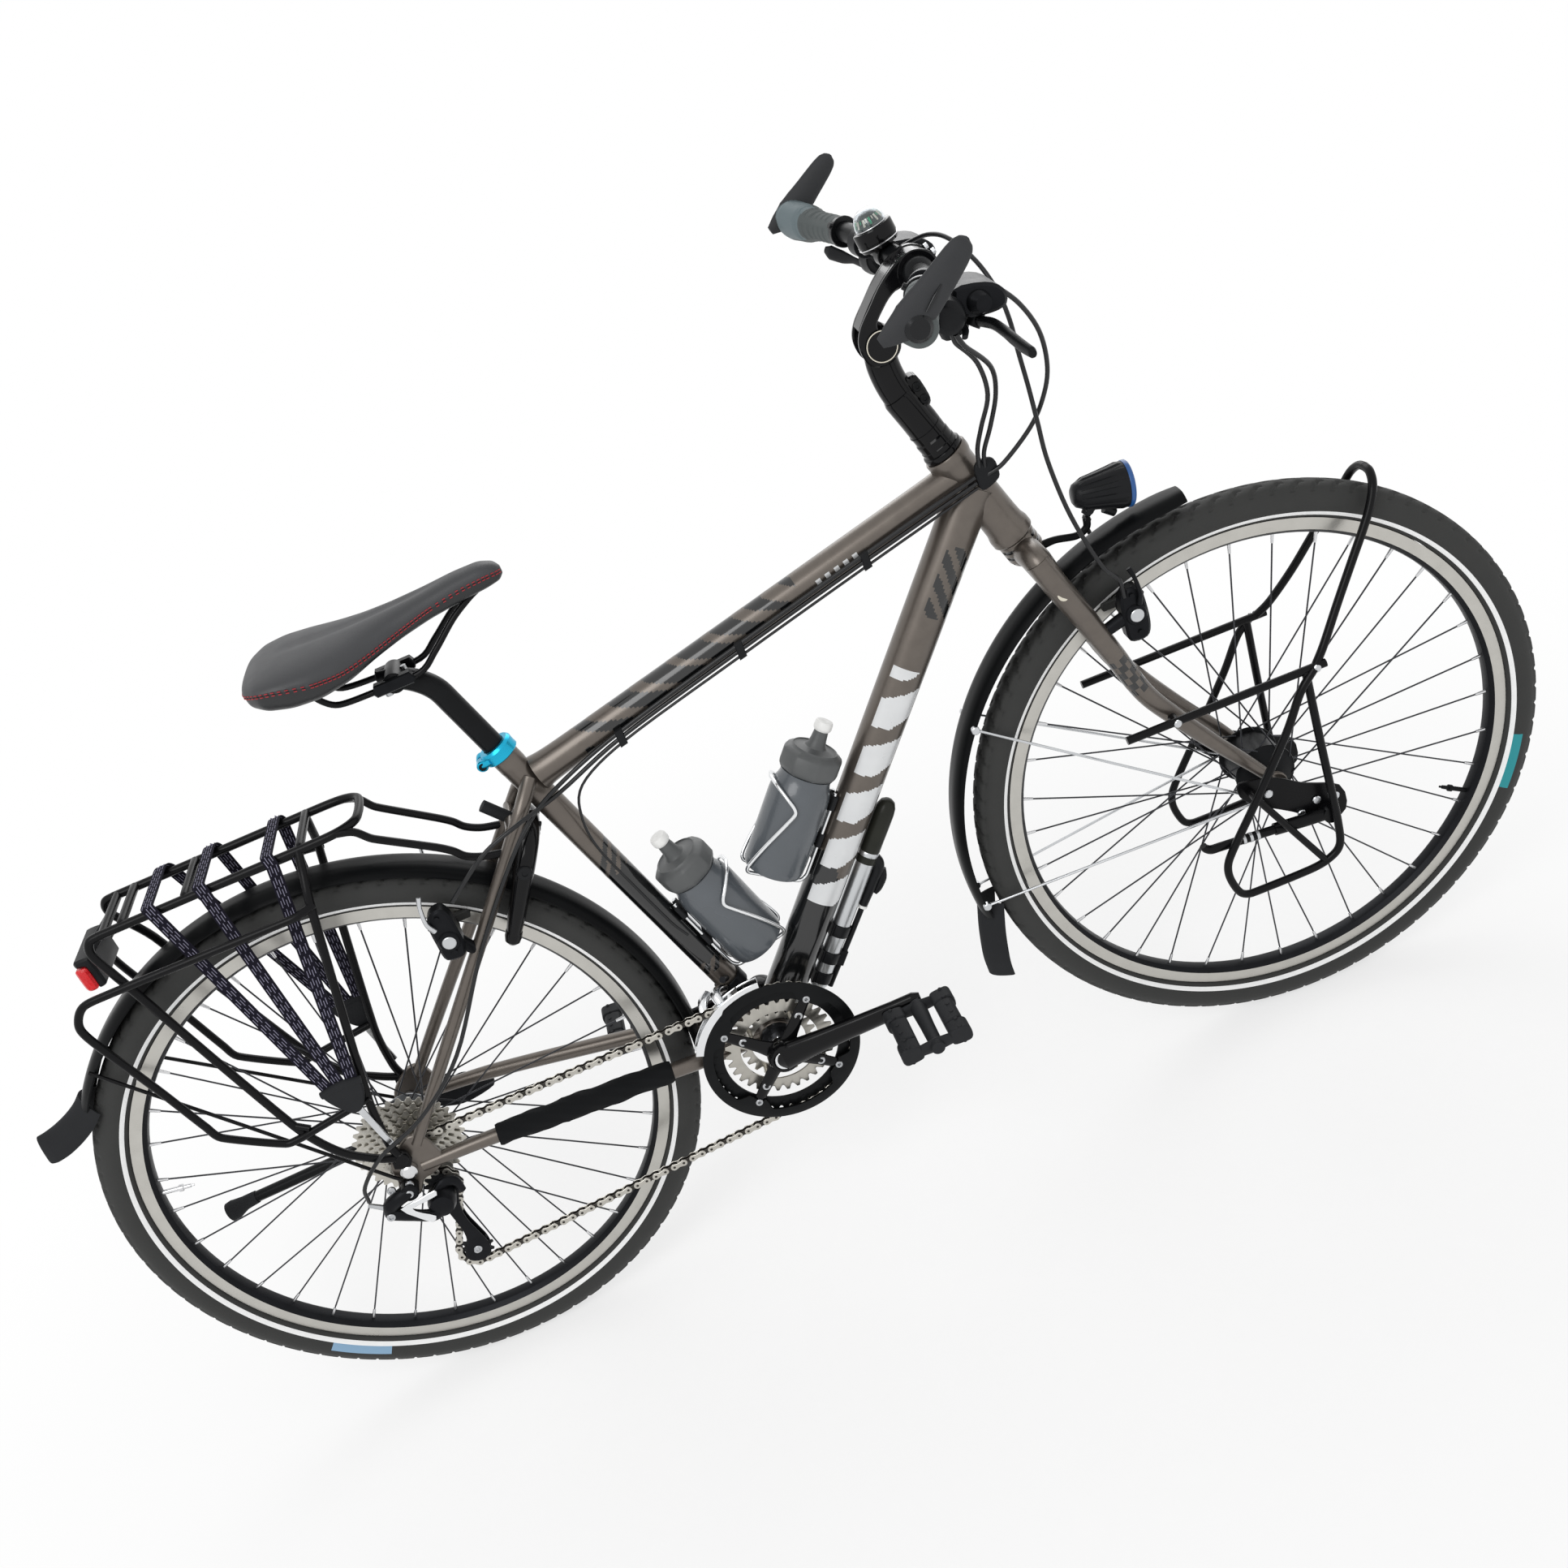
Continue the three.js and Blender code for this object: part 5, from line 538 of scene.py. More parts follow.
# vivid anodised cyan collar, closed by one bolt through its ears
cyan_alloy = surface("cyan anodised aluminium", "#22b4d8", "#1aa2c8", rough=0.27, metal=0.75, grain=0.002,
    bump=0.03)
collar_foot = Vector((310, 0, 762.3)) - seat_way * 17
collar = [(16.5, 17), (19.4, 17), (20.6, 18.2), (20.3, 23), (20.8, 29.6), (19.8, 31.4), (18.4, 33),
    (13.5, 33), (13.5, 22), (16.5, 22)]
ear = [(0, 0), (6, 0), (6.6, 1), (6.6, 11), (5.6, 12.4), (4.6, 12.8), (4.4, 11.6), (0, 11.6)]
ear_way = Vector((-0.956, 0, -0.2935))
ears = collar_foot + seat_way * 25 + ear_way * 22.4
ear_root = [ears + sideways * 8, ears - ear_way * 6 + sideways * 11, ears - ear_way * 12 + sideways * 14]
piece("seat clamp", joined(
    lathe(collar_foot, seat_way, collar, 64),
    mirrored(lathe(ears + sideways * 1.4, sideways, ear, 32), pipe(ear_root, [5.6, 5.4, 4.6], 16, 4))),
    cyan_alloy, hides="seat_clamp")
socket_head = [(0, -1), (4.2, -1), (4.3, 0.6), (3.8, 1), (2, 1), (1.8, 0), (0, 0)]
piece("seat clamp bolts", lathe(ears - sideways * 13.4, -sideways, socket_head, 24), drum_black)


# The fork end: a lacquered fork with a slotted crown, the black front mudguard on thin steel stays,
# hydraulic rim brakes, the headlight on its bracket and the low rack with its folding stand leg.
def beside(points, side):
    """The same (x, half width, z) points on the left (1) or right (-1)."""
    return [(x, side * y, z) for x, y, z in points]


def disc(centre, side, low, high, radius, edge, steps=32):
    """A round boss along Y between two distances from the middle plane."""
    profile = [(0, low), (radius - edge, low), (radius, low + edge), (radius, high - edge),
        (radius - edge, high), (0, high)]
    return lathe((centre[0], 0, centre[1]), sideways * side, profile, steps)


def crown_slots(radius, height, angle):
    """Three rows of shallow slots round the crown, open on its front."""
    return radius - (1.6 if radius > 21 and math.sin(angle * 3) > -0.82 and height % 9 < 3.4 else 0)


# the faces inside the shallow slots take gloss black: painted shade standing for the depth of real holes
def slot_painted_shade(p):
    height = (p - crown_foot).dot(head_way)
    return 1 if 4 < height < 26 and 20 < (p - crown_foot - head_way * height).length < 21.5 else 0


crown_foot = steer_foot + head_way * 424
crown = [(0, -10), (15, -8), (19.5, -2), (21.5, 3)] + [(22, 4 + i * 0.75) for i in range(30)]
crown += [(22.6, 27), (20, 27.6), (0, 27.6)]
lacquers_and_slot_shade = [bronze_lacquer, gloss_lacquer]
# the black in the crown's slots is painted shade
piece("fork crown", lathe(crown_foot, head_way, crown, 180, crown_slots), lacquers_and_slot_shade, "fork_body", slot_painted_shade,
    50, "fork")


def blade_paint(p):
    s, v = along(p, Vector((942, 0, 716)), Vector((1033, 0, 500)))
    return 1 if 118 < s < 178 and (s + v * 1.3) % 20 < 11 else 0


blade = [(932, 50, 744), (942, 56, 716), (964, 56, 660), (982, 56, 611), (1006, 56, 545), (1033, 56, 500),
    (1069, 55.5, 448), (1104, 55, 401), (1121, 54.4, 377), (1128, 54, 364)]
shoulder = [(933, 0, 741), (931, 24, 746), (934, 46, 742), (941, 56, 720)]
fork_end = front_hub.x, front_hub.z
piece("fork blades", mirrored(pipe(blade, [14, 14.6, 13.6, 12.7, 11.8, 10.8, 9.4, 8.2, 7.4, 6.6], 24, 8,
    1.08), pipe(shoulder, [17, 16.4, 15.6, 14], 24, 8), disc(fork_end, 1, 50.4, 57.2, 15, 1.4)),
    lacquers_and_slot_shade, "fork_body", blade_paint)
# raised blank discs on the outer sides of the crown
cream_enamel = surface("cream enamel", "#d9d2bf", "#e4dfd0", rough=0.3, grain=0.003, bump=0.03)
crown_disc = [(0, 0), (7, 0), (7.4, 0.5), (6.8, 1.1), (0, 1.3)]
piece("crown discs", mirrored(lathe((946, 69, 705), (0.15, 1, 0.3), crown_disc, 32)), cream_enamel,
    "fork_body")


def arch(centre, radius, start, end, half, depth, wall):
    """A mudguard strip: a crowned section with rolled edges, swept over an angle in the X-Z plane."""
    shares = [i / 10 for i in range(-10, 11)]
    section = [(radius - depth * abs(s) ** 3.2, s * half) for s in shares]
    section.append((radius - depth - wall, half - 0.5))
    section += [(radius - wall - depth * abs(s) ** 3.2, s * (half - wall)) for s in reversed(shares)]
    section.append((radius - depth - wall, 0.5 - half))
    count = round((end - start) / 1.5)
    points = []
    for i in range(count + 1):
        angle = math.radians(start + (end - start) * i / count)
        taper = min(1, 0.82 + 0.18 * math.sin(min(1, i / 3, (count - i) / 3) * math.pi / 2))
        points += [(centre[0] + r * math.cos(angle), y * taper, centre[1] + r * math.sin(angle))
            for r, y in section]
    return skin(points, len(section))


def flap(path, halves, wall, crown):
    """A soft flap: a strip across Y along an (x, z) path with a half width at each point."""
    route = curve_points([(x, 0, z) for x, z in path], 8)
    line = [p for p, share in route]
    shares = [-1 + 2 * k / 17 for k in range(18)]
    points = []
    for (p, share), before, after in zip(route, line[:1] + line, line[1:] + line[-1:]):
        way = (after - before).normalized()
        out = Vector((way.z, 0, -way.x))
        low = min(int(share), len(halves) - 2)
        half = halves[low] + (halves[low + 1] - halves[low]) * (share - low)
        for face, across in [(1, s) for s in shares] + [(-1, s) for s in reversed(shares)]:
            points.append(p + sideways * across * half + out * (face * wall / 2 - crown * across ** 2))
    return skin(points, 36)


# satin black plastic with a faint orange-peel
guard_plastic = surface("satin black mudguard polycarbonate", "#0c0d0e", "#131415", rough=0.3, grain=0.004,
    bump=0.04, spread=0.05, shine=0.06)
# dull soft rubber
flap_rubber = surface("soft flap rubber", "#212224", "#2b2c2e", rough=0.75, grain=0.002, bump=0.15,
    shine=0.14)
# thin silver wires
stainless = surface("stainless steel", "#bdbfc2", "#d4d6d8", rough=0.24, metal=1.0, grain=0.002, bump=0.05)
piece("front mudguard", arch((1122, 364), 377, 91, 190, 25.4, 9, 1.8), guard_plastic, "fork_body",
    hides="front_mudguard")
piece("front flap", flap([(752, 322), (743, 284), (738, 256), (735, 232), (735, 208)],
    [21, 23, 25, 26, 24], 3.0, 26.0), flap_rubber, "fork_body")
piece("front stays", mirrored(
    pipe([(813, 24.5, 563), (1060, 56, 384), (1106, 61.7, 350), (1112, 62.5, 346)], 1.7, 10, 3),
    pipe([(758, 24.5, 324), (1050, 56, 344), (1106, 61.7, 347), (1113, 62.5, 348)], 1.7, 10, 3),
    disc((813, 563), 1, 22, 29, 5, 0.8, 20),
    disc((758, 324), 1, 22, 29, 5, 0.8, 20),
    disc((1109, 348), 1, 57.6, 65, 4.6, 0.6, 6)), stainless, "fork_body")

# The rim brakes: a cylinder block with cooling grooves and a blank disc, on a clamp arm.
# cast black metal with a soft sparkle
brake_casting = surface("black anodised brake casting", "#131416", "#1f2023", rough=0.38, metal=0.55,
    grain=0.0015, bump=0.12, shine=0.14)
# quiet silver faces on the brakes
silver_disc = surface("satin aluminium disc", "#b9bbbd", "#cfd1d3", rough=0.35, metal=0.9, grain=0.002)
brake_block = [(-13, -30), (-15, -8), (-13, 20), (-5, 31), (8, 32), (14, 18), (14, -16), (7, -32)]
brake_cylinder = [(0, 30), (11, 30), (12.4, 31.5)] + [(12.4 - 1.3 * (i % 2), 33 + i * 2.2) for i in range(15)]
brake_cylinder += [(12.4, 66), (11, 68), (0, 68.6)]
brake_shoe = [(-24, -5), (24, -5), (26, 0), (24, 5), (-24, 5), (-26, 0)]
brake_disc = [(0, 0), (7.4, 0), (7.8, 0.6), (7, 1.3), (0, 1.4)]


def side_plate(outline, x, z, side, near, far, edge, bend=0):
    """A plate on one side of the middle plane, its outline given from an (x, z) place."""
    return plate([(x + a, z + b) for a, b in outline], *sorted((side * near, side * far)), edge, bend)


def brake(prefix, centre, mount, rise, body, lean, release_lever):
    """A pair of rim brakes at an (x, z) place, each held by an arm from the (x, half width, z) mount.

    rise lifts the blocks over their cylinders, and lean is how far the release levers stand off along X.
    """
    x, z = centre
    for side, name in ((-1, "right"), (1, "left")):
        screws = [rod((x, side * 65.4, z + rise + dz), (x, side * 67.4, z + rise + dz), 3.2, 6)
            for dz in (-22, 24)]
        piece(prefix + " brake " + name, joined(
            side_plate(brake_block, x, z + rise, side, 44.5, 65.4, 3, 4),
            lathe((x, 0, z), sideways * side, brake_cylinder, 40),
            rod((x, side * 55, z + rise * 0.5), *beside([mount], side), 8.4, 20, 7), *screws), brake_casting,
            body, hides=prefix + "_brake_" + name)
        piece(prefix + " pad " + name, joined(side_plate(brake_shoe, x, z, side, 14.2, 22, 1.2),
            rod((x, side * 22, z), (x, side * 31, z), 5, 16)), tyre_rubber, body)
        piece(prefix + " brake disc " + name, lathe((x, side * 68.4, z), sideways * side, brake_disc, 36),
            silver_disc, body)
        top = z + rise
        lever = [(x + lean, 66.5, top + 12), (x + lean * 1.4, 71, top + 26),
            (x + lean * 1.1, 71, top + 46), (x + lean * 0.6, 68, top + 58)]
        piece(prefix + " release lever " + name, pipe(beside(lever, side), [3.4, 2.6, 2.4, 3.0], 12, 6),
            release_lever, body)


brake("front", (1018, 647), (976, 56, 635), 0, "fork_body", 6, brake_casting)
brake("rear", (172, 609), (191, 47, 575), 8, "frame_body", -8, stainless)

# The headlight: a ribbed black shell, a blue ring and a clear lens over a faceted mirror.
# ribbed dark plastic
lamp_shell = surface("black lamp plastic", "#141517", "#1d1e20", rough=0.34, grain=0.002, bump=0.06,
    shine=0.14)
# a clear blue rim that the lamps catch
blue_ring = surface("blue translucent ring", "#1c4a86", "#2a5f9f", rough=0.25, grain=0.003, bump=0.02)
# bright facets behind the lens
mirror = surface("faceted mirror", "#e6e8ea", rough=0.08, metal=1.0, grain=0.006, bump=0.5, spread=0.02)
# thin clear cover
clear_lens = surface("clear lens polycarbonate", "#f4f8fb", rough=0.04, grain=0.01, bump=0.01, spread=0.01,
    **{"Transmission Weight": 1.0, "IOR": 1.49})
lamp_back, lamp_front = Vector((998, 0, 779)), Vector((1064, 0, 769))
lamp_way = (lamp_front - lamp_back).normalized()


def lamp_part(name, material, profile, steps, ripple=None, hides=None):
    """A turned part of the headlight, with its heights from the back of the shell."""
    piece(name, lathe(lamp_back, lamp_way, profile, steps, ripple), material, "front_lamp",
        sharp=45 if ripple else 32, hides=hides)


def lamp_ribs(radius, height, angle):
    return radius + (1.5 if 12 < height < 56 and radius > 15 and math.sin(angle * 11) > 0.1 else 0)


lamp_part("lamp shell", lamp_shell, [(0, 0), (9, 0.4), (13, 3), (15.4, 8), (17, 14), (19.4, 28), (22, 42),
    (24.6, 54), (25.6, 58), (25.4, 60.6), (23.6, 60.6), (20, 52), (12, 40), (0, 36)], 176, lamp_ribs,
    "headlight")
lamp_part("lamp ring", blue_ring, [(23.4, 60.2), (26, 60.2), (26.4, 61), (26.4, 64.4), (25.4, 65.6),
    (23.4, 65.6)], 72)
lamp_part("lamp mirror", mirror, [(0, 42), (6, 43), (14, 49), (20, 57), (23, 61.4), (23.2, 61.8),
    (19, 57.4), (13, 50), (6, 44.4), (0, 43.4)], 48)
lamp_part("lamp lens", clear_lens, [(0, 63.6), (12, 63.2), (23.2, 62.2), (23.2, 64.2), (12, 65.4),
    (0, 65.8)], 48)
piece("lamp foot", joined(
    pipe([(1018, 0, 762), (1012, 0, 757), (1008, 0, 753)], [7, 6.4, 5.6], 20, 6),
    rod((1012, -8, 758), (1012, 8, 758), 4.4, 20),
    rod((1030, 0, 752), (1040, 0, 742), 6, 20, 4.6)), lamp_shell, "front_lamp")
piece("lamp bracket", joined(
    pipe([(1008, 0, 749), (1005, 0, 738), (992, 0, 733), (968, 0, 738), (952, 0, 738)],
        [4.6, 4.2, 4.2, 4.2, 5], 16, 8),
    rod((1008, -6, 748), (1008, 6, 748), 3.6, 6)), guard_plastic, "fork_body")

# The low rack: black lacquered steel tube of 10 mm, bent and welded, bolted to the dropout plates.
# hard gloss over round tube
black_steel = surface("black powder-coated steel tube", "#0a0a0b", "#121214", rough=0.26, metal=0.0,
    grain=0.0015, bump=0.1, spread=0.06, shine=0.14)
rack_plate = [(1084, 386), (1128, 374), (1160, 352), (1202, 330), (1204, 294), (1176, 288), (1140, 318),
    (1100, 346), (1082, 366)]
side_loop = [(1193, 84, 507), (1171, 87, 486), (1145, 89, 443), (1092, 90, 369), (1046, 90, 306),
    (1040, 90, 282), (1048, 90, 252), (1062, 90, 244), (1137, 90, 245), (1162, 90, 250), (1179, 90, 264),
    (1183, 89, 297), (1183, 88, 343), (1183, 85, 418), (1184, 81, 507)]
front_hoop = [(1196, 80, 507), (1214, 71, 524), (1243, 58, 560), (1273, 48, 600), (1296, 40, 630),
    (1310, 34, 650), (1320, 26, 668), (1325, 13, 678), (1326, 0, 680)]
piece("low rack", mirrored(
    pipe([(967, 80, 507), (1209, 80, 507)], 5, 18, 8),
    pipe(side_loop, 4.9, 18, 6),
    rod((1027, 80, 507), (1027, 56, 507), 5, 18),
    plate(rack_plate, 64.2, 68, 0.8, bend=3),
    rod((1094, 64, 371), (1094, 90, 371), 5, 18),
    rod((1094, 90, 371), (1160, 90, 248), 4.4, 18),
    pipe(front_hoop, 5, 18, 5)), black_steel, "fork_body", hides="lowrider")
plate_screws = (1115, 358), (1149, 313), (1170, 324), (1193, 320)
piece("low rack screws", mirrored(
    *[disc(place, 1, 67.6, 71.6, 5.4, 1.0, 20) for place in plate_screws],
    *[disc((x, 507), 1, 84.2, 87.4, 4.6, 0.8, 20) for x in (1027, 1196)],
    disc(fork_end, 1, 58, 64, 9, 1.4, 28)), stainless, "fork_body")
leg_top, leg_bend = Vector((1112, -76.3, 310.6)), Vector((1040, -76.3, 316.4))
piece("front stand leg", joined(
    rod((1180, -68.6, 305), (1180, -84, 305), 11, 24),
    pipe([(1180, -76.3, 305), (1150, -76.3, 307), (1110, -76.3, 311)], [8, 8, 7.6], 22, 6),
    pipe([leg_top, (1070, -76.3, 314), leg_bend, (1030, -76.3, 317.4), (1024, -76.3, 322),
        (1022, -76.3, 327)],
    [5.6, 5.6, 5.6, 5.6, 5.2, 4.4], 20, 6)), black_steel, "front_stand", hides="front_stand_leg")
piece("stand rings", joined(*[rod(leg_top.lerp(leg_bend, s), leg_top.lerp(leg_bend, s + 0.05), 6.1, 22)
    for s in (0.3, 0.42, 0.54)]), silver_disc, "front_stand")


# The cockpit: a gloss black stem that folds about a bolt, its forked arm, a flat back-swept bar,
# winged rubber grips with horns, brake and shift levers, and a bell with a compass in its dome.
# gloss black, almost a mirror
gloss_black = surface("gloss black anodised aluminium", "#070708", "#0e0e10", rough=0.12, metal=0.0,
    grain=0.003, bump=0.02, spread=0.04, **{"Specular IOR Level": 0.14, "Coat Weight": 0.12,
    "Coat Roughness": 0.05})
# the bar is duller than the stem
satin_black = surface("satin black anodised aluminium", "#0f1011", "#17181a", rough=0.34, metal=0.2,
    grain=0.002, bump=0.06, shine=0.14)
# small bright fastener heads
bolt_steel = surface("zinc-plated bolt steel", "#a7a9ac", "#bfc1c3", rough=0.3, metal=1.0, grain=0.0012,
    bump=0.1)
stem_foot = steer_foot + head_way * 580.4
stem_tube = [(0, 0), (22.4, 0), (22.8, 1), (22.8, 5), (22.2, 6), (20.4, 6.6), (20.4, 8), (20.4, 12),
    (19.8, 12.8), (19.8, 14), (19.9, 22), (19.4, 22.8), (18.6, 24), (18.2, 50), (18.2, 78), (17, 82),
    (0, 82)]
stem_seam = [(17, -0.8), (19.3, -0.6), (19.3, 0.6), (17, 0.8)]
stem_boss = [(862, 973), (874, 974), (881, 950), (879, 940), (866, 936), (858, 948)]
pivot = Vector((848, 0, 1019))
piece("stem body", joined(
    lathe(stem_foot, head_way, stem_tube, 48),
    pipe([(872, 0, 904), (865, 0, 924), (856, 0, 948), (848.5, 0, 972), (845.6, 0, 996), (848, 0, 1018)],
    [18.4, 18.6, 18.2, 17.6, 17.4, 17], 40, 8, 0.86),
    disc((pivot.x, pivot.z), 1, -12.8, 12.8, 18.6, 2.4, 48),
    plate(stem_boss, -10, 10, 2.2, bend=3),
    lathe(stem_foot + head_way * 34, head_way, stem_seam, 48)), gloss_black, "fork_body", hides="stem")
stem_screw = [(0, 0), (5, 0), (5.2, 1.4), (4.6, 2), (2.2, 2), (2, 0.8), (0, 0.8)]
piece("stem bolts", mirrored(*[lathe((x, 9.6, z), sideways, stem_screw, 24)
    for x, z in ((871, 963), (875, 948))]), satin_black, "fork_body")

arm_outline = [(827, 1012), (826, 1028), (833, 1043), (848, 1059), (866, 1077), (888, 1092), (908, 1096),
    (923, 1089), (928, 1076), (924, 1062), (909, 1056), (895, 1060), (884, 1066), (872, 1062), (860, 1052),
    (851, 1042), (851, 1034), (862, 1030), (868, 1020), (866, 1009), (857, 1001), (845, 998), (833, 1002)]
web_outline = [(831, 1040), (848, 1060), (867, 1078), (886, 1090), (894, 1080), (880, 1069), (864, 1058),
    (850, 1044), (841, 1036)]
bar_clamp = [(16.4, -21), (20.6, -21), (21.8, -19.6), (21.8, -13), (20.8, -12), (20.8, 12), (21.8, 13),
    (21.8, 19.6), (20.6, 21), (16.4, 21)]
bar_middle = Vector((905, 0, 1075))
piece("stem arm", joined(mirrored(plate(arm_outline, 13.6, 20.4, 1.8, bend=5)),
    plate(web_outline, -15, 15, 1.5, bend=4), lathe(bar_middle, sideways, bar_clamp, 48)), gloss_black,
    "bars", hides="stem_arm")
cap = [(0, 0), (16.8, 0), (17.4, 0.8), (17, 1.8), (15.6, 2.2), (15.2, 1.6), (0, 1.6)]
piece("pivot caps", mirrored(lathe(pivot + sideways * 20.2, sideways, cap, 56)), gloss_black, "bars")
# a hairline of cream enamel round each plain cap
hairline = [(15.4, -0.3), (16.4, -0.3), (16.4, 0.4), (15.4, 0.4)]
piece("pivot rings", mirrored(lathe(pivot + sideways * 22.2, sideways, hairline, 64)), cream_enamel, "bars")
piece("arm bolts", mirrored(*[rod((x, 16, z), (x + 3.4, 16, z + 1), 3.2, 6)
    for x, z in ((925, 1087), (925.4, 1064))]), stainless, "bars")

bar_half = [(905, 26, 1075), (903, 60, 1076), (893, 110, 1084), (878, 170, 1093), (860, 240, 1095.6),
    (842, 309, 1098)]
bar_path = beside(bar_half, -1)[::-1] + [(x, y, z + 8 * (y / 309) ** 1.2) for x, y, z in bar_half]
bar_bulge = [(0, -34), (11, -34), (14.6, -29), (15.8, -26), (15.8, 26), (14.6, 29), (11, 34), (0, 34)]
piece("handlebar", joined(pipe(bar_path, 11, 28, 8), lathe(bar_middle, sideways, bar_bulge, 40)),
    satin_black, "bars", hides="handlebar")

# The grips: three rubbers, a ribbed grey sleeve, and a dark paddle that carries the palm and ends in a horn.
grip_rubber = surface("dark horn rubber", "#2b2c2e", "#353638", rough=0.66, grain=0.0012, bump=0.25,
    shine=0.3)
# matt grey with fine ribs
sleeve_rubber = surface("grey ribbed sleeve rubber", "#464c4c", "#505656", rough=0.7, grain=0.001, bump=0.3)
# a paler, bluer patch under the palm
palm_rubber = surface("blue-grey palm rubber", "#5b686c", "#667377", rough=0.6, grain=0.002, bump=0.12)
# small glossy collars
ring_alloy = surface("black anodised clamp ring", "#101113", "#191a1c", rough=0.26, metal=0.5, grain=0.002,
    bump=0.06)
paddle = [(809, 303, 1099), (821, 305, 1103), (837, 306, 1109), (852, 306, 1117), (867, 306, 1127),
    (880, 305, 1136), (890, 304, 1143), (897, 303, 1148), (901, 302, 1151), (903.4, 302, 1152.6)]
paddle_halves = [5, 10.6, 16, 16.4, 14.6, 13.4, 12.2, 10.4, 7, 1.4]


def past(share, start, end):
    """How far share has come from start to end, between 0 and 1."""
    return min(1.0, max(0.0, (share - start) / (end - start)))


def cheek(p):
    """The blue-grey field on the left sleeve, beside the palm."""
    return 1 if 256 < p.y < 303 and ((p.x - 838) / 26) ** 2 + ((p.z - 1111) / 21) ** 2 < 1 else 0


# the left grip sits higher and is thicker at its end, as it is seen in the photograph
for side, name, lift, swell in ((-1, "right", 0, 0), (1, "left", 8, 5)):
    start, end = Vector((873.4, side * 187.9, 1093.6 + lift * 0.6)), Vector((842, side * 309, 1098 + lift))
    way = (end - start).normalized()
    back = Vector((-0.75, 0, 0.66))
    back = (back - way * back.dot(way)).normalized()
    third = way.cross(back)
    length = (end - start).length
    points, stations, around = [], 70, 48
    for i in range(stations + 1):
        share = i / stations
        plain = 15.6 + 1.5 * past(share, 0.6, 1) ** 2 + swell * past(share, 0.38, 0.68) ** 1.5
        wing = 8 * past(share, 0.3, 1) ** 1.4
        round_off = 1 - 0.3 * past(share, 0.03, 0) ** 2 - 0.32 * past(share, 0.93, 1) ** 2
        for k in range(around):
            angle = 2 * math.pi * k / around
            ribbed = 0.08 < share < 0.66 and abs(math.sin(angle * 2)) > 0.35
            rib = 0.5 * math.sin(share * length * 1.5) * ribbed
            radius = (plain + wing * max(0.0, math.cos(angle)) ** 2 + rib) * round_off
            points.append(start + way * (share * length) + back * radius * math.cos(angle)
                + third * radius * math.sin(angle))
    piece("grip sleeve " + name, skin(points, around), [sleeve_rubber, palm_rubber], "bars", cheek, 50,
        "grip_" + name)

    def palm(p):
        return 1 if abs(p.y) < 307 and ((p.x - 838) / 19) ** 2 + ((p.z - 1106 - lift) / 17) ** 2 < 1 else 0

    piece("grip paddle " + name, pipe([(x, side * y, z + lift) for x, y, z in paddle], paddle_halves, 72,
        16, 0.5), [grip_rubber, palm_rubber], "bars", palm, 50)
    groove = beside([(851, 315.6, 1112), (861, 314.8, 1121), (870, 313, 1128)], side)
    piece("grip end " + name, joined(disc((842, 1101 + lift), side, 304, 316.4, 12.2, 3.4, 40),
        pipe(groove, [0.8, 1.5, 0.8], 10, 6)), ring_alloy, "bars")
    ring = [(11.4, 0), (16.4, 0), (17, 0.8), (17, 6), (16.2, 6.8), (11.4, 6.8)]
    screw = start - way * 3.6
    piece("grip ring " + name, joined(lathe(start - way * 7, way, ring, 44),
        rod(screw + back * 13, screw + back * 19.6, 3.4, 16)), ring_alloy, "bars")

# The levers: a master cylinder with its reservoir, a two-finger blade and a shift pod under the bar.
pod_plastic = surface("black shifter plastic", "#161719", "#1f2022", rough=0.42, grain=0.0015, bump=0.1,
    shine=0.14)
lever_axis = Vector((-0.6606, 0, -0.7507))
lid_way = Vector((0.34, 0.0, 0.94))
bar_ring = [(11.3, 0), (15.2, 0), (16, 0.8), (16, 16.2), (15.2, 17), (11.3, 17)]
reservoir = [(906, 1082), (936, 1078), (951, 1066), (950, 1052), (934, 1049), (908, 1056)]
cylinder_line = [(908, 104, 1073), (911, 118, 1071), (918, 142, 1067), (926, 168, 1063), (928, 175, 1062)]
shifter_line = [(898, 145, 1063), (898, 150, 1062.8), (895, 166, 1062.4), (893, 175, 1062), (892, 178, 1062)]
shifter_wheel = [(0, -6), (13, -6), (15, -3), (15, 3), (13.6, 4), (15, 5), (15, 11), (13, 14), (0, 14)]
thumb_line = [(892, 150, 1056), (884, 168, 1058), (876, 190, 1064), (868, 206, 1068), (858, 220, 1075),
    (854, 226, 1079)]
blade_line = [(925, 166, 1044), (930, 182, 1043), (933, 204, 1039.4), (934.4, 222, 1036),
    (937, 240, 1031.4), (940, 256, 1028), (940.6, 259, 1027.4)]
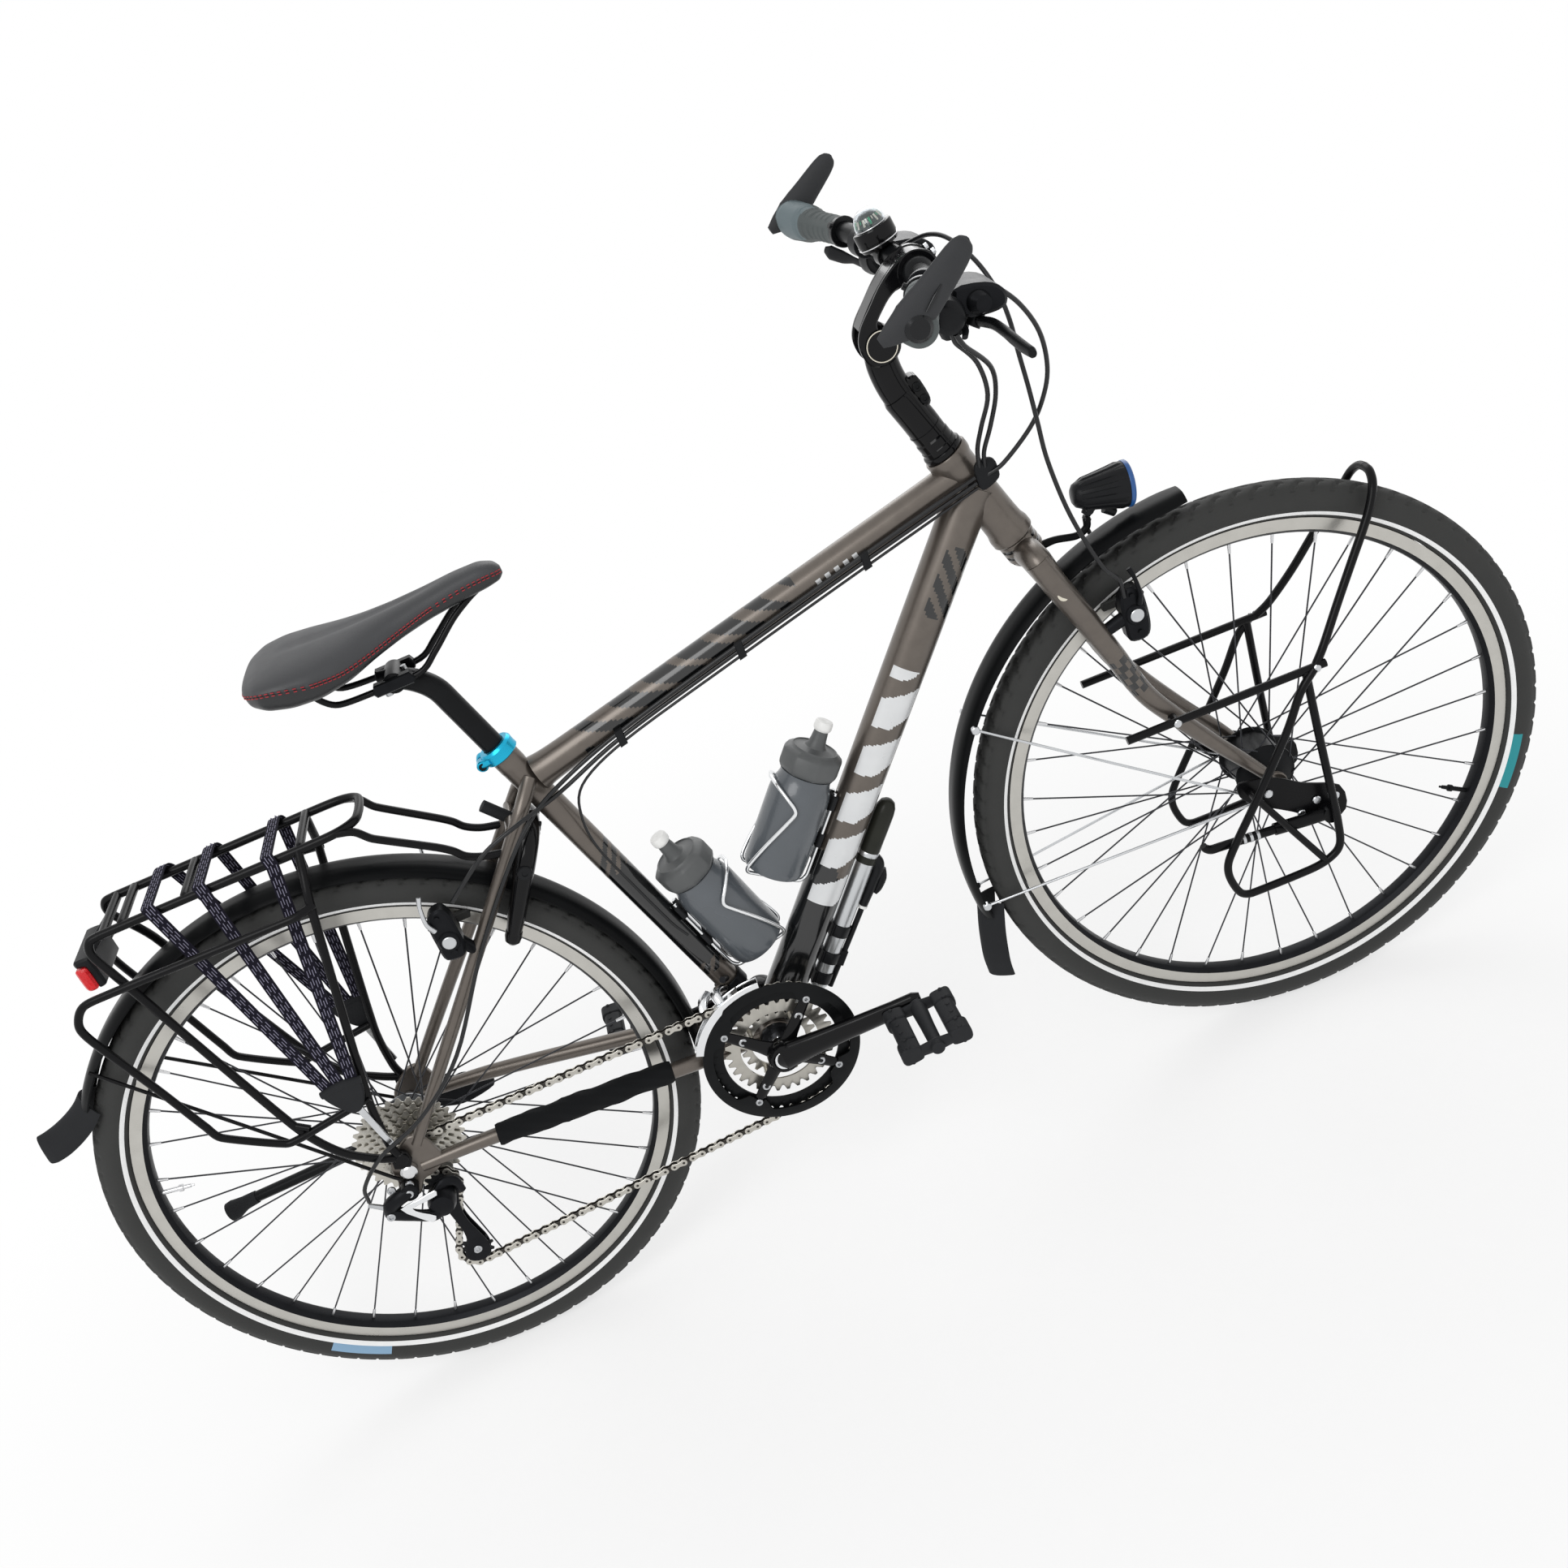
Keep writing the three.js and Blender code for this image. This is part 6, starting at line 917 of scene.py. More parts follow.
for side, name in ((-1, "right"), (1, "left")):

    def at(x, y, z):
        return Vector((x, side * y, z))

    bar_way = (at(878, 170, 1093) - at(893, 110, 1084)).normalized()
    ring_middle = at(885.5, 140, 1088.5)
    body_middle = at(918, 143, 1069)
    pivot_top = at(934, 150, 1061)
    lid_run = (at(926, 168, 1063) - at(911, 118, 1071)).normalized()
    screws = [at(918.5, 143, 1067) + lid_run * offset + lid_way * 11.4 for offset in (-11, 11)]
    piece("master " + name, joined(
        lathe(ring_middle - bar_way * 8.5, bar_way, bar_ring, 40),
        pipe(beside(cylinder_line, side), [7, 11.4, 12.4, 11.6, 8], 28, 6, 1.06),
        rod(ring_middle, body_middle, 8.6, 20, 9.6),
        side_plate(reservoir, 0, 0, side, 106, 168, 3, 3),
        rod(pivot_top, pivot_top + lever_axis * 17.6, 8.2, 24, 7.8),
        rod(body_middle, pivot_top, 8, 20),
        *[rod(foot, foot + lid_way * 2.2, 2.6, 12) for foot in screws]), brake_casting, "bars",
        hides="controls_" + name)
    piece("shift pod " + name, joined(
        pipe(beside(shifter_line, side), [9, 15.4, 16.2, 15, 10], 28, 6, 1.1),
        lathe(at(902, 128, 1047), (0.2, 0, -0.98), shifter_wheel, 36),
        rod(ring_middle, at(897, 150, 1064), 7.4, 18),
        pipe(beside(thumb_line, side), [4.4, 3.8, 4.2, 7.4, 8.4, 4], 20, 6, 0.5),
        pipe(beside([(902, 160, 1052), (906, 166, 1044), (902, 176, 1040)], side), [4, 3.6, 3], 16, 6, 0.8),
        disc((900, 1071), side, 150, 171, 7.4, 1.6, 24)), pod_plastic, "bars")
    root = pivot_top + lever_axis * 17.9
    piece("brake lever " + name, joined(
        rod(root, root + lever_axis * 9.2, 8.2, 24),
        pipe([root + lever_axis * 4.6] + beside(blade_line, side), [5, 5.4, 5.8, 6, 6.2, 6.2, 5.4, 3.6], 24,
            6, 0.72)), satin_black, name + "_lever", hides="brake_lever_" + name)

# The bell: a black body on a band, with a compass card under a clear dome.
compass_card = surface("green and black compass card", "#12352b", "#0c1110", rough=0.3, grain=0.002,
    bump=0.05)
bell_foot, bell_top = Vector((894, 85, 1091)), Vector((889, 86, 1119))
bell_way = (bell_top - bell_foot).normalized()
band_way = (Vector((893, 110, 1084)) - Vector((903, 60, 1076))).normalized()
bell_band = [(11.3, 0), (13.4, 0), (14.2, 0.8), (14.2, 12), (13.4, 12.8), (11.3, 12.8)]
bell_shell = [(0, -2), (14, -2), (20.4, 0), (22, 3), (22.4, 5), (21.4, 5.6), (21.4, 6.6), (22.2, 7.2),
    (22.2, 20), (21.4, 21.4), (19.6, 22), (0, 22)]
striker = [bell_foot + Vector(step) for step in ((0, 14, 4), (8, 26, 6), (14, 30, 8))]
piece("bell body", joined(
    lathe(Vector((898, 85, 1080)) - band_way * 6.4, band_way, bell_band, 36),
    lathe(bell_foot, bell_way, bell_shell, 64),
    pipe(striker, [3, 2.6, 3.4], 14, 6)), gloss_black, "bars", hides="bell")
piece("bell rings", joined(
    lathe(bell_foot, bell_way, [(21.6, 3.6), (22.8, 4), (22.8, 5), (21.6, 5.4)], 64),
    lathe(bell_foot, bell_way, [(16.4, 21.8), (17.6, 22.2), (17.4, 22.8), (16.2, 22.6)], 64)), nipple_brass,
    "bars")
card_foot = bell_foot + bell_way * 21.9
piece("compass card", lathe(card_foot, bell_way, [(0, 0), (15, 0), (14.8, 5), (12.4, 10.4), (7.4, 14.4),
    (0, 16)], 40), compass_card, "bars")
bell_side = bell_way.cross(sideways).normalized()
bell_third = bell_way.cross(bell_side)
pale_ticks, green_ticks = [], []
for i in range(24):
    angle = 2 * math.pi * i / 24
    out = bell_side * math.cos(angle) + bell_third * math.sin(angle)
    # every second tick is short and thin
    low, radius = (bell_way * 7.6 + out * 13.8, 0.7) if i % 2 else (bell_way * 4 + out * 15.2, 1.2)
    tick = rod(card_foot + low, card_foot + bell_way * 10.8 + out * 12.2, radius, 6)
    (pale_ticks if i % 3 else green_ticks).append(tick)
# pale green marks
compass_green = surface("green luminous ink", "#1f9a6a", "#2fb57e", rough=0.4, grain=0.001, bump=0.05)
piece("compass pale ticks", joined(*pale_ticks), cream_enamel, "bars")
piece("compass green ticks", joined(*green_ticks), compass_green, "bars")
dome = [(17.4, 0), (17.4, 4), (16, 10), (12.8, 15), (7.4, 18.2), (0, 19.4), (0, 18.4), (7, 17.2), (12, 14),
    (15, 9.6), (16.4, 4), (16.4, 0)]
piece("compass dome", lathe(bell_foot + bell_way * 22, bell_way, dome, 48), clear_lens, "bars")


# The seat: an aluminium post with a set-back head in the seat tube, two steel rails in its clamp,
# and a saddle of moulded foam under dark synthetic leather, double-stitched in red where the top
# meets the side panel.
# near-black cover with a fine pebble and a soft broad sheen
saddle_cover = surface("dark grey synthetic leather", "#303133", "#38393c", rough=0.5, grain=0.0016,
    bump=0.3)
# the blacker panel that goes round the side
saddle_panel = surface("black side panel vinyl", "#151618", "#1c1d1f", rough=0.42, grain=0.0012, bump=0.2)
# a red line along the saddle's edge
red_thread = surface("red polyester thread", "#a1202a", "#8a1a24", rough=0.6, grain=0.0006, bump=0.3)

post_line = [(361, 0, 596), (324, 0, 716), (286, 0, 842), (279, 0, 862), (266, 0, 878), (248, 0, 890),
    (228, 0, 896)]
post_head = [(0, -23), (9, -23), (11.5, -21), (12, -6), (12, 6), (11.5, 21), (9, 23), (0, 23)]
piece("seatpost", joined(pipe(post_line, [13, 13, 13, 13, 12.6, 12, 10], 32, 8),
    lathe((246, 0, 893), sideways, post_head, 32)), satin_black, "seat_body", hides="seatpost")
rail_clamp = [(225, 887), (267, 887), (270, 892), (266, 900.5), (226, 900.5), (222, 892)]
piece("rail clamp", mirrored(plate(rail_clamp, 16, 28, 1.6)), brake_casting, "seat_body")
clamp_head = [(0, 2), (2.4, 2), (2.6, 0), (4.6, 0), (5, 1), (5, 6), (0, 6)]
piece("clamp bolts", joined(*[part for x in (233, 259) for part in (
    rod((x, 0, 880), (x, 0, 901), 3.2, 12), lathe((x, 0, 876), (0, 0, 1), clamp_head, 12))]), bolt_steel,
    "seat_body")
rail = [(164, 30, 926), (172, 27, 908), (186, 24, 896), (222, 22, 893), (275, 22, 893), (300, 21, 908),
    (330, 16, 930), (352, 9, 941), (366, 4, 946)]
piece("saddle rails", mirrored(pipe(rail, 3.5, 14, 5)), black_steel, "seat_body", hides="saddle_rails")

# each row: x, half width, top, bottom, and the share of the height at which the seam runs
saddle_rows = [(106, 12, 951, 946, 0.6), (108, 34, 956, 940, 0.66), (112, 56, 961, 932, 0.7),
    (128, 74, 966, 924, 0.7), (152, 80, 968, 918, 0.64), (182, 78, 967, 916, 0.52),
    (214, 66, 965, 920, 0.4), (244, 48, 965, 928, 0.32), (276, 34, 966, 934, 0.34),
    (312, 25, 968, 939, 0.44), (350, 20, 971, 942, 0.5), (378, 17, 971, 944, 0.5),
    (392, 11, 966, 946, 0.5), (397, 4, 959, 951, 0.5)]


def level(table, x):
    """The numbers of a table of rows at x, between the two rows next to it."""
    for low, high in zip(table, table[1:]):
        if x <= high[0]:
            share = (x - low[0]) / (high[0] - low[0])
            return [a + (b - a) * share for a, b in zip(low[1:], high[1:])]
    return list(table[-1][1:])


stations = [106 + 291 * (0.5 - 0.5 * math.cos(math.pi * i / 96)) for i in range(97)]
rows = [level(saddle_rows, x) for x in stations]
smoothing_passes = 4
for _ in range(smoothing_passes):
    threes = zip(rows, rows[1:], rows[2:])
    middle_rows = [[(a + 2 * b + c) / 4 for a, b, c in zip(*three)] for three in threes]
    rows = [rows[0], *middle_rows, rows[-1]]
points = []
seam_lines = {-1: [], 1: []}
around = 64
for x, (half, top, bottom, share) in zip(stations, rows):
    edge = bottom + (top - bottom) * share
    for k in range(around):
        c, s = math.cos(2 * math.pi * k / around), math.sin(2 * math.pi * k / around)
        if s > 0:
            y = math.copysign(abs(c) ** 0.8, c) * half
            z = edge + (top - edge) * s ** 0.8
        else:
            y = math.copysign(abs(c) ** 0.6, c) * half * 0.97
            z = edge - (edge - bottom) * abs(s) ** 0.7
        if s > 0.3:
            # the shallow channel along the middle
            z -= 2.2 * math.exp(-(y / 8) ** 2) * past(x, 140, 180) * past(x, 340, 300)
        if abs(s) < 0.02:
            # the pinch of the seam
            y -= math.copysign(min(0.9, half * 0.1), y)
        points.append((x, y, z))
    for side, line in seam_lines.items():
        line.append(Vector((x, side * half, edge)))
row_table = [(x, *row) for x, row in zip(stations, rows)]


def saddle_part(p):
    half, top, bottom, share = level(row_table, p.x)
    return 1 if p.z < bottom + (top - bottom) * share else 0


saddle = piece("saddle", skin(points, around), [saddle_cover, saddle_panel], "seat_body", saddle_part,
    hides="saddle")
stitch_pitch = 4.4
stitches = []
for side, line in seam_lines.items():
    for lift in (1.5, -1.5):
        travelled = 0.0
        for a, b in zip(line, line[1:]):
            travelled += (b - a).length
            if travelled < stitch_pitch or (b - a).length < 0.5:
                continue
            travelled = 0.0
            middle = b + Vector((0, side * 0.1, lift))
            half_stitch = (b - a).normalized() * 1.7
            stitches.append(rod(middle - half_stitch, middle + half_stitch, 0.62, 6))
piece("saddle stitching", joined(*stitches), red_thread, "seat_body")


# The drivetrain: a triple chainset with a black outer ring, steel inner rings and a bash guard, hollow black
# cranks with resin pedals, a nickel-plated chain and nine-speed cassette, and black and polished derailleurs.
# warm silver plating over the teeth
nickel_steel = surface("nickel-plated chain steel", "#c6c3bb", "#b0ada5", rough=0.32, metal=0.9,
    grain=0.0015, bump=0.1)
# the dark rivets and rollers
oiled_steel = surface("oiled roller steel", "#2c2a28", "#45423e", rough=0.3, metal=0.9, grain=0.001,
    bump=0.1)
# dull black with crisp teeth
ring_black = surface("black hard-anodised chainring", "#141516", "#1c1d1e", rough=0.36, metal=0.5,
    grain=0.0012, bump=0.1, shine=0.14)
# even grey steel inside the black ring
ring_steel = surface("bead-blasted ring steel", "#a9a69f", "#bdbab2", rough=0.35, metal=1.0, grain=0.0012,
    bump=0.12)
# rough grey-black resin
resin_grey = surface("glass-filled pedal resin", "#232426", "#2c2d2f", rough=0.6, grain=0.0012, bump=0.25,
    shine=0.14)
# long bright highlights
polished = surface("polished aluminium", "#dcdee0", "#eff0f1", rough=0.14, metal=1.0, grain=0.003,
    bump=0.03)
# stretch fabric with a dull foam-backed face
neoprene = surface("black neoprene", "#0f1011", "#17181a", rough=0.85, grain=0.0011, bump=0.35,
    shine=0.14)

chain_y = -58
link_length = 12.7


def sprocket(centre, y, radius, teeth, bore, half, tooth=4.4):
    """A toothed ring round Y through an (x, z) centre: radius is where the chain's rollers sit."""
    def toothed(r, height, angle):
        if r < radius - tooth:
            return r
        wave = 0.5 + 0.5 * math.cos(teeth * angle)
        return radius - tooth + 2 * tooth * min(1, wave * 1.25) ** 1.4 * 0.85

    rim = [(bore, -half), (radius - tooth - 1, -half), (radius, -half * 0.55), (radius, half * 0.55),
        (radius - tooth - 1, half), (bore, half)]
    return lathe((centre[0], y, centre[1]), sideways, rim, teeth * 8, toothed)


def five_arms(radius, height, angle):
    return radius - (12 if radius > 25 and math.sin(angle * 5) > 0 else 0)


cog_teeth = 11, 13, 15, 17, 20, 23, 26, 30, 33
rear_wheel_centre = rear_hub.x, rear_hub.z
piece("cassette sprockets", joined(*[sprocket(rear_wheel_centre, chain_y - 0.7 + 4 * i,
    link_length * teeth / (2 * math.pi) * 0.97, teeth, 14, 0.9, 3.4)
    for i, teeth in enumerate(cog_teeth)]), nickel_steel, "cassette_body", hides="cassette")
carrier_core = [(6.5, -60), (13, -60), (15.5, -59.4), (16.5, -57), (16.5, -23), (6.5, -22.6)]
carrier_arms = [(17, -50), (24, -49), (33, -38), (44, -34), (44, -32), (34, -28), (17, -27)]
piece("cassette carrier", joined(
    lathe(rear_hub, sideways, carrier_core, 40),
    lathe(rear_hub, sideways, carrier_arms, 40, five_arms)), ring_black, "cassette_body")

# The chain runs over the outer ring, a cog and both pulleys: each arc's centre, radius and two angles.
crank_middle = crank_centre.x, crank_centre.z
guide_middle, tension_middle = (16, 306), (12, 198)
chain_line = []
for (x, z), radius, start, end in ((crank_middle, 89, -84, 91), (rear_wheel_centre, 22.5, 91, 240),
        (guide_middle, 22, 62, -20), (tension_middle, 22, 148, 276)):
    count = max(6, round(abs(math.radians(end - start)) * radius / 2))
    for i in range(count + 1):
        angle = math.radians(start + (end - start) * i / count)
        chain_line.append(Vector((x + radius * math.cos(angle), chain_y, z + radius * math.sin(angle))))
legs = [(b - a).length for a, b in zip(chain_line, chain_line[1:] + chain_line[:1])]
link_count = round(sum(legs) / link_length / 2) * 2


def chain_place(distance):
    """The point at a distance along the chain's loop."""
    for i, leg in enumerate(legs):
        if distance <= leg:
            return chain_line[i].lerp(chain_line[(i + 1) % len(legs)], distance / max(leg, 1e-9))
        distance -= leg
    return chain_line[0].copy()


pins = [chain_place(i * (sum(legs) / link_count)) for i in range(link_count)]
roller = [(0, -3.7), (1.5, -3.7), (1.8, -3.4), (1.8, -1.5), (3.8, -1.5), (3.8, 1.5), (1.8, 1.5),
    (1.8, 3.4), (1.5, 3.7), (0, 3.7)]
outer_plates, dark_parts = [], []
for i, (p, q) in enumerate(zip(pins, pins[1:] + pins[:1])):
    way = (q - p).normalized()
    up = Vector((-way.z, 0, way.x))
    outline = []
    for end, sign in ((p, -1), (q, 1)):
        for k in range(7):
            angle = math.radians(-90 + 30 * k) * sign
            outline.append(end + way * sign * 4.7 * math.cos(angle) + up * 4.7 * math.sin(angle))
        outline.append(p.lerp(q, 0.5) + up * 2.9 * sign)
    # outer and inner links take turns
    low, high = (2.45, 3.4) if i % 2 else (1.6, 2.45)
    for side in (-1, 1):
        ends = sorted((chain_y + side * low, chain_y + side * high))
        (outer_plates if i % 2 else dark_parts).append(plate([(v.x, v.z) for v in outline], *ends, 0.25))
    dark_parts.append(lathe(p, sideways, roller, 12))
piece("chain plates", joined(*outer_plates), nickel_steel, hides="chain")
piece("chain rollers and pins", joined(*dark_parts), oiled_steel)

spider_angles = [math.radians(47.5 + 90 * i) for i in range(4)]


def on_crank(radius, angle, y):
    return Vector((crank_centre.x + radius * math.cos(angle), y, crank_centre.z + radius * math.sin(angle)))


def tabbed(radius, height, angle):
    """The guard's inner edge, which reaches in at the arms and at their mirror places."""
    if radius > 84.5:
        return radius
    near = max(math.cos(angle - a) for a in [math.pi - x for x in spider_angles] + spider_angles)
    return radius - 11.4 * past(near, 0.972, 0.992)


piece("outer chainring", joined(
    sprocket(crank_middle, chain_y, 88.9, 44, 71, 1.2),
    *[rod(on_crank(79, math.radians(a), chain_y - 1.1), on_crank(79, math.radians(a), chain_y - 1.6), 2.2, 10)
    for a in range(0, 360, 18)]), ring_black, "crankset", hides="chainrings")
piece("inner chainrings", joined(
    sprocket(crank_middle, chain_y + 8, 64.7, 32, 49, 1.2),
    sprocket(crank_middle, chain_y + 16, 44.5, 22, 34, 1.2),
    *[rod(on_crank(40, a, -62.5), on_crank(40, a, chain_y + 17), 4.2, 16) for a in spider_angles]),
    ring_steel, "crankset")
guard_edge = [(84.4, -62.4), (95.6, -62.4), (97, -63.2), (97, -64.4), (95.6, -65.2), (84.4, -65.2)]
piece("chain guard", lathe((crank_centre.x, 0, crank_centre.z), sideways, guard_edge, 180, tabbed),
    ring_black, "crankset", hides="chain_guard")


def crank_arm(side, eye):
    """One crank from its boss on the spindle to the pedal's eye."""
    root = crank_centre + sideways * side * 75
    way = eye - root
    line = [root + way * share for share in (-0.05, 0, 0.16, 0.5, 0.84, 1, 1.05)]
    boss = [(12.4, 60), (18, 60), (20, 64), (20, 79), (17.5, 83), (14.6, 83.4), (12.4, 81)]
    return joined(pipe(line, [13, 19.5, 16.5, 13.4, 12.2, 12.6, 9], 24, 7, 0.66),
        lathe(crank_centre, sideways * side, boss, 40))


right_eye, left_eye = Vector((624.84, -88, 297.4)), Vector((285.16, 88, 282.6))
spider, bolts = [], []
for angle in spider_angles:
    arm = [on_crank(radius, angle, y) for radius, y in ((10, -66), (30, -65), (54, -62.8), (78, -61.2))]
    spider.append(pipe(arm, [12, 8.6, 7.6, 6.4], 16, 6, 0.42))
    for radius, y, size in ((52, -66.2, 5.2), (76.5, -66.4, 4.6)):
        head = [(0, 1.2), (size * 0.45, 1.2), (size * 0.5, 0), (size * 0.9, 0), (size, 0.6), (size, 2.6),
            (0, 2.6)]
        bolts.append(lathe(on_crank(radius, angle, y), sideways, head, 18))
piece("right crank", joined(*spider, crank_arm(-1, right_eye)), gloss_black, "crankset", hides="crank_right")
piece("left crank", crank_arm(1, left_eye), gloss_black, "crankset", hides="crank_left")
piece("chainring bolts", joined(*bolts), bolt_steel, "crankset")
spindle = [(9.4, -82.6), (12.2, -83.8), (12.8, -83), (12.8, 83), (12.2, 83.8), (9.4, 82.6)]
piece("crank spindle", lathe(crank_centre, sideways, spindle, 40), polished, "crankset")

pedal_barrel = [(0, 95.6), (8.4, 95.6), (9.4, 97), (9.8, 112), (8.6, 140), (8, 176), (9, 182), (8, 187),
    (0, 187)]
pedal_axle = [(0, 90), (6, 90), (6, 91.6), (8.4, 91.6), (8.4, 94), (6, 94.4), (6, 96), (0, 96)]
for name, side, eye in (("right", -1, right_eye), ("left", 1, left_eye)):
    x, z = eye.x, eye.z
    middle = Vector((x, 0, z))
    cage, studs = [], []
    for end in (-1, 1):
        for near, far, reach in ((97, 118, 43), (119.4, 160.6, 40), (162, 183, 43)):
            block = [(18, -7), (22, -10), (reach - 5, -11), (reach, -6), (reach, 6), (reach - 5, 11),
                (22, 10), (18, 7)]
            cage.append(side_plate([(end * a, b) for a, b in block], x, z, side, near, far, 1.6, 3))
        web = [(20, -7), (34, -8), (34, 8), (20, 7)]
        cage.append(side_plate([(end * a, b) for a, b in web], x, z, side, 112, 168, 1, 2))
        for k in range(6):
            foot = middle + Vector((end * 32, side * (101 + k * 15.6), 0))
            studs += [rod(foot + Vector((0, 0, face * 9.6)), foot + Vector((0, 0, face * 12.2)), 3, 8, 2.2)
                for face in (-1, 1)]
    for y in (101, 179):
        cage.append(pipe([middle + Vector((a, side * y, 0)) for a in (-24, 0, 24)], [7, 9, 7], 14, 5, 0.55))
    cage.append(lathe(middle, sideways * side, pedal_barrel, 24))
    body = name + "_pedal"
    piece(name + " pedal cage", joined(*cage), resin_grey, body, hides="pedal_" + name)
    piece(name + " pedal studs", joined(*studs), resin_grey, body)
    piece(name + " pedal axle", lathe(middle, sideways * side, pedal_axle, 6), bolt_steel, body)

# The front derailleur: a polished cage hung from a band clamp on the seat tube.
cage = []
for low, high, drop in ((-64.9, -62.9, 4), (-53.1, -51.1, 0)):
    ring = [on_crank(105.8, math.radians(a), 0) for a in range(86, 157, 5)]
    ring += [on_crank(98.2 - (drop if a > 120 else 0), math.radians(a), 0) for a in range(156, 85, -5)]
    cage.append(plate([(p.x, p.z) for p in ring], low, high, 0.6))
bridge = [on_crank(radius, math.radians(a), 0) for radius, a in ((104.4, 100), (106, 100), (106, 120),
    (104.4, 120))]
piece("front derailleur cage", joined(
    *cage,
    plate([(p.x, p.z) for p in bridge], -64, -52, 0.4),
    pipe([(412, -58, 384), (410, -46, 392), (414, -34, 388), (420, -24, 380)], [6, 7, 8, 7], 14, 5, 0.7),
    pipe([(388, -58, 374), (392, -44, 386), (402, -32, 388)], [5, 6, 6], 14, 5, 0.6)), polished,
    hides="front_derailleur")
band = [(16.3, -8), (18.6, -8.6), (19.3, -7.6), (19.3, 7.6), (18.6, 8.6), (16.3, 8)]
piece("front derailleur band", joined(
    lathe(seat_foot + seat_way * 84, seat_way, band, 48),
    rod((436, -28, 362), (436, -14, 362), 5, 12),
    rod((424, -30, 396), (428, -14, 386), 4, 12)), brake_casting)

# The rear derailleur: black knuckles and cage, a polished outer link, two toothed resin pulleys.
pulley_bolt = [(0, -7.4), (3.2, -7.4), (4, -6.8), (4, 2.6), (0, 2.6)]
for name, body, place in (("guide pulley", "upper_pulley", guide_middle),
        ("tension pulley", "lower_pulley", tension_middle)):
    piece(name, sprocket(place, chain_y, 18.6, 11, 4.2, 1.1, 3.4), resin_grey, body,
        hides=name.replace(" ", "_"))
    piece(name + " bolt", lathe((place[0], chain_y, place[1]), sideways, pulley_bolt, 12), bolt_steel)
cage_line = [(24, 318), (34, 312), (35, 298), (25, 276), (22, 250), (26, 224), (29, 204), (26, 188),
    (12, 181), (-2, 188), (-2, 202), (6, 214), (10, 232), (8, 262), (6, 286), (4, 302), (10, 316)]
piece("derailleur cage", joined(plate(cage_line, -64.4, -62.4, 0.6, bend=3),
    plate(cage_line, -53.8, -51.6, 0.6, bend=3)), brake_casting, hides="rear_derailleur_cage")
upper_knuckle = [(0, 72), (10, 72), (11, 73), (11, 90), (9.6, 92), (5, 92), (4.4, 90), (0, 90)]
lower_knuckle = [(0, 65), (15, 65), (17, 67), (17, 84), (14, 91), (8, 93), (0, 93)]
piece("derailleur knuckles", joined(
    lathe((-10, 0, 336), -sideways, upper_knuckle, 28),
    pipe([(-10, -84, 336), (-24, -87, 334), (-38, -86, 327), (-44, -86, 315)], [10, 9.4, 9.6, 7], 18, 6,
        0.95),
    pipe([(-42, -90, 318), (-20, -91, 304), (0, -90, 292), (10, -88, 294)], [7.6, 6.6, 7, 8], 18, 6, 0.6),
    pipe([(-38, -82, 316), (-16, -82, 298), (4, -82, 288)], [6, 5.4, 6], 18, 6, 0.6),
    lathe((14, 0, 300), -sideways, lower_knuckle, 32),
    pipe([(14, -76, 312), (26, -72, 318), (36, -68, 310), (38, -66, 292)], [7, 7, 6, 4], 16, 6, 0.7)),
    brake_casting, hides="rear_derailleur_body")
link = [(-27, 324), (-4, 327), (18, 330), (18, 322), (2, 320), (-15, 318), (-8, 307), (4, 295), (-3, 288),
    (-16, 304)]
piece("derailleur link", plate(link, -96.4, -94, 0.7, bend=2), polished)
head = [(0, 1.4), (2.2, 1.4), (2.5, 0), (4.6, 0), (5.2, 0.8), (5.2, 3.4), (0, 3.4)]
places = (-10, -93, 336), (-42, -96, 318), (-6, -88, 344), (14, -66, 200), (-28, -87, 346)
piece("derailleur bolts", joined(
    rod((-44, -86, 327), (-60, -86, 341), 3.4, 14, 2.6),
    *[lathe(place, sideways, head, 20) for place in places]), bolt_steel)

# The chainstay sleeve: black neoprene wrapped round the right chainstay, closed with a taped seam.
sleeve_start = Vector((323.3, -44.5, 314.4))
sleeve_end = Vector((107.7, -65.3, 345.4))
sleeve_length = (sleeve_end - sleeve_start).length
sleeve_face = []
for i in range(61):
    s = i / 60
    puff = 1.1 * math.sin(math.pi * s) + 0.5 * math.sin(s * 26) + 0.7 * math.exp(-((s - 0.62) / 0.012) ** 2)
    sleeve_face.append((13.2 + puff - (1.2 if i in (0, 60) else 0), sleeve_length * s))
sleeve_inside = [(11.4, sleeve_length - 0.4), (11.4, 0.4)]


def sleeve_folds(radius, height, angle):
    return radius + 0.5 * math.sin(angle * 3 + height * 0.09) + 0.35 * math.sin(angle * 7 - height * 0.21)


sleeve_shape = lathe(sleeve_start, sleeve_end - sleeve_start, sleeve_face + sleeve_inside, 56, sleeve_folds)
sleeve = piece("chainstay sleeve", sleeve_shape, neoprene, sharp=60, hides="chainstay_sleeve")


# The back: a polycarbonate mudguard with a soft flap, a tubular rack welded from black steel with luggage
# straps and a tail light, a ring lock on the seat stays, and a kickstand bolted to the left stays.
# dark violet-black webbing
strap_web = surface("violet-black elastic webbing", "#0f0e18", "#151320", rough=0.8, grain=0.0009,
    bump=0.45, stretch=(1, 1, 0.3), shine=0.14)
# pale dashes that make the straps shimmer
strap_print = surface("pale woven stripe", "#77758a", "#8b899c", rough=0.7, grain=0.0009, bump=0.3)
# a clear, saturated red
red_lens = surface("red lens acrylic", "#c8121a", "#e2222a", rough=0.14, grain=0.004, bump=0.25,
    spread=0.04)

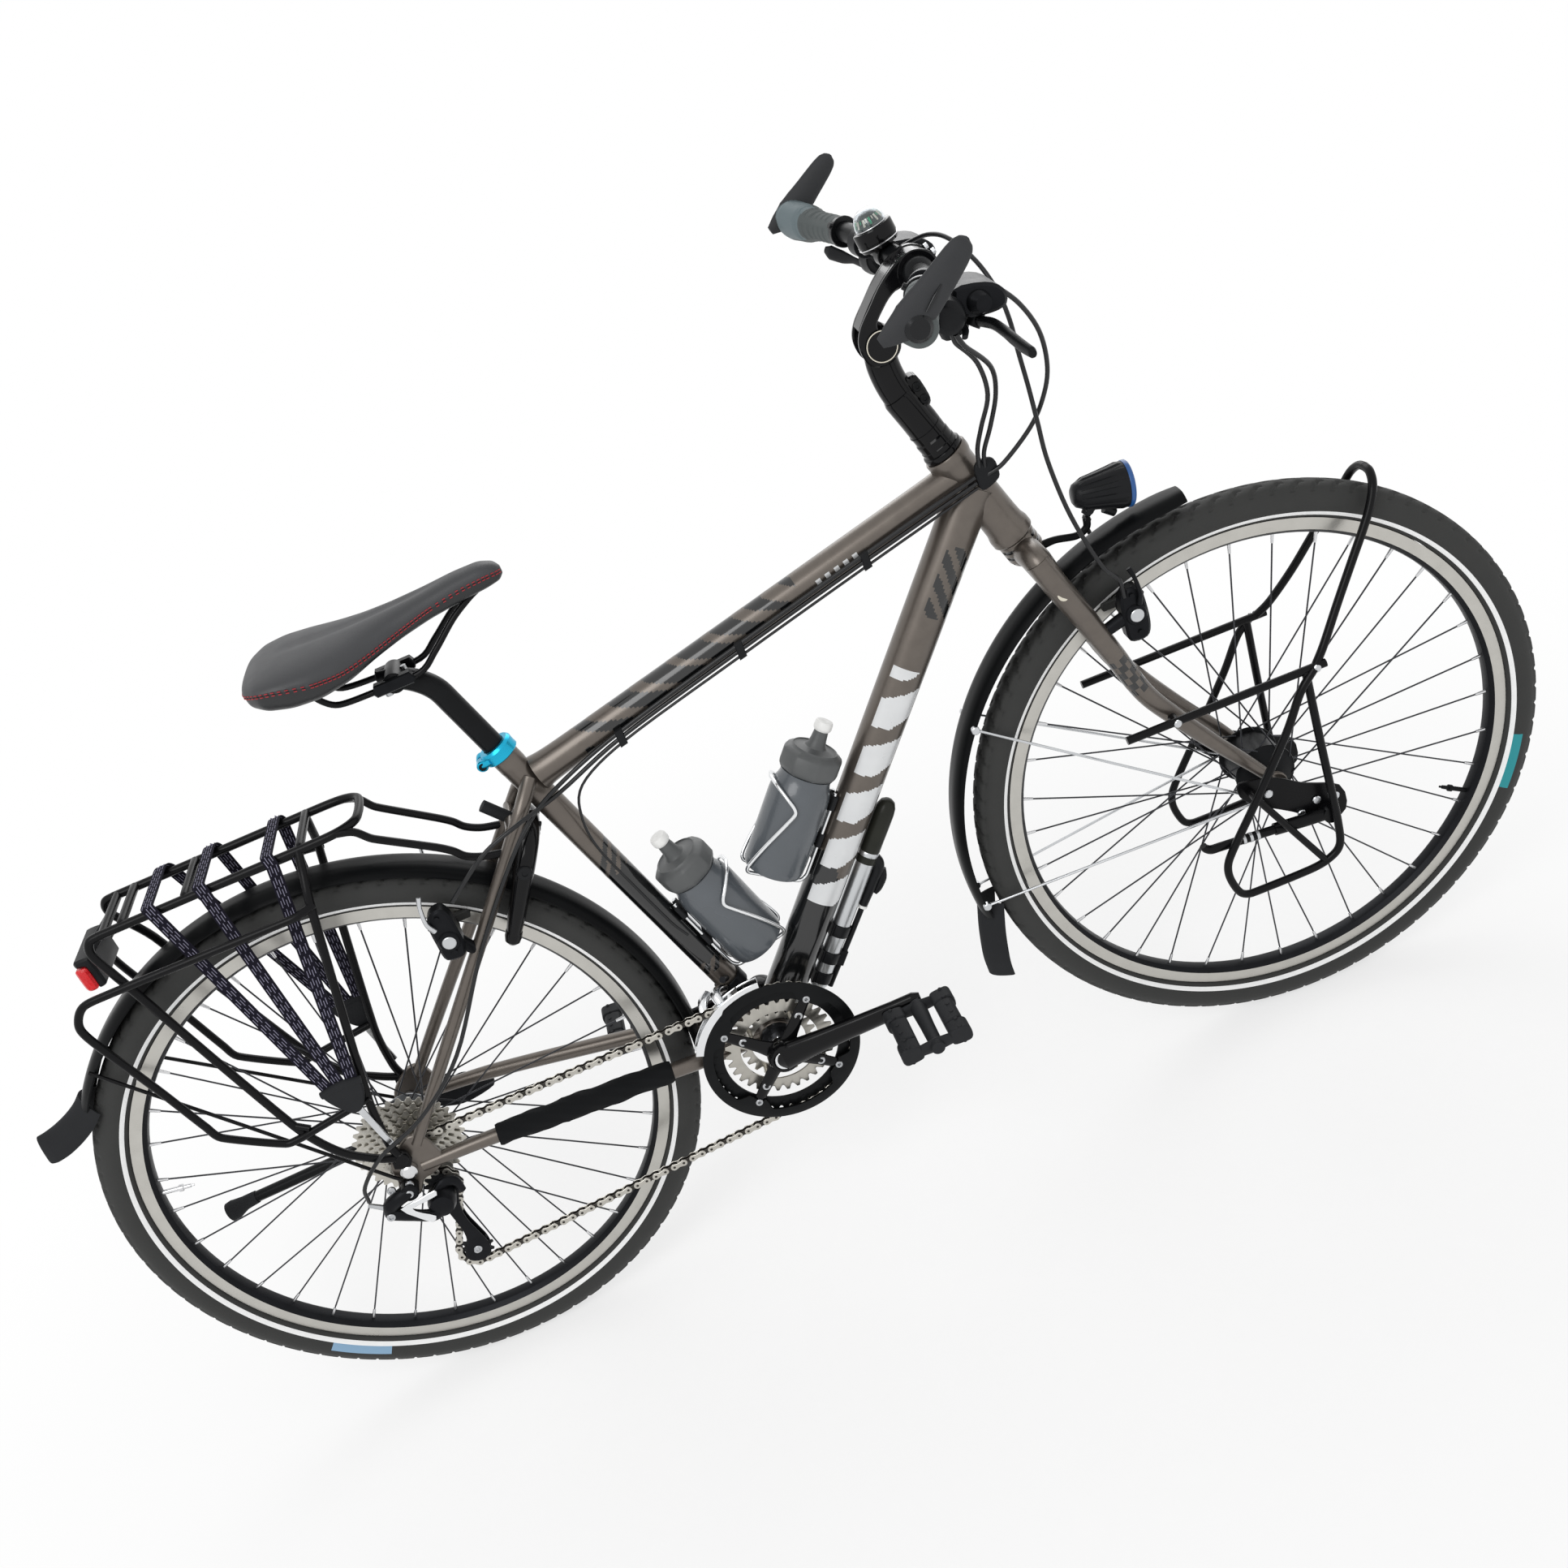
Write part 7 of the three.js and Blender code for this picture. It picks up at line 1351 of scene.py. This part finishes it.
piece("rear mudguard", arch((rear_hub.x, rear_hub.z), 372, -8, 144.5, 25.8, 10, 1.8), guard_plastic,
    hides="rear_mudguard")
piece("rear flap", joined(
    flap([(-299, 584), (-312, 573), (-328, 564), (-345, 557), (-360, 553), (-370, 552)],
        [26, 27, 27, 26, 23, 15], 3.4, 27.0),
    lathe((284, 0, 689), (-0.62, 0, 0.785), [(0, -2), (7, -2), (7, 34), (0, 34)], 16)), flap_rubber)
piece("rear stays", mirrored(pipe([(-262, 26.5, 617), (-140, 52, 487), (-20, 78, 358), (-12, 80, 351)],
    2.2, 10, 3)), black_steel)

deck_loop = [(-156, -44, 772), (-30, -44, 772), (96, -44, 772), (122, -41, 772), (139, -30, 772),
    (143, -12, 772), (143, 12, 772), (139, 30, 772), (122, 41, 772), (96, 44, 772), (-30, 44, 772),
    (-156, 44, 772)]
rear_leg = [(-154, 44, 772), (-166, 45, 770), (-171, 47, 760), (-169, 49, 748), (-150, 60, 700),
    (-84, 75, 476), (-58, 78, 424), (-26, 81, 396), (2, 81, 380)]
front_leg = [(75, 45, 772), (71, 54, 752), (64, 68, 722), (4, 76, 466), (-2, 80, 404), (2, 81, 380)]
bag_rail = [(66, 69, 718), (52, 77, 717), (40, 80, 717), (-60, 80, 719), (-178, 80, 721), (-196, 80, 719),
    (-208, 80, 708), (-213, 80, 693), (-207, 80, 666), (-184, 80, 592), (-165, 80, 524), (-157, 80, 502),
    (-101, 80, 461), (-84, 80, 460), (-68, 80, 462), (8, 78, 472)]
seatstay_link = [(118, 43, 772), (136, 42, 765), (150, 40, 748), (204, 37, 708), (218, 37, 696),
    (228, 37, 684), (244, 36, 675), (266, 36, 669)]
rack_foot = [(10, 386), (12, 374), (4, 362), (-12, 370), (-10, 382), (-2, 390)]
piece("rear rack", joined(
    pipe(deck_loop, 5, 14, 6),
    rod((-150, -44, 772), (-150, 44, 772), 5, 14),
    *[pipe([(x, -44, 772), (x, -40, 774), (x, 40, 774), (x, 44, 772)], [4.6, 5, 5, 4.6], 14, 4)
    for x in (-127.9, -55.1, 77.8)],
    mirrored(*[pipe(line, radius, 14, 6) for line, radius in (
        (rear_leg, 5), (front_leg, 5), (bag_rail, 4.6), (seatstay_link, 4.5),
        ([(-84, 75, 476), (-68, 80, 467)], 4))],
    disc((2, 380), 1, 74.5, 86, 8, 1, 24),
    plate(rack_foot, 78, 83, 0.8))), black_steel, hides="rear_rack")

# each strap: where it meets the anchor, the deck's edge and the middle of the deck
strap_section = [(-7, -0.7), (-6.6, -1), (6.6, -1), (7, -0.7), (7, 0.7), (6.6, 1), (-6.6, 1), (-7, 0.7)]
box_faces = [(0, 1, 3, 2), (4, 6, 7, 5), (0, 4, 5, 1), (2, 3, 7, 6), (0, 2, 6, 4), (1, 5, 7, 3)]
stripe_every = 11
dashes, straps = [], []
for low_x, deck_x, over_x in ((-20, -88, -94), (-9, -31, -35), (2, 46, 43)):
    half = [(low_x, 88, 492), ((low_x + deck_x) / 2, 71.6, 632), (deck_x, 54.6, 770),
        ((deck_x + over_x) / 2, 51, 778), (over_x, 45, 780.6)]
    path = beside(half, -1) + [(over_x, -20, 780.8), (over_x, 20, 780.8)] + beside(half, 1)[::-1]
    line = [p for p, share in curve_points(path, 22)]
    points, travelled = [], 0.0
    for i, (before, p, after) in enumerate(zip(line[:1] + line, line, line[1:] + line[-1:])):
        way = (after - before).normalized()
        wide = (Vector((1, 0, 0)) - way * way.x).normalized()
        thick = way.cross(wide)
        points += [p + wide * a + thick * b for a, b in strap_section]
        travelled += (p - before).length
        if travelled > stripe_every and i < len(line) - 2:
            travelled = 0.0
            for across, shift in ((-4.4, -1.6), (-1.5, 1.6), (1.5, -1.6), (4.4, 1.6)):
                middle = p + wide * across + way * shift
                corners = [middle + way * a * 4.2 + wide * b * 0.34 + thick * c * 1.22 for a in (-1, 1)
                    for b in (-1, 1) for c in (-1, 1)]
                dashes.append((corners, box_faces))
    straps.append(skin(points, len(strap_section)))
fan = [(-32, 508), (12, 508), (13, 500), (9, 486), (2, 474), (-7, 468), (-16, 472), (-25, 484), (-32, 499)]
clasp = [(-11, 470), (-3, 472), (3, 428), (6, 408), (0, 405), (-4, 424)]
cups, clasps = [], []
for side in (-1, 1):
    cups.append(plate(fan, *sorted((side * 83.4, side * 91.4)), 1.6, bend=4))
    cups.append(pipe(beside([(-34, 87.4, 505), (-10, 87.4, 508), (14, 87.4, 505)], side), [4.4, 5.4, 4.4],
        16, 8))
    clasps.append(plate(clasp, *sorted((side * 83, side * 86)), 0.7))
for number, shape in enumerate(straps, 1):
    strap = piece(f"luggage strap {number}", shape, strap_web, hides="rack_straps" if number == 1 else None)
piece("strap stripes", joined(*dashes), strap_print)
piece("strap anchors", joined(*cups), flap_rubber)
piece("strap hooks", joined(*clasps), stainless)

lamp_top = [(-198, 751), (-182, 751), (-180, 748), (-180, 716), (-183, 713), (-190, 713), (-190, 741),
    (-199, 743)]
lamp_red = [(-201, 741), (-192, 741), (-189, 738), (-189, 716), (-192, 713), (-200, 713), (-202.6, 718),
    (-202.6, 737)]
piece("tail light housing", joined(
    plate(lamp_top, -38, 38, 2.6, bend=3),
    mirrored(pipe([(-184, 20, 748), (-170, 20, 757), (-154, 20, 768.6)], 3.6, 12, 5))), lamp_shell,
    hides="tail_light")
piece("tail light lens", plate(lamp_red, -39.6, 39.6, 2.6, bend=3), red_lens)

lock_foot = Vector((228, 0, 564))
lock_up = Vector((0.5371, 0, 0.8435))
lock_front = Vector((0.8435, 0, -0.5371))


def on_lock(u, v, w=0.0):
    return lock_foot + Vector((0, u, 0)) + lock_up * v + lock_front * w


bow = [(-44, 6), (-44.4, 40), (-44.4, 76), (-41, 100), (-30, 122), (-12, 133), (12, 133), (30, 122),
    (41, 100), (44.4, 76), (44.4, 40), (44, 6)]
lock_end = [(0, -8), (9.6, -6), (10, 0), (8.6, 7), (5, 10.4), (0, 11)]
piece("ring lock", joined(
    pipe([on_lock(u, v) for u, v in bow], [8, 10.6, 11.4, 12.4, 13.6, 14, 14, 13.6, 12.4, 11.4, 10.6, 8], 24,
        6, 1.12),
    mirrored(lathe(on_lock(44, 10), -lock_up, lock_end, 24)),
    pipe([on_lock(0, 128, -4), on_lock(0, 136, 0), on_lock(0, 142, 4)], [20, 19, 12], 24, 5)), gloss_black,
    hides="ring_lock")
key_cylinder = [(0, -8), (8.6, -8), (8.6, 0), (7.6, 1.4), (3.4, 1.4), (3, 0.4), (0, 0.4)]
piece("lock clips", joined(
    lathe(on_lock(-56.4, 96), -sideways, key_cylinder, 28),
    mirrored(pipe([(268, 37, 664), (284, 37, 668), (296, 36, 668)], [8, 7, 7], 14, 5, 0.7),
    *[pipe([on_lock(8, v + 4, -8), on_lock(17, v + 1, 2), on_lock(14, v, 14)], [3.4, 4.4, 3.6], 10, 4, 0.7)
    for v in (126, 132, 138)])), lamp_shell)

# The kickstand: a leg of round bar on a hinge plate, with a soft foot, folded back along the wheel.
leg_line = [(44, 89.4, 331), (20, 89.4, 324), (-30, 89.4, 311), (-100, 89.4, 301), (-176, 89.4, 298.4),
    (-252, 89.4, 297)]
hinge = [(0, 82), (12, 82), (13, 83.4), (13, 96), (11, 98), (0, 98)]
piece("kickstand leg", joined(pipe(leg_line, [8.6, 7.8, 7.4, 7.2, 7.2, 7.2], 20, 7),
    lathe((46, 0, 332), sideways, hinge, 28)), satin_black, "rear_stand", hides="kickstand_leg")
foot_line = [(-244, 89.4, 297), (-262, 89.4, 295.4), (-277, 89.4, 292.6), (-284, 89.4, 291.4)]
piece("kickstand foot", pipe(foot_line, [8.4, 9.4, 13.4, 13], 20, 7, 0.95), flap_rubber, "rear_stand")
hinge_plate = [(14, 366), (60, 352), (96, 338), (95, 318), (50, 311), (16, 328)]
piece("kickstand mount", joined(plate(hinge_plate, 74.8, 81.4, 1.2, bend=4),
    disc((62, 334), 1, 81, 86, 17, 2, 32)), brake_casting, hides="kickstand_mount")
piece("kickstand bolts", joined(*[disc(place, 1, 81, 84.6, 5.2, 1, 20)
    for place in ((30, 350), (84, 328))]), bolt_steel)


# The bottles and the pump: smoky squeeze bottles with faceted lids and white spouts in polished wire cages,
# and an aluminium frame pump strapped below the down tube with its hose alongside.
smoky_bottle = surface("smoky translucent polyethylene", "#4b5055", "#5a5f64", rough=0.26, grain=0.006,
    bump=0.05, spread=0.06, coat=(0.25,))
# flat grey with fine grain
lid_grey = surface("slate-grey lid plastic", "#4d4f50", "#575959", rough=0.45, grain=0.0012, bump=0.2)
# small clean whites
spout_white = surface("white spout silicone", "#e9e9e7", "#f3f3f1", rough=0.42, grain=0.002, bump=0.08)
# a silver bar with fine lines along it
pump_alloy = surface("satin silver pump barrel", "#bfc2c4", "#cfd1d3", rough=0.3, metal=0.9, grain=0.0015,
    bump=0.06, stretch=(0.2, 1, 0.2))
# near-black with an olive cast
handle_smoke = surface("dark olive pump handle plastic", "#22231f", "#2f302a", rough=0.3, grain=0.002,
    bump=0.08, shine=0.14)

down_way = Vector((0.62964, 0, 0.77688))
down_out = Vector((-0.77688, 0, 0.62964))
rise = 196


def lid_facets(radius, height, angle):
    """Flattens the lid into eight facets."""
    if not 0.66 < height / rise < 0.81 or radius < 30:
        return radius
    return radius * (0.45 + 0.55 * math.cos(math.pi / 8) / math.cos(angle % (math.pi / 4) - math.pi / 8))


def block_plate(corners, half, edge):
    """A block across the middle plane from four corners."""
    return plate([(p.x, p.z) for p in corners], -half, half, edge)


# profiles hold a radius and a share of the bottle's height, apart from the body's mm
bottle_body = [(0, 1.5), (24, 1.5), (27, 0.2), (31, 0.2), (34.4, 2), (36.2, 7), (36.5, 14),
    (36.5, rise * 0.49), (36.2, rise * 0.53), (34.4, rise * 0.575), (32, rise * 0.605),
    (30.6, rise * 0.63), (30.6, rise * 0.655), (32, rise * 0.66), (0, rise * 0.66)]
lid = [(0, 0.662), (32, 0.662), (33.4, 0.668), (36, 0.69), (36.4, 0.70), (36.4, 0.778), (35, 0.79),
    (31, 0.806), (27.6, 0.815), (26.8, 0.822), (25.4, 0.815), (17, 0.82), (13, 0.83), (10.6, 0.85),
    (9.4, 0.88), (8.4, 0.93), (8.2, 0.945), (0, 0.945)]
spout = [(0, 0.935), (8.8, 0.935), (10.4, 0.945), (10.8, 0.955), (10.6, 0.985), (9.6, 0.995), (7, 0.999),
    (3.4, 0.996), (0, 0.99)]
# the cage's hoop round the front: an angle from the outside, a share of the height and a radius
hoop = [(0, 0.585, 39.6), (28, 0.575, 39.6), (56, 0.53, 39.8), (72, 0.49, 40), (76, 0.455, 40.2),
    (68, 0.38, 40.2), (48, 0.21, 40.2), (31, 0.06, 40.2), (26, 0.005, 39)]
# the wire under the bottle and up its back: along the bottle, outwards and sideways
back_wire = [(-3.2, 30, 15), (-3.4, 0, 12), (-3, -33, 10), (8, -40.6, 9), (rise * 0.5, -40.6, 9),
    (rise * 0.58, -40.6, 6)]
for name, foot, way, out, body in (
    ("down", Vector((531.17, 0, 492.18)), down_way, down_out, "lower_bottle"),
    ("seat", Vector((481.36, 0, 406.88)), Vector((-0.29349, 0, 0.95596)), Vector((0.95596, 0, 0.29349)),
        "upper_bottle"),
):
    piece(name + " bottle", lathe(foot, way, bottle_body, 72), smoky_bottle, body, hides="bottle_" + name)
    piece(name + " bottle lid", lathe(foot, way, [(r, rise * h) for r, h in lid], 96, lid_facets),
        lid_grey, body)
    piece(name + " bottle spout", lathe(foot, way, [(r, rise * h) for r, h in spout], 32), spout_white, body)
    line = [foot + way * rise * share + out * radius * math.cos(math.radians(angle))
        + sideways * radius * math.sin(math.radians(angle)) for angle, share, radius in hoop]
    line += [foot + way * s + out * reach + sideways * y for s, reach, y in back_wire]
    straps = [block_plate([foot + way * rise * h - out * d for h, d in ((low, 38.4), (high, 38.4),
        (high, 41), (low, 41))], 8.5, 0.6) for low, high in ((0.14, 0.24), (0.33, 0.46))]
    piece(name + " bottle cage", joined(mirrored(pipe(line, 2.3, 12, 7)), *straps), polished,
        hides="bottle_cage_" + name)
    pads = [block_plate([foot + way * (rise * share + s) - out * d for s, d in ((-9, 37.6), (9, 37.6),
        (9, 44), (-9, 44))], 13, 1.6) for share in (0.27, 0.52)]
    piece(name + " cage pads", joined(*pads), flap_rubber)

pump_foot = Vector((526.06, 0, 313.54))


def on_pump(s, out):
    """A point along the pump and out from its middle line, away from the down tube."""
    return pump_foot + down_way * s - down_out * out


piece("pump barrel", joined(
    lathe(pump_foot, down_way, [(0, 0.6), (9.6, 0.6), (10.6, 2), (11.6, 5), (11.6, 180), (0, 180)], 40),
    lathe(pump_foot, down_way, [(0, 186), (12.4, 186), (12.7, 188), (12.7, 191), (12.2, 192), (0, 192)], 40)),
    pump_alloy, hides="pump")
handle = [(0, 192), (12.2, 192), (12.7, 194), (12.6, 204), (12.7, 226), (12.6, 244), (11.6, 252),
    (8.6, 258.6), (4.4, 261.4), (0, 262)]
collar = [(0, 177), (12.6, 177), (12.8, 179), (12.8, 186), (0, 186)]
piece("pump handle", joined(lathe(pump_foot, down_way, handle, 40), lathe(pump_foot, down_way, collar, 40)),
    handle_smoke)
fittings = [
    pipe([on_pump(184, 8), on_pump(178, 16), on_pump(170, 19), on_pump(160, 19)], [8, 8, 7.4, 6.6], 18, 5),
    pipe([on_pump(166, 19), on_pump(140, 18.6), on_pump(120, 18)], [6.6, 6.2, 5.6], 18, 5),
    pipe([on_pump(172, 24), on_pump(160, 29), on_pump(146, 29), on_pump(138, 27)], [5, 5.4, 4.6, 3],
        14, 5, 0.7),
    block_plate([on_pump(34, 8), on_pump(54, 8), on_pump(54, 21), on_pump(34, 21)], 6, 2)]
strap_band = [(11.8, 0), (12.9, 0.6), (13.2, 2), (13.2, 14), (12.9, 15.4), (11.8, 16)]
for s in (15, 44, 82):
    fittings.append(lathe(on_pump(s - 8, 0), down_way, strap_band, 36))
    fittings.append(block_plate([on_pump(s - 8, -13), on_pump(s + 8, -13), on_pump(s + 8, -10),
        on_pump(s - 8, -10)], 11, 1.2))
piece("pump head and straps", joined(*fittings), lamp_shell)
hose_ring = [(0, -0.5), (6, -0.5), (6.2, 0), (6, 3), (0, 3)]
piece("pump hose ring", lathe(on_pump(119, 18), -down_way, hose_ring, 20), spout_white)
hose_route = [on_pump(122, 18), on_pump(80, 17.4), on_pump(44, 16.6), on_pump(20, 16), on_pump(2, 15.6)]
hose = piece("pump hose", pipe(hose_route, 3.6, 14, 5), lamp_shell)


# The cables and hoses: black lined housings and a hydraulic brake hose. They leave the levers and shifters,
# cross to the guide plate behind the head tube, and run along the frame. All are fixed at both ends.
housing = surface("black cable housing", "#101113", "#17181a", rough=0.3, grain=0.0008, bump=0.12,
    shine=0.4)
# plain matt black
clip_plastic = surface("black clip plastic", "#161719", "#1e1f21", rough=0.5, grain=0.001, bump=0.15,
    shine=0.14)


def run(name, line, radius, body="frame_body", hides=None):
    """A cable from one fixed end to the other. Given two bodies, it blends from the steered first one."""
    route = [Vector(p) for p in line]
    if isinstance(body, tuple):
        last = len(route) - 1
        on_both = body[1] in steered_bodies
        route = [steer @ p if on_both else p.lerp(steer @ p, min(1, (last - i) / 3))
            for i, p in enumerate(route)]
        body = *body, tuple(route[0] / 1000), tuple(route[-1] / 1000)
    made = piece(name, pipe(route, radius, 12, 6), housing, body, hides=hides)


gear_line = [(896.6, -27.5, 851.6), (757, -23.5, 819), (595, -23.5, 781), (437, -22, 741), (360, -26, 716),
    (310, -50, 698), (257, -60, 650), (191, -67, 574), (118, -79, 478), (50, -90, 427), (-12, -93, 402),
    (-48, -93, 372), (-57, -86, 345)]
brake_line = [(896.6, -27.5, 845.2), (757, -23.5, 812.6), (595, -23.5, 774.6), (437, -22, 734.6),
    (352, -28, 706), (300, -62, 706), (256, -68, 694), (216, -68, 668), (196, -64, 652)]
mech_line = [(896.6, -27.5, 839.6), (757, -23.2, 806.2), (595, -23.2, 768.2), (437, -21, 728.2),
    (376, -21, 700), (359, -20.5, 660), (362, -20.5, 612), (398, -21, 492), (410, -26, 470)]
run("rear gear housing", gear_line, 2.5, hides="frame_cables")
run("rear brake hose", brake_line, 2.5)
run("front gear cable", mech_line, 1.6)

rear_hose = [(934, -118, 1070), (950, -125, 1062), (973, -110, 1033), (990, -90, 993), (993, -72, 951),
    (984, -58, 918), (965, -45, 887), (929, -34, 857), (908, -28, 849)]
first_shift = [(894, -160, 1045), (897, -152, 1031), (915, -130, 1000), (923, -95, 955), (913, -60, 913),
    (906, -40, 885), (904, -28, 860)]
second_shift = [(896, -168, 1044), (903, -160, 1027), (926, -132, 992), (931, -95, 953), (922, -62, 911),
    (912, -40, 880), (910, -28, 858)]
run("bar brake hose", rear_hose, 2.5, ("fork_body", "frame_body"), "bar_cables")
run("first shift housing", first_shift, 2.5, ("fork_body", "frame_body"))
run("second shift housing", second_shift, 2.5, ("fork_body", "frame_body"))

front_line = [(910.9, 117.7, 1071.05), (909, 111, 1072.2), (920, 95, 1079), (942, 72, 1085),
    (956, 40, 1080), (968, 0, 1058), (975, -25, 1029), (976, -40, 1001), (974, -48, 969), (973, -54, 934),
    (971, -60, 897), (969, -66, 853), (975, -74, 790), (993, -75, 722), (1008, -68, 698), (1010, -66, 686),
    (1010, -66, 672.3)]
run("front brake hose", front_line, 2.5, ("bars", "fork_body"), "front_brake_hose")

clips = []
for x, y, z in ((757, -23, 813), (595, -23, 775), (437, -21.5, 735)):
    outline = [(x - 4.5, z - 11), (x + 4.5, z - 9), (x + 4.5, z + 10), (x - 4.5, z + 8)]
    clips.append(plate(outline, y - 4, y + 5, 1.2))
guide = [(898, 843), (900, 836), (908, 836), (921, 842), (923, 852), (921, 864), (912, 868), (902, 866),
    (898, 858)]
clips.append(plate(guide, -31, -23.4, 1.6, bend=3))
piece("cable clips", joined(*clips), clip_plastic)

# Presta valves through both rims: bright behind, black in front.
valve_stem = [(0, 0), (3, 0), (3, 22), (4.4, 22.4), (4.4, 27), (2.6, 27.6), (2.4, 36), (1.4, 36.6),
    (1.4, 40), (0, 40.4)]
for name, centre, angle, body, material in (("rear valve", rear_hub, 168.7, "rear_wheel", nipple_brass),
        ("front valve", front_hub, -31.9, "front_wheel", drum_black)):
    outwards = Vector((math.cos(math.radians(angle)), 0, math.sin(math.radians(angle))))
    piece(name, lathe(centre + outwards * 300, -outwards, valve_stem, 16), material, body)
